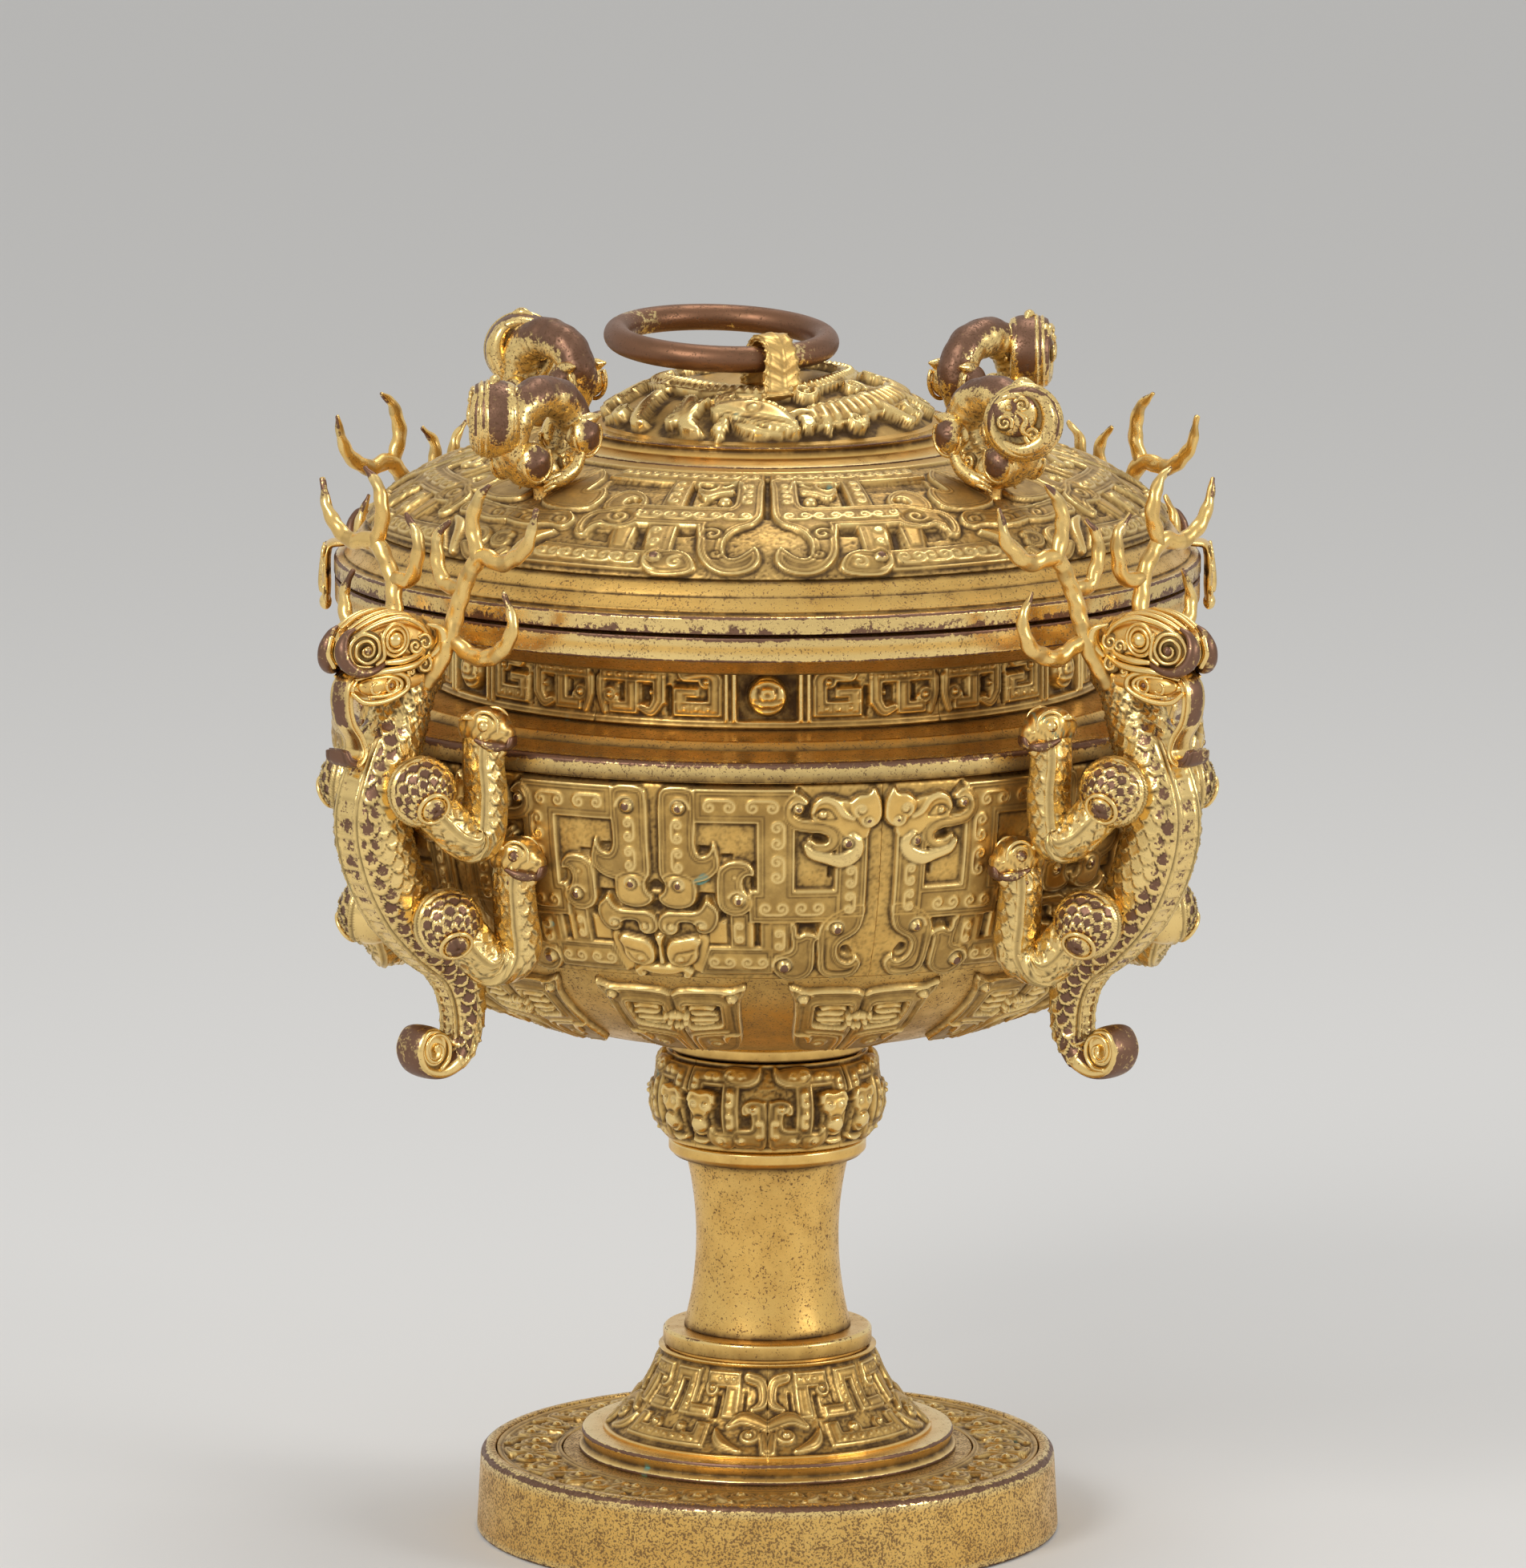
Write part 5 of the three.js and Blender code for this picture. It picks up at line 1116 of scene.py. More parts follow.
class Pile:
    # gathers closed forms into one piece
    def __init__(self):
        self.points, self.faces, self.edge, self.hollow, self.count = [], [], [], [], 0

    def add(self, points, faces, edge=None, hollow=None):
        size = len(points)
        self.points.append(points)
        self.faces += [tuple(corner + self.count for corner in face) for face in faces]
        self.edge.append(np.zeros(size) if edge is None else np.broadcast_to(edge, size))
        self.hollow.append(np.zeros(size) if hollow is None else np.broadcast_to(hollow, size))
        self.count += size

    def sweep(self, stations, step=0.6, around=24, across=(0, 1, 0), flat=1.0, skin=None, edge=0.0, blunt=0.7,
              square=2.0):
        path, _ = smoothPath(stations, 8)
        length = np.sum(np.linalg.norm(np.diff(path[:, :3], axis=0), axis=1))
        path, run = smoothPath(stations, max(int(length / step), 6))
        centre, radius = path[:, :3], np.maximum(path[:, 3], 0.05)
        wide = path[:, 4] if path.shape[1] > 4 else np.full(len(path), flat)
        ahead = np.gradient(centre, axis=0)
        ahead /= np.linalg.norm(ahead, axis=1)[:, None] + 1e-9
        across = np.array(across, float)
        u = across - ahead * (ahead @ across)[:, None]
        u /= np.linalg.norm(u, axis=1)[:, None] + 1e-9
        v = np.cross(ahead, u)
        # domed ends: the first and last rows are drawn in along a quarter round
        caps = np.linspace(math.pi / 2, 0, 5)[:-1]
        rows = [(0, -blunt * radius[0] * math.sin(c), math.cos(c)) for c in caps]
        rows += [(n, 0.0, 1.0) for n in range(len(centre))]
        rows += [(-1, blunt * radius[-1] * math.sin(c), math.cos(c)) for c in caps[::-1]]
        index = np.array([row[0] for row in rows])
        push, draw = np.array([row[1] for row in rows]), np.array([max(row[2], 0.02) for row in rows])
        angle = np.linspace(0, 2 * math.pi, around, endpoint=False)
        middle, size = centre[index] + ahead[index] * push[:, None], radius[index] * draw
        s, turn = np.broadcast_arrays((run[index] + push)[:, None], angle[None, :])
        rise, rubbedAndHighlit, dark = (skin(s, turn, radius[index][:, None] + 0 * turn) if skin else (0 * s, 0 * s + edge, 0 * s))
        reach = size[:, None] + rise * draw[:, None]
        corner = (np.abs(np.cos(angle)) ** square + np.abs(np.sin(angle)) ** square) ** (-1 / square)
        reach = reach * corner
        points = (middle[:, None, :] + u[index][:, None, :] * (wide[index][:, None] * reach * np.cos(angle))[..., None]
                  + v[index][:, None, :] * (reach * np.sin(angle))[..., None])
        faces = gridFaces(len(rows), around, closed=True, flip=True).tolist()
        last = (len(rows) - 1) * around
        faces.append(tuple(range(around)))
        faces.append(tuple(range(last + around - 1, last - 1, -1)))
        self.add(points.reshape(-1, 3), faces, rubbedAndHighlit.ravel(), dark.ravel())

    def ball(self, centre, radii, around=20, rows=12, edge=0.4, skin=None):
        polar = np.linspace(0.02, math.pi - 0.02, rows)
        angle = np.linspace(0, 2 * math.pi, around, endpoint=False)
        p, a = np.meshgrid(polar, angle, indexing="ij")
        way = np.stack([np.sin(p) * np.cos(a), np.sin(p) * np.sin(a), np.cos(p)], -1)
        rise, rubbedAndHighlit, dark = skin(way) if skin else (0 * p, 0 * p + edge, 0 * p)
        points = np.array(centre) + way * np.array(radii) + way * rise[..., None]
        faces = gridFaces(rows, around, closed=True, flip=True).tolist()
        last = (rows - 1) * around
        faces += [tuple(range(around)), tuple(range(last + around - 1, last - 1, -1))]
        self.add(points.reshape(-1, 3), faces, rubbedAndHighlit.ravel(), dark.ravel())

    def cap(self, centre, axis, radius, skin, around=98, rows=46, reach=2.3):
        # a ball with its rows ringed about an axis, and open detail from skin(towards, lean, spin)
        axis = np.array(axis, float) / np.linalg.norm(axis)
        first = np.cross(axis, (0, 0, 1.0))
        first /= np.linalg.norm(first)
        second = np.cross(axis, first)
        lean, spin = np.meshgrid(np.linspace(0.02, reach, rows), np.linspace(0, 2 * math.pi, around, endpoint=False),
                                 indexing="ij")
        towards = (axis * np.cos(lean)[..., None] + first * (np.sin(lean) * np.cos(spin))[..., None]
                   + second * (np.sin(lean) * np.sin(spin))[..., None])
        rise, rubbedAndHighlit, dark = skin(towards, lean, spin)
        faces = gridFaces(rows, around, closed=True, flip=True).tolist()
        last = (rows - 1) * around
        faces += [tuple(range(around)), tuple(range(last + around - 1, last - 1, -1))]
        self.add((np.array(centre) + towards * (radius + rise)[..., None]).reshape(-1, 3), faces, rubbedAndHighlit.ravel(), dark.ravel())

    def wheel(self, centre, axis, outline, around=64, across=(0, 0, 1), skin=None, edge=0.0):
        # a closed outline of (reach, offset) turned about any axis
        axis = np.array(axis, float) / np.linalg.norm(axis)
        first = np.array(across, float) - axis * np.dot(axis, across)
        first /= np.linalg.norm(first)
        second = np.cross(axis, first)
        outline = np.array(outline, float)
        rows = len(outline)
        angle = np.linspace(0, 2 * math.pi, around, endpoint=False)
        reach, turn = np.broadcast_arrays(outline[:, :1], angle[None, :])
        offset = np.broadcast_to(outline[:, 1:2], reach.shape)
        rubbedAndHighlit, dark = skin(reach, offset, turn) if skin else (0 * reach + edge, 0 * reach)
        points = (np.array(centre) + first * (reach * np.cos(turn))[..., None] + second * (reach * np.sin(turn))[..., None]
                  + axis * offset[..., None])
        faces = gridFaces(rows + 1, around, closed=True)
        faces = np.where(faces >= rows * around, faces - rows * around, faces)
        area = np.sum(outline[:, 0] * np.roll(outline[:, 1], -1) - np.roll(outline[:, 0], -1) * outline[:, 1])
        if area > 0:
            faces = faces[:, ::-1]
        self.add(points.reshape(-1, 3), faces.tolist(), rubbedAndHighlit.ravel(), dark.ravel())

    def scroll(self, centre, radius, face, start=0.0, hand=1, turns=1.6, width=0.7, edge=0.45, lift=0.0, bed=0.8):
        # a raised spiral lying against a surface that faces along face, on a bed disc painted dark as shade between its
        # turns
        face = np.array(face, float) / np.linalg.norm(face)
        side = np.cross(face, (0, 0, 1.0))
        side /= np.linalg.norm(side)
        up = np.cross(side, face)
        stations = []
        for t in np.linspace(0, 1, 16):
            a, r = math.radians(start) + hand * turns * 2 * math.pi * t, (radius - width) * (1 - t) ** 0.8 + 0.2
            place = np.array(centre) + side * r * math.cos(a) + up * r * math.sin(a) + face * lift * t
            stations.append((*place, width * (1 - 0.35 * t)))
        self.sweep(stations, step=0.5, around=8, across=tuple(face), edge=edge)
        if bed:
            reach = radius - 0.4 * width
            self.wheel(centre, face, [(0.05, 0.1), (reach, -0.15), (reach, -0.7), (0.05, -0.7)], 20,
                       skin=lambda r, o, t: (0 * r + 0.2, 0 * r + bed))

    def build(self, name, finish, body, stands, turn=0.0, slot="gilt_bronze", sharp=0):
        points = np.vstack(self.points)
        c, s = math.cos(math.radians(turn)), math.sin(math.radians(turn))
        points = points @ np.array([[c, s, 0], [-s, c, 0], [0, 0, 1]])
        return addPiece(name, points, self.faces, finish, body, stands, np.concatenate(self.edge),
                        np.concatenate(self.hollow), sharp)


scaling = {"pitch": 3.0, "width": 3.9, "rise": 0.46, "plate": 3.2}


def scaleRows(s, a, pitch=None, width=None):
    # overlapping scales: each climbs to a bright rim and drops to the next; gives rise, copper middle, and a painted
    # shadow that each scale casts below its rim
    pitch, width = pitch or scaling["pitch"], width or scaling["width"]
    rise, middle, dark = np.zeros(s.shape), np.zeros(s.shape), np.zeros(s.shape)
    done = np.zeros(s.shape, bool)
    for back in (1, 0, -1):
        row = np.floor(s / pitch) - back
        across = a / width - 0.5 * (row % 2)
        x = 2 * (across - np.round(across))
        d = s - (row + 0.3 + 0.78 * np.sqrt(np.clip(1 - x * x, 0, 1))) * pitch
        here = (d < 0.12) & ~done
        rim = np.exp(-((d + 0.28) / 0.24) ** 2)
        rise = np.where(here, 0.5 * np.clip(1 + 0.7 * d / pitch, 0, 1) + 0.5 * rim, rise)
        middle = np.where(here, ease((-d - 0.55) / 0.3) * ease((1.05 - np.abs(x)) / 0.3), middle)
        # painted shadow of the upper scale on the one below
        dark = np.where(~done & ~here & (d < 0.95), np.maximum(dark, 1.25 - d / 0.8), dark)
        done |= here
    return scaling["rise"] * 1.5 * (rise - 0.4), middle, np.clip(dark, 0, 1)


def ridges(gap, spread=0.28):
    return np.exp(-(gap / spread) ** 2)


def spineSkin(s, turn, radius):
    # small pitted scales on the neck, large ones on the body, and a laddered belly on the outer side
    a = (turn - math.pi / 2) * radius
    small, big = scaleRows(s, a, 2.3, 2.8), scaleRows(s, a)
    body = ease((s - 15) / 3)
    rise, worn, dark = [(1 - body) * p + body * q for p, q in zip(small, big)]
    pits = 0.5 + 0.5 * np.sin(2.3 * s + 1.7 * np.sin(1.1 * a)) * np.sin(2.1 * a + 1.3 * np.sin(0.9 * s))
    # the neck's pits are painted as dark spots, shade and dirt
    dark = dark + (1 - body) * 0.8 * (pits > 0.72)
    worn = 0.4 + 0.5 * worn * body * ease(1.4 - np.abs(np.abs(a) - 4.6) / 5)
    belt = ease((s - 21) / 4) * ease((radius - 3.2) / 1.2)
    half = 0.3 * radius
    plate = (s - 0.05 * a * a) / scaling["plate"]
    rib = ridges((plate - np.round(plate)) * scaling["plate"])
    inside = (np.abs(a) < half) * belt
    rise = np.where(inside > 0, (1 - inside) * rise + inside * (0.5 * rib - 0.1), rise)
    worn = np.where(inside > 0, 0.4 + 0.33 * (1 - rib), worn)
    # a dark stripe beside each belly rib, painted shade
    dark = np.where(inside > 0, 0.3 * ridges((plate - np.round(plate)) * scaling["plate"] - 0.6, 0.4), dark)
    pair = ridges(np.abs(a) - half - 0.2) + ridges(np.abs(a) - half - 1.5)
    groove = ridges(np.abs(a) - half - 0.85)
    edge = np.clip(ridges(np.abs(a) - half - 0.9, 1.0) * belt, 0, 1)
    rise = rise * (1 - edge) + belt * (0.6 * pair - 0.25 * groove)
    worn = worn * (1 - edge) + 0.45 * edge
    # the groove between the belly's double lines is painted dark as shade
    dark = dark * (1 - edge) + 0.8 * belt * groove
    # a double line down each flank of the inner side, with painted shade in the gap between
    back = np.abs((np.abs(turn - 3 * math.pi / 2) + 0.0) * radius - 0.42 * radius)
    rise = rise + 0.55 * ridges(back) + 0.4 * ridges(back - 1.3)
    dark = dark * (1 - ridges(back)) + 0.6 * ridges(back - 0.65)
    # the tail's end is a smooth rolled band, coppery on its faces
    band = ease((3.4 - radius) / 1.0)
    face = ease((np.abs(np.sin(turn)) - 0.45) / 0.2)
    return rise * (1 - band), worn * (1 - band) + band * (0.4 + 0.52 * face), np.clip(dark * (1 - band), 0, 1)


def limbSkin(s, turn, radius):
    # scales with a double line along the corners, the groove between the lines painted dark as shade
    rise, worn, dark = scaleRows(60 - s, (turn - 0.3) * radius, 2.6, 3.2)
    for place in (0.75, 2.4, 3.9, 5.5):
        gap = (turn - place) * radius
        near = ridges(gap, 1.3)
        rise = rise * (1 - near) + 0.5 * ridges(gap - 0.6) + 0.5 * ridges(gap + 0.6)
        dark = dark * (1 - near) + 0.7 * ridges(gap, 0.35)
        worn = worn * (1 - near)
    return rise, 0.35 + 0.3 * worn, np.clip(dark, 0, 1)


handle = {
    # stations of (out, along, up, half thickness, width over thickness), from the bowl's rim
    "spine": [(9, 0, 24, 5.4, 1), (14.5, 0, 20, 6.2, 1), (18.2, 0, 11, 6.6, 1), (22.8, 0, 2, 7.5, 1),
              (26.2, 0, -9, 8.3, 0.98), (24, 0, -20, 8.4, 0.98), (18, 0, -31, 7.9, 0.98), (9.4, 0, -40, 7.1, 0.98),
              (1.4, 0, -47, 6.2, 0.98), (-2.2, 0, -55, 5.1, 1.02), (-2.4, 0, -63, 4.2, 1.12), (0.8, 0, -69.8, 3.0, 1.5),
              (6.4, 0, -72.6, 2.0, 2.1), (12.2, 0, -71.2, 1.5, 2.8), (14.4, 0, -66.8, 1.3, 3.3), (12.2, 0, -62.8, 1.2, 3.6),
              (8.4, 0, -63.0, 1.1, 3.8), (6.9, 0, -66.4, 1.1, 3.7), (9.4, 0, -68.4, 1.0, 3.8), (10.8, 0, -66.6, 0.8, 4.2)],
    "muzzle": [(9.5, 0, 25.5, 6.2, 1), (15, 0, 29.4, 7.2, 0.95), (21, 0, 31.2, 6.7, 0.93), (27, 0, 31, 5.5, 0.94),
               (32, 0, 30.4, 4.4, 0.95), (35, 0, 29.8, 3.2, 1)],
    "jaw": [(13, 0, 22, 4.8, 1.3), (20, 0, 21.6, 3.9, 1.55), (26, 0, 21.4, 3.1, 1.75), (31, 0, 21.2, 2.5, 1.8),
            (34, 0, 21.4, 1.7, 1.9)],
    "tongue": [(26, 0, 22.4, 1.2, 1.9), (31, 0, 23.9, 1.3, 2.0), (34.6, 0, 22.4, 1.3, 2.1), (35.6, 0, 18.2, 1.25, 2.2),
               (34.4, 0, 13.2, 1.25, 2.1), (31.8, 0, 9.4, 1.3, 2.1), (31.2, 0, 6.2, 1.3, 2.4), (33.2, 0, 4.0, 1.3, 2.7),
               (36, 0, 4.6, 1.2, 2.9), (37, 0, 6.8, 0.9, 3.2)],
    "upperLeg": [(19, 13, -7, 4.6), (13, 17.2, -14.4, 4.6), (8.4, 18.4, -14, 4.7), (7.2, 18.6, -5, 4.4),
                 (7.4, 18, 3, 4.2), (6.6, 17.6, 8.4, 4.3)],
    "lowerLeg": [(11.4, 14, -37, 4.8), (4.6, 17.4, -45, 4.9), (-1, 20.4, -42.6, 4.8), (0.4, 21.4, -34, 4.5),
                 (1.2, 21.6, -27, 4.3), (0.8, 21.6, -22.4, 4.3)],
    "haunch": {"upperLeg": ((21.3, 11.0, -3.2), (2.2, 7.6, -3.4)), "lowerLeg": ((14.4, 12.4, -35.0), (2.6, 6.6, -4.6))},
    "turns": {"front_right": -45, "back_right": 45, "back_left": 135, "front_left": -135},
}


def placed(stations, hand=1, share=1.0):
    return [(plan["bowl"] + x, hand * y, levels["shoulderBase"] + z, r * share, *rest) for x, y, z, r, *rest in stations]


def browSkin(s, turn, radius):
    # flowing ridges over the forehead, pits at the back of the skull; the gaps between ridges and the pits are painted
    # dark as shade
    top = ease(-np.sin(turn) / 0.3)
    line = ((turn - math.pi / 2) * radius / 1.55) % 1 - 0.5
    pits = np.sin(2.5 * s + 1.4 * np.sin(5 * turn)) * np.sin(9 * turn + 1.1 * np.sin(0.8 * s))
    behind = ease((11 - s) / 4)
    rise = top * 0.34 * np.exp(-(line / 0.17) ** 2) + 0.25 * behind * pits
    return rise, 0.25 + 0 * s, np.clip(0.6 * top * (np.abs(line) > 0.34) + 0.9 * behind * (pits < -0.25), 0, 1)


def tongueSkin(s, turn, radius):
    side = np.abs(np.cos(turn))
    middle = ease((0.8 - side) / 0.15)
    worn = middle * ease((s - 8) / 2) * ease((21 - s) / 3) + 0.95 * ease((s - 30) / 1.2)
    # a dark line inside each edge ridge, painted shade
    return 0.3 * ridges(side - 0.86, 0.06), 0.35 + 0.58 * worn, 0.5 * ridges(side - 0.72, 0.05)


def dragonForm():
    beast = Pile()
    beast.sweep(placed(handle["spine"]), step=0.41, around=124, skin=spineSkin, square=2.5, blunt=0.3)
    beast.sweep(placed(handle["muzzle"]), step=0.4, around=72, skin=browSkin, square=2.3)
    beast.sweep(placed(handle["jaw"]), around=32, edge=0.2)
    beast.wheel((plan["bowl"] + 9.9, 0, levels["shoulderBase"] - 67.0), (0, 1, 0),
                [(0.05, -4.1), (3.4, -3.9), (4.4, -3.4), (4.4, 3.4), (3.4, 3.9), (0.05, 4.1)], 36, edge=0.4)
    beast.sweep(placed(handle["tongue"]), step=0.4, around=40, skin=tongueSkin, square=3.0, blunt=0.6)
    for hand in (-1, 1):
        spot = lambda x, y, z: (plan["bowl"] + x, hand * y, levels["shoulderBase"] + z)
        line = lambda *stations, edge=0.4, **more: beast.sweep(placed(stations, hand), step=0.5, around=8, edge=edge, **more)
        face, front = (0.22, hand, 0.08), (0.4, hand, 0.02)
        # eye in a double socket
        beast.ball(spot(24.4, 6.2, 32.2), (2.1, 1.9, 1.9), 20, 12, edge=0.45)
        for size in (2.75, 3.9):
            ring = [(24.4 + size * math.cos(a), 6.35 - 0.15 * math.cos(a) + 0.1 * (4 - size), 32.2 + 0.95 * size * math.sin(a),
                     0.5) for a in np.linspace(0.2, 6.6, 18)]
            line(*ring)
        # nose: a three-turn spiral with a copper swirl round the front of the muzzle
        beast.wheel(spot(32.4, 3.6, 30.4), front, [(0.05, 1.2), (3.2, 1.1), (4.4, 0.5), (4.9, -0.8), (0.05, -0.9)], 36,
                    edge=0.3)
        beast.scroll(spot(32.5, 4.9, 30.5), 4.9, front, 250, hand, 2.6, 0.55, edge=0.45, lift=1.0)
        beast.ball(spot(32.8, 5.9, 30.5), (1.1, 1.0, 1.1), 14, 8, edge=0.9)
        beast.sweep(placed([(26.4, 5.6, 27.4, 0.5, 1.1), (30.2, 5.9, 25.8, 0.9, 1.2), (34.4, 5.0, 25.4, 1.3, 1.3),
                            (37.4, 3.5, 27.6, 1.5, 1.3), (38.1, 2.7, 31, 1.4, 1.3), (36.6, 2.6, 34, 0.9, 1.2),
                            (34.2, 2.9, 35.4, 0.4, 1.2)], hand), step=0.5, around=18, edge=0.92)
        beast.sweep(placed([(36.4, 1.6, 26.4, 0.7), (38.2, 1.5, 29.6, 0.9), (37.4, 1.4, 33.2, 0.8)], hand), step=0.5,
                    around=12, edge=0.5)
        # ridges flowing from the ear over the eye to the nose
        line((12.6, 6.3, 30, 0.4), (16.4, 6.8, 34.6, 0.7), (21.4, 6.0, 37.0, 0.75), (27, 5.0, 36.6, 0.7),
             (31.4, 4.5, 35.4, 0.6), (35, 3.8, 33.6, 0.4))
        line((14.4, 5.2, 33.6, 0.4), (19, 4.4, 37.2, 0.65), (25, 3.7, 37.8, 0.65), (30.6, 3.2, 36.6, 0.6), (35, 2.6, 34.6, 0.4))
        line((17, 2.4, 37, 0.4), (22.4, 1.8, 38.2, 0.6), (29, 1.6, 37.4, 0.55), (34.4, 1.3, 35.2, 0.4))
        line((28.6, 6.0, 34.0, 0.35), (28.2, 6.3, 31, 0.6), (28.0, 6.2, 28.4, 0.6), (30, 5.9, 26.9, 0.5))
        # upper lip, a double ridge
        line((15.4, 6.7, 29.6, 0.4), (18.6, 7.0, 27.9, 0.8), (23, 6.8, 27.2, 0.9), (27.4, 6.2, 27.2, 0.6))
        line((14.6, 6.9, 27.6, 0.4), (18.4, 7.2, 26.0, 0.9), (23, 6.8, 25.3, 1.0), (27.6, 6.2, 25.2, 0.9), (31.4, 5.4, 24.8, 0.5),
             edge=0.6)
        # jaw: a plate in a double contour with two curls in it
        beast.ball(spot(27, 3.6, 21.8), (6.8, 2.6, 2.9), 28, 14, edge=0.15)
        line((34.2, 3.6, 23.6, 0.4), (30, 5.4, 24.7, 0.6), (25, 6.3, 24.6, 0.7), (21.4, 6.7, 23.2, 0.75),
             (20.9, 6.7, 20.8, 0.75), (23.8, 6.3, 19.0, 0.75), (28.4, 5.4, 17.9, 0.75), (32.6, 4.2, 18.2, 0.7), (35.2, 3.2, 20.4, 0.5))
        line((30.6, 5.1, 23.6, 0.35), (26, 6.0, 23.7, 0.5), (22.8, 6.4, 22.4, 0.55), (23.2, 6.4, 20.6, 0.55),
             (27, 5.7, 19.4, 0.55), (31.4, 4.6, 19.4, 0.4))
        for x, z, tall in ((25.4, 21.6, 1.5), (29.8, 21.3, 1.3)):
            oval = [(x + 1.15 * tall * math.cos(a), 6.2 - 0.16 * (x - 25.4), z + tall * math.sin(a), 0.42)
                    for a in np.linspace(0.4, 6.4, 12)]
            line(*oval)
            beast.ball(spot(x, 6.0 - 0.16 * (x - 25.4), z), (0.8, 0.6, 0.7), 10, 6, edge=0.9)
        # ear and mane curls
        beast.sweep(placed([(13.2, 6.4, 27.6, 0.8, 1.6), (11.6, 8.4, 30.6, 1.1, 1.7), (12.6, 8.8, 33.8, 0.9, 1.6),
                            (15.4, 7.8, 35, 0.3, 1.4)], hand), step=0.5, around=12, edge=0.5)
        for x, y, z, size, start in ((15.6, 7.0, 30.8, 2.3, 40), (18.8, 7.2, 30.2, 1.9, 200), (15.6, 6.8, 25.6, 2.3, 130),
                                     (19.6, 6.6, 24.2, 1.4, 300), (11.6, 6.4, 24.4, 2.2, 20)):
            beast.scroll(spot(x, y, z), size, face, start, hand, 1.3, 0.5, edge=0.4)
        # the tail's rolled end seen from the side
        beast.scroll(spot(9.6, 3.9, -67.0), 5.2, (0, hand, 0), 250, -hand, 1.7, 0.62, edge=0.45, lift=0.3)
    return beast


def haunchSkin(facing, radius):
    # scales in rings round the boss, inside a double contour whose groove is painted dark as shade
    def skin(towards, lean, spin):
        rise, worn, dark = scaleRows(lean * radius - 3.2, spin / (2 * math.pi) * 14 * 3, 2.5, 3)
        out = np.arccos(np.clip(towards @ facing, -1, 1)) * radius
        near = ease((out - 8.8) / 0.6)
        pair, groove = ridges(out - 9.8) + ridges(out - 11.3), ridges(out - 10.55, 0.4)
        rise = rise * (1 - near) + 0.6 * pair
        return rise, (0.4 + 0.5 * worn) * (1 - near) + 0.45 * near, np.clip(dark * (1 - near) + 0.8 * groove, 0, 1)
    return skin


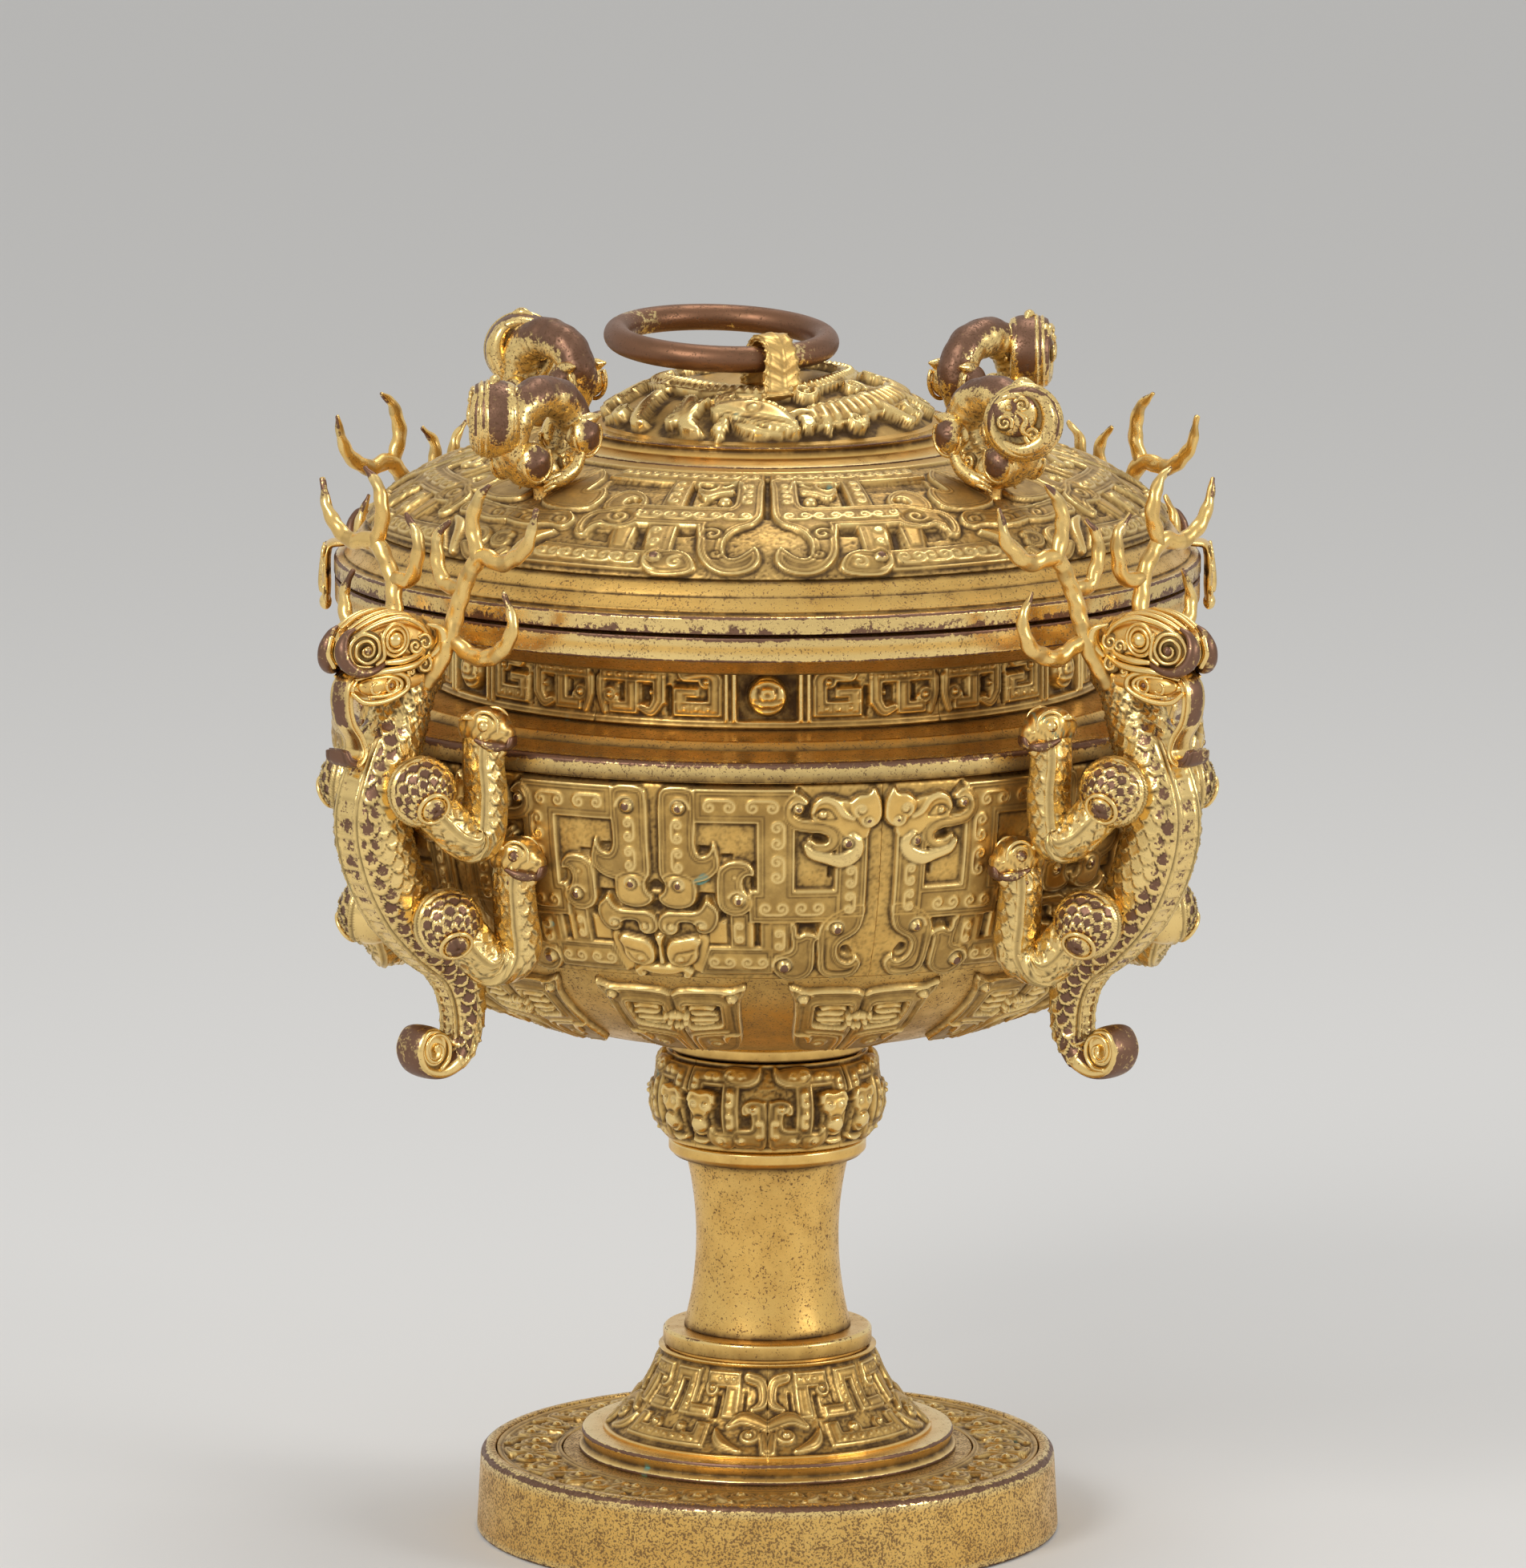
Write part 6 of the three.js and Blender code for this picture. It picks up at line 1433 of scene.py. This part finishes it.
def legForm(level, hand):
    limb = Pile()
    radius = 8.1
    centre, aim = handle["haunch"][level]
    spot = lambda place: np.array([plan["bowl"] + place[0], hand * place[1], levels["shoulderBase"] + place[2]])
    boss = np.array([aim[0], hand * aim[1], aim[2]]) / np.linalg.norm(aim)
    facing = np.array([0.42, hand * 0.9, 0.1]) / np.linalg.norm([0.42, 0.9, 0.1])
    limb.cap(spot(centre), boss, radius, haunchSkin(facing, radius))
    seat = spot(centre) + boss * (radius - 0.1)
    limb.wheel(seat, boss, [(0.05, 1.5), (1.3, 1.38), (2.4, 1.0), (3.0, 0.4), (3.1, -1.2), (0.05, -1.2)], 32,
               skin=lambda r, o, t: (1.02 - 0.1 * r, 0.3 * (np.sin(3 * t) > 0.8)))
    tube = [(3.75 + 0.55 * math.cos(a), -0.1 + 0.55 * math.sin(a)) for a in np.linspace(0, 2 * math.pi, 10, endpoint=False)]
    limb.wheel(seat, boss, tube, 40, edge=0.45)
    limb.sweep(placed(handle[level], hand), step=0.43, around=68, across=(1, 0, 0), skin=limbSkin, square=2.6)
    # the rearing serpent's head: forward, side and up from the end of its neck
    x, y, z, _ = handle[level][-1]
    forward = np.array([-0.42, 0.9 * hand, -0.12])
    forward /= np.linalg.norm(forward)
    side = np.cross(forward, (0, 0, 1.0))
    side /= np.linalg.norm(side)
    up = np.cross(side, forward)
    root = spot((x, y, z + 1.2))
    at = lambda f, w, u: root + forward * f + side * w + up * u
    head = lambda *stations, **more: limb.sweep([(*at(f, w, u), *rest) for f, w, u, *rest in stations], step=0.45,
                                                across=tuple(side), **more)
    # the head's pits are painted as dark spots, shade and dirt
    pitted = lambda s, turn, r: (0.12 * np.sin(3 * s) * np.sin(4 * turn), 0.2 + 0 * s,
                                 0.7 * (np.sin(2.7 * s + 2 * np.sin(3 * turn)) > 0.72))
    head((-4.2, 0, 0.6, 3.2), (-1.4, 0, 1.4, 4.5), (1.4, 0, 1.2, 4.7), (3.8, 0, 0.6, 4.1), (5.4, 0, 0.2, 2.9), around=36,
         skin=pitted, square=2.6)
    head((-2, 0, -2.8, 3.2), (1.2, 0, -3.8, 3.0), (3.6, 0, -3.7, 2.3), (4.8, 0, -3.2, 1.4), around=24, edge=0.3)
    head((5.6, 0, -2.6, 0.9, 2.6), (6.8, 0, -1.4, 1.0, 2.8), (6.9, 0, 0.2, 0.9, 2.4), around=14, edge=0.9)
    head((6.2, 0, 1.8, 0.5), (3.6, 0, 3.9, 0.7), (0, 0, 5.2, 0.7), (-3.4, 0, 4.6, 0.4), around=8, edge=0.4)
    for hold in (-1, 1):
        limb.ball(at(1.0, hold * 4.0, 2.4), (1.5, 1.5, 1.5), 16, 10, edge=0.75)
        # a dark disc behind each eye's rings, painted shade
        limb.wheel(at(1.0, hold * 3.7, 2.4), side * hold, [(0.05, 0.3), (2.9, 0), (2.9, -0.8), (0.05, -0.8)], 20,
                   skin=lambda r, o, t: (0 * r + 0.2, 0 * r + 0.9))
        for size in (2.1, 3.3):
            ring = [at(1.0 + size * math.cos(a), hold * (4.35 - 0.28 * size), 2.4 + size * math.sin(a))
                    for a in np.linspace(0.3, 6.6, 16)]
            limb.sweep([(*place, 0.5) for place in ring], step=0.5, around=8, across=tuple(side), edge=0.45)
        head((6.6, hold * 1.4, -1.6, 0.6), (5.0, hold * 3.6, -1.9, 1.15), (2.6, hold * 4.6, -1.8, 1.1),
             (-0.4, hold * 4.7, -1.0, 0.5), around=12, edge=0.88)
        limb.scroll(at(0.8, hold * 3.9, -4.0), 2.3, side * hold, 200, hold * hand, 1.4, 0.55, edge=0.45, lift=0.2)
        limb.ball(at(0.8, hold * 4.2, -4.0), (0.9, 0.9, 0.9), 10, 6, edge=0.9)
        limb.scroll(at(5.0, hold * 2.3, 2.2), 1.7, side * hold * 0.6 + up * 0.6 + forward * 0.6, 90, hold * hand, 1.2, 0.5,
                    edge=0.45)
        head((-1.6, hold * 3.6, 3.6, 0.4), (-3.4, hold * 4.1, 3.8, 0.9), (-5.2, hold * 3.6, 2.6, 0.4), around=8, edge=0.4)
    return limb


antlerShape = {"beam": 2.1, "tines": [
    [(13.5, 5.2, 20.5, 1.0), (11.2, 8.4, 27.5, 1.1), (9, 10.2, 35.8, 1.05), (8, 12.5, 44, 1.0), (8, 18, 51, 1.0), (8, 26, 50.5, 0.95),
     (7.8, 33.3, 55.5, 0.8), (7.7, 36.2, 64, 0.3)],
    [(9.5, 10, 31, 0.9), (9, 18, 27.5, 1.0), (8.5, 26, 30.5, 0.95), (8, 28.5, 37, 0.7), (8, 25.5, 43.5, 0.25)],
    [(8, 11.5, 43, 0.9), (8, 5.8, 43.6, 0.9), (8, 3.4, 49, 0.85), (8, 3.6, 54.5, 0.65), (8, 7.4, 58.5, 0.25)],
    [(8, 17.5, 50, 0.9), (8, 15.2, 58, 0.9), (8, 17, 64.5, 0.7), (8, 21, 68.2, 0.25)],
]}


def antlerForm(hand):
    horn = Pile()

    def skin(s, turn, radius):
        tip = ease((1.75 - radius) / 0.9)
        lump = 0.12 * np.sin(1.3 * s + 2 * turn) + 0.1 * np.sin(0.7 * s - turn)
        return lump, 0.25 + 0.6 * tip * (np.sin(turn + 0.6) > -0.2), 0.3 * (np.sin(0.45 * s + 1) > 0.82)

    for tine in antlerShape["tines"]:
        horn.sweep(placed([(x, y, z, r * antlerShape["beam"]) for x, y, z, r in tine], hand), step=0.7, around=20,
                   across=(1, 0, 0), flat=0.9, skin=skin)
    return horn


def buildHandles():
    for place, turn in handle["turns"].items():
        dragonForm().build("dragonBeast_" + place, "beast", "root", ["dragon_" + place], turn)
        for side, hand in (("left", -1), ("right", 1)):
            name = "%s_%s" % (place, side)
            antlerForm(hand).build("antlerHorn_" + name, "beast", "root", ["antler_" + name], turn)
            legForm("upperLeg", hand).build("upperLeg_" + name, "beast", "root", ["leg_%s_upper_%s" % (place, side)], turn)
            legForm("lowerLeg", hand).build("lowerLeg_" + name, "beast", "root", ["leg_%s_lower_%s" % (place, side)], turn)


buildHandles()
print("dragon handles ready")

# ---- lid fittings: coiled-beast knobs, ring, strap, clasps and the medallion


knob = {"reach": 75.0, "middle": 274.1, "ring": 8.8, "wide": 10.2, "tube": 4.75, "coil": (12.4, -2.8, 4.3),
        "disc": 9.1, "width": 9.8, "lines": (1.7, 3.2)}


def wornBoss(facing):
    # a haunch whose outer side is rubbed to the copper
    facing = np.array(facing, float) / np.linalg.norm(facing)

    def skin(way):
        near = way @ facing
        return 0.12 * np.sin(7 * way[..., 2] + 3 * way[..., 0]), 0.4 + 0.6 * np.clip((near - 0.15) / 0.75, 0, 1), 0 * near
    return skin


def knobForm():
    beast = Pile()
    reach, middle, ring, wide, tube = knob["reach"], knob["middle"], knob["ring"], knob["wide"], knob["tube"]

    def archSkin(s, turn, radius):
        along = s / (0.5 * (ring + wide)) - 1.6
        top = np.clip(0.35 + np.cos(along - 1.15), 0, 1) * np.clip(0.45 + 0.8 * np.sin(turn + 0.2), 0, 1)
        lump = 0.14 * np.sin(0.8 * s + turn) + 0.08 * np.sin(1.7 * s - 2 * turn)
        pits = np.sin(1.9 * s + 1.7 * np.sin(3 * turn)) * np.sin(5 * turn + np.sin(s)) > 0.8
        # the arch's underside is painted darker as shade, and its pits dark as shade and dirt
        return lump - 0.2 * pits, 0.4 + 0.6 * top, np.clip(0.7 * pits * (1 - top) + 0.35 * ease(-np.sin(turn)), 0, 1)

    arch = [(reach - wide * math.cos(a), 0.25 * math.sin(a), middle + ring * math.sin(a), tube * (0.97 + 0.05 * math.sin(a)))
            for a in np.linspace(-1.6, 4.75, 22)]
    beast.sweep(arch, step=0.5, around=44, skin=archSkin)
    beast.sweep([(reach - 1, 0, middle - ring - 2, 3.6), (reach - 1, 0, middle - ring - 5.4, 2.7),
                 (reach - 1, 0, middle - ring - 9, 3.4)], step=0.6, around=24, across=(1, 0, 0), edge=0.2)
    # the coiled end: a thick disc with a worn rim and two raised lines round it
    coilAt = np.array([reach, 0, middle]) + np.array(knob["coil"])
    axis = np.array([1.0, -1.0, 0]) / math.sqrt(2)
    side = np.array([1.0, 1.0, 0]) / math.sqrt(2)
    disc, half = knob["disc"], knob["width"] / 2
    offsets = np.linspace(0.35 - half, half - 0.35, 44)
    lines = lambda offset, spread: sum(np.exp(-((offset - at) / spread) ** 2) for at in knob["lines"])
    rim = disc * (1 - 0.13 * np.abs(offsets / half) ** 2.6) + 0.42 * lines(offsets, 0.26)
    face = [(0.05, -1.3), (4, -1.0), (6.2, -0.5), (7.2, 0)]
    outline = [(r, -half - o) for r, o in face] + list(zip(rim, offsets)) + [(r, half + o) for r, o in face[::-1]]

    def coilSkin(reachNow, offset, turn):
        worn = ease((reachNow - 7.3) / 0.5) * np.clip(1.1 + np.cos(turn), 0, 1) * np.clip((offset + 4.7) / 2.4, 0, 1)
        line = lines(offset, 0.42) * (reachNow > 7.5)
        # the disc's face inside its rim is painted dark as shade, except where worn
        return 0.42 + 0.58 * worn * (1 - line), 0.75 * ease((7.0 - reachNow) / 0.8) * (1 - worn)

    beast.wheel(coilAt, axis, outline, 96, skin=coilSkin)
    for way in (-1, 1):
        front = axis * way
        on = lambda a, b, c=0.0: coilAt + front * (half - 1.2 + c) + side * a + np.array([0, 0, b])
        # the beast's face curled into the disc, with the body's crescent round it; the grooves between its ridges are
        # painted dark as shade
        bulge = [(5.5 * math.cos(t) + 0.05, 2.3 * math.sin(t)) for t in np.linspace(0, math.pi / 2, 12)]
        beast.wheel(on(-2.2, 2.3), front, bulge + [(0.05, -1.2), (5.5, -1.2)], 48,
                    skin=lambda r, o, t: (0.4 + 0.6 * (np.sin(3 * t + 0.7 * r) > -0.1), 0.7 * (np.abs(np.sin(3 * t + 0.7 * r) + 0.1) < 0.14)))
        beast.sweep([(*on(1.0, 7.2, -0.4), 0.7), (*on(4.6, 5.2, 0.1), 1.5), (*on(6.0, 0.8, 0.3), 1.9), (*on(4.2, -4.2, 0.3), 2.0),
                     (*on(-0.6, -6.2, 0.1), 1.7), (*on(-5.2, -4.4, -0.3), 1.1)], step=0.45, around=22, across=tuple(front),
                    edge=0.5)
        beast.sweep([(*on(2.6, 7.6, -0.2), 0.3), (*on(7.2, 3.8, -0.1), 0.45), (*on(8.0, -1.4, 0), 0.45), (*on(5.0, -6.6, 0), 0.45),
                     (*on(-1.0, -8.0, 0), 0.35)], step=0.5, around=8, across=tuple(front), edge=0.45)
        beast.scroll(on(-4.6, 0.4, 2.0), 2.3, front, 210, -way, 1.5, 0.55, edge=0.45)
        beast.scroll(on(-0.6, 4.6, 2.0), 2.1, front, 30, way, 1.4, 0.5, edge=0.45)
        beast.scroll(on(2.0, -2.6, 1.0), 2.3, front, 300, way, 1.4, 0.6, edge=0.45)
        beast.ball(on(-3.6, 4.0, 1.9), (0.95, 0.95, 0.95), 14, 8, edge=0.5)
        beast.sweep([(*on(-6.6, 4.8, 0.6), 0.4), (*on(-4.4, 6.4, 1.2), 0.8), (*on(-1.4, 6.6, 1.4), 0.75), (*on(0.6, 5.9, 0.8), 0.3)],
                    step=0.5, around=10, across=tuple(front), edge=0.5)
        beast.sweep([(*on(-1.8, 3.2, 2.4), 0.3), (*on(0.4, 1.2, 2.3), 0.75), (*on(-0.4, -1.4, 2.1), 0.7), (*on(1.6, -3.0, 1.1), 0.3)],
                    step=0.5, around=10, across=tuple(front), edge=0.5)
    beast.sweep([(*(coilAt + np.array([-2.2, -1.2, disc - 0.6])), 0.6), (*(coilAt + np.array([0, 0, disc + 0.1])), 1.3),
                 (*(coilAt + np.array([2.2, 1.2, disc - 0.6])), 0.6)], step=0.5, around=14, edge=0.45)
    for hand in (-1, 1):
        # haunches at both feet of the arch, their paws and the two pointed ears
        inner, outer = (reach - 9.4, hand * 4.2, middle - 1.1), (reach + 6.8, hand * 4.0, middle - 5.7)
        beast.ball(inner, (4.1, 4.0, 4.5), 40, 28, skin=wornBoss((-0.2, hand, 0.25)))
        beast.ball(outer, (4.5, 4.2, 4.7), 40, 28, skin=wornBoss((0.2, hand, 0.1)))
        for x, y, z in (inner, outer):
            loop = [(x + 4.4 * math.cos(a), y + hand * 1.6, z + 4.7 * math.sin(a), 0.5) for a in np.linspace(2.6, 6.3, 16)]
            beast.sweep(loop, step=0.5, around=8, edge=0.4)
        beast.sweep([(reach - 8.4, hand * 4.4, middle - 4.4, 1.7), (reach - 5.6, hand * 5.0, middle - 8.2, 2.0),
                     (reach - 1.6, hand * 4.6, middle - 10.4, 2.1), (reach + 1.4, hand * 4.2, middle - 11.2, 1.4)], step=0.5,
                    around=18, edge=0.35)
        for step in (-1.1, 0, 1.1):
            beast.sweep([(reach - 0.6, hand * 5.4 + 0.2 * step, middle - 10.3 + step, 0.6),
                         (reach + 2.0, hand * 4.9, middle - 11.1 + step, 0.75), (reach + 3.2, hand * 4.2, middle - 12 + step, 0.3)],
                        step=0.5, around=8, edge=0.5)
        beast.scroll((reach - 3.6, hand * (0.5 * tube + 2.3), middle - 6.4), 2.3, (0, hand, 0.1), 40, hand, 1.4, 0.6, edge=0.4)
        beast.sweep([(reach - 9.0, hand * 4.0, middle + 2.2, 2.0), (reach - 11.6, hand * 4.8, middle + 2.8, 1.6),
                     (reach - 14.2, hand * 5.2, middle + 3.4, 0.4)], step=0.5, around=14, edge=0.45)
    return beast


def buildRing():
    turn, tilt = math.radians(28.5), math.radians(4.65)
    eye = np.array([0.9, -18.0, 287.125])
    along = np.array([math.cos(turn), math.sin(turn), 0])
    back = np.array([-math.sin(turn) * math.cos(tilt), math.cos(turn) * math.cos(tilt), math.sin(tilt)])
    ring = Pile()
    circle = [(25 + 3.18 * math.cos(a), 3.18 * math.sin(a)) for a in np.linspace(0, 2 * math.pi, 28, endpoint=False)]
    ring.wheel(eye + 25 * back, np.cross(along, back), circle, 180, across=tuple(along),
               skin=lambda r, o, t: (0.85 + 0.1 * np.sin(2 * t + 1) + 0.08 * np.sin(5 * t), 0.2 * (np.sin(7 * t + o) > 0.6)))
    ring.build("carryingRingBronze", "bronze", "ring", ["carrying_ring"], slot="bare_bronze")

    across = np.array([-math.sin(turn), math.cos(turn), 0])
    stations = [(-7.4, -8.6, 1.5), (-6.0, -7.0, 1.2), (-5.3, -4, 1.05), (-5.15, 0, 0.98)]
    stations += [(-5.15 * math.cos(a), 5.15 * math.sin(a), 0.88) for a in (0.5, 1.05, 1.57, 2.1, 2.64)]
    stations += [(5.15, 0, 0.98), (5.2, -3, 1.05), (5.6, -6.2, 1.2)]
    path = [(*(eye + across * x + np.array([0, 0, y])), r) for x, y, r in stations]

    def leaf(s, angle, radius):
        across = np.cos(angle)
        rise = 0.3 * np.exp(-(across / 0.1) ** 2) + 0.22 * np.exp(-((np.abs(across) - 0.72) / 0.08) ** 2)
        vein = np.abs(((s - 3.0 * np.abs(across)) / 2.6) % 1 - 0.5)
        # the troughs between the veins are painted dark as shade
        return rise + 0.14 * np.exp(-(vein / 0.12) ** 2), 0.15 + 0 * s, 0.3 * (vein > 0.4)

    strap = Pile()
    strap.sweep(path, step=0.35, around=56, across=tuple(along), flat=4.4, skin=leaf, blunt=0.3)
    strap.build("ringStrapLeaf", "dusty", "lid", ["ring_strap"], slot="dusky_gilt")


def claspForm():
    mask = Pile()
    mask.sweep([(98.8, 0, 241.6, 0.8), (101.2, 0, 240.6, 0.9), (104.5, 0, 240.1, 1.0), (105.5, 0, 237.6, 1.15),
                (105.6, 0, 234, 1.15), (105.5, 0, 230.4, 1.1), (105.5, 0, 227, 0.9)], step=0.4, around=36, flat=4.6,
               edge=0.25)
    mask.ball((105.8, 0, 226.2), (1.5, 2.2, 2.0), 20, 14, edge=0.6)
    mask.sweep([(105.8, 0, 239, 0.8), (106.2, 0, 235, 1.1), (106.2, 0, 231, 1.4), (106.2, 0, 229, 1.2)], step=0.4,
               around=14, edge=0.35)
    for hand in (-1, 1):
        mask.ball((106.2, hand * 2.4, 234.6), (1.0, 1.1, 1.1), 14, 8, edge=0.5)
        mask.scroll((106.2, hand * 2.5, 234.6), 2.1, (1, 0, 0), 80, hand, 1.3, 0.5)
        mask.scroll((106.2, hand * 3.4, 238.6), 1.9, (1, 0, 0.1), 200, -hand, 1.4, 0.55, edge=0.4)
        mask.scroll((106.1, hand * 3.1, 229.6), 2.0, (1, 0, 0), 20, hand, 1.4, 0.55, edge=0.4)
        mask.sweep([(106.0, hand * 1.0, 237, 0.5), (106.3, hand * 3.2, 236.9, 0.7), (105.8, hand * 5.0, 235.6, 0.4)],
                   step=0.4, around=10, edge=0.5)
    return mask


def buildMedallion():
    share = np.linspace(0, 1, 24)
    top = np.stack([41 * (1 - share), medallionHeight(41 * (1 - share)) - 0.7], -1)
    inner = np.stack([35 * share, np.maximum(medallionHeight(35 * share) - 3, 269.6)], -1)
    turnedPiece("medallionShell", [(41, 269.5), *top[1:-1].tolist(), (0, 281.6), *inner.tolist()], "dusty", "lid",
                ["lid_medallion"], radius=0.05)
    across, down = 440, 94
    turn, reach = np.meshgrid(np.linspace(0, 2 * math.pi, across, endpoint=False), np.linspace(40.9, 0.4, down))
    disc = Carving(0, 1, 0, 1, 0.43)
    disc.u, disc.v = reach * np.cos(turn), reach * np.sin(turn)
    disc.height, disc.rubbedAndHighlit, disc.dark = (np.zeros(turn.shape) for _ in range(3))
    # the coiled body, ribbed across, from beside the head twice round to the middle
    wind = np.linspace(-1.2, 9.2, 64)
    fall = (wind + 1.2) / 10.4
    body = [((33 - 19 * f + 1.3 * math.sin(3 * a)) * math.cos(a), (33 - 19 * f + 1.3 * math.sin(3 * a)) * math.sin(a), 3.9 - 2.5 * f)
            for a, f in zip(wind, fall)]
    bodyGap = brush(*body, bent=False)
    disc.lift(bodyGap, 2.3, line=0.8, depth=0.45, crown=0.6)
    inside = ease((-bodyGap(disc.u, disc.v) - 0.9) / 0.5)
    disc.height += 0.3 * inside * np.sin(74 * turn)
    draw = np.random.default_rng(21)
    for ring, count in ((6.5, 3), (24.5, 9), (39.0, 13)):
        for n in range(count):
            a = 2 * math.pi * (n + 0.4 * draw.random()) / count
            u, v, size = ring * math.cos(a), ring * math.sin(a), 2.5 + 1.1 * draw.random()
            hand, start = (1 if draw.random() < 0.5 else -1), 360 * draw.random()
            if ring > 36:
                u, v, size = 0.93 * u, 0.93 * v, 0.85 * size
            disc.lift(coil(u, v, size, start, hand, 1.4, 0.9), 2.5 + 0.6 * draw.random(), line=0, bevel=0.45, crown=0.3)
            b = math.radians(start)
            tip = (u + 2.3 * size * math.cos(b + 0.7), v + 2.3 * size * math.sin(b + 0.7))
            disc.lift(brush((u + size * math.cos(b), v + size * math.sin(b), 0.9),
                            ((u + tip[0]) / 2 + 0.6, (v + tip[1]) / 2, 1.2), (*tip, 0.2)), 2.3, line=0.55, depth=0.3)
    # claws and leaves that run out to the border
    for a in np.radians([-128, -102, -38, -12, 24, 62, 98, 136, 172, 208]):
        c, s = math.cos(a), math.sin(a)
        disc.lift(brush((29 * c, 29 * s, 1.8), (34 * c - 2 * s, 34 * s + 2 * c, 1.9), (37.6 * c - 5.4 * s, 37.6 * s + 5.4 * c, 1.3),
                        (36.6 * c - 8.6 * s, 36.6 * s + 8.6 * c, 0.3)), 2.9, line=0.6, depth=0.35, crown=0.3)
    # the head, nose down towards the front border
    disc.lift(joined(brush((-11, -30.6, 2.2), (-5.6, -31.8, 3.6), (-0.6, -33.6, 4.0), (3.6, -35.8, 2.8), (6.6, -37.6, 1.2)),
                     coil(-9.4, -28.4, 3.4, 60, 1, 1.3, 1.2)), 3.6, line=0.8, depth=0.5, crown=0.6)
    disc.lift(brush((-8, -35, 0.5), (-4.4, -36.9, 1.5), (0.4, -38.2, 1.3), (3.4, -38.8, 0.4)), 2.7, line=0.5)
    disc.lift(brush((4.4, -33.2, 0.6), (8.2, -31.4, 1.3), (12.4, -32.4, 1.1), (15, -35.4, 0.3)), 3.0, line=0.5)
    disc.lift(brush((-15.6, -35.6, 0.6), (-18.6, -32, 1.8), (-17, -27.4, 1.5), (-13.4, -24.6, 0.5)), 3.0, line=0.6)
    disc.dome(-3.2, -32.6, 1.5, 0.9, 0.5, 3.6)
    disc.cut(brush((-5.4, -34.6, 0), (0, -36.2, 0), (5.4, -37.2, 0)), 0.6, 0.35)
    disc.height -= 0.5 * ease((reach - 39.4) / 0.8) * disc.height
    edge, hollow = disc.masks()
    rise = disc.height - 0.5
    rise[0] = -1.2
    slope = -plan["medallionRise"] * 2.4 * (reach / 41) ** 1.4 / 41
    size = np.hypot(1, slope)
    out = np.minimum(reach - rise * slope / size, 41.0)
    level = np.minimum(medallionHeight(reach) + rise / size, 283.4)
    points = np.stack([out * np.cos(turn), out * np.sin(turn), level], -1).reshape(-1, 3)
    faces = gridFaces(down, across, closed=True).tolist()
    faces.append(tuple(range((down - 1) * across, down * across)))
    addPiece("medallionRelief", points, faces, "dusty", "lid", (), edge.ravel(), hollow.ravel(), sharp=0)


def footOpenwork():
    # one sixth of the flat ring: leaf scrolls round pierced slots, v runs outwards
    band = Carving(0, 30.4, 0.2, 15.7, relief["fine"])
    band.lift(strip(-1, -1, 31, 1.4), 0.9, line=0.5)
    band.lift(strip(-1, 14.2, 31, 17), 0.9, line=0.5)
    band.lift(joined(coil(6.6, 6.2, 4.0, 60, 1, 1.5, 1.3), brush((2.6, 8, 1.4), (1.2, 11.4, 1.5), (4, 13, 1.1))), 1.2, line=0.6)
    band.lift(joined(coil(16.6, 9.4, 4.0, 240, 1, 1.5, 1.3), brush((20.6, 8, 1.3), (21, 4.4, 1.4), (17, 2.4, 0.8))), 1.2,
              line=0.6)
    band.lift(joined(coil(26.4, 6.4, 3.8, 60, 1, 1.5, 1.3), brush((22.6, 8.4, 1.3), (22.8, 11.8, 1.4), (27, 13.2, 0.9))), 1.2,
              line=0.6)
    band.lift(brush((8.8, 10.8, 0.8), (11.2, 7.6, 1.3), (11, 3.4, 0.7)), 1.1, line=0.5)
    band.lift(brush((29, 10.8, 0.8), (30.6, 7.6, 1.3), (30.4, 3.4, 0.7)), 1.1, line=0.5)
    for u, v in ((6.6, 6.2), (16.6, 9.4), (26.4, 6.4)):
        band.dome(u, v, 1.2, 0.7, 0.4, 0.9)
    for hole in (brush((10.2, 12.6, 0.7), (12, 11, 0.8)), brush((12.9, 3, 0.7), (13.4, 6, 0.9)),
                 brush((1.6, 2.8, 0.6), (2.2, 5, 0.7)), brush((21.4, 12.8, 0.6), (19.4, 13.2, 0.4)),
                 brush((23.4, 2.8, 0.7), (22.8, 5.4, 0.6)), brush((6.6, 11.4, 0.5), (8.2, 12.6, 0.6))):
        band.sink(hole, 1.3)
    return band.mirrored()


def buildFittings():
    for place, turn in handle["turns"].items():
        knobForm().build("knobBeast_" + place, "knob", "lid", ["knob_" + place], turn)
    for side, turn in (("right", 0), ("left", 180)):
        claspForm().build("claspMask_" + side, "rubbedAndHighlit", "lid", ["clasp_" + side], turn)
    buildRing()
    buildMedallion()
    band = footOpenwork()
    for n in range(6):
        wrapCarving("footRelief%d" % (n + 1), band, [(49.7, 19.5), (65.7, 19.5)], 1.012, 60 * n, "relief", "root",
                    ground=-0.6, skirt=0.4, stands=["foot_openwork_ring"] if n == 0 else ())


buildFittings()
print("lid fittings and foot ring ready")

# tail
for name, node in frame["nodes"].items():
    node.data.materials.clear()
    node.data.materials.append(finishes["bronze" if name == "carrying_ring" else "beast"])
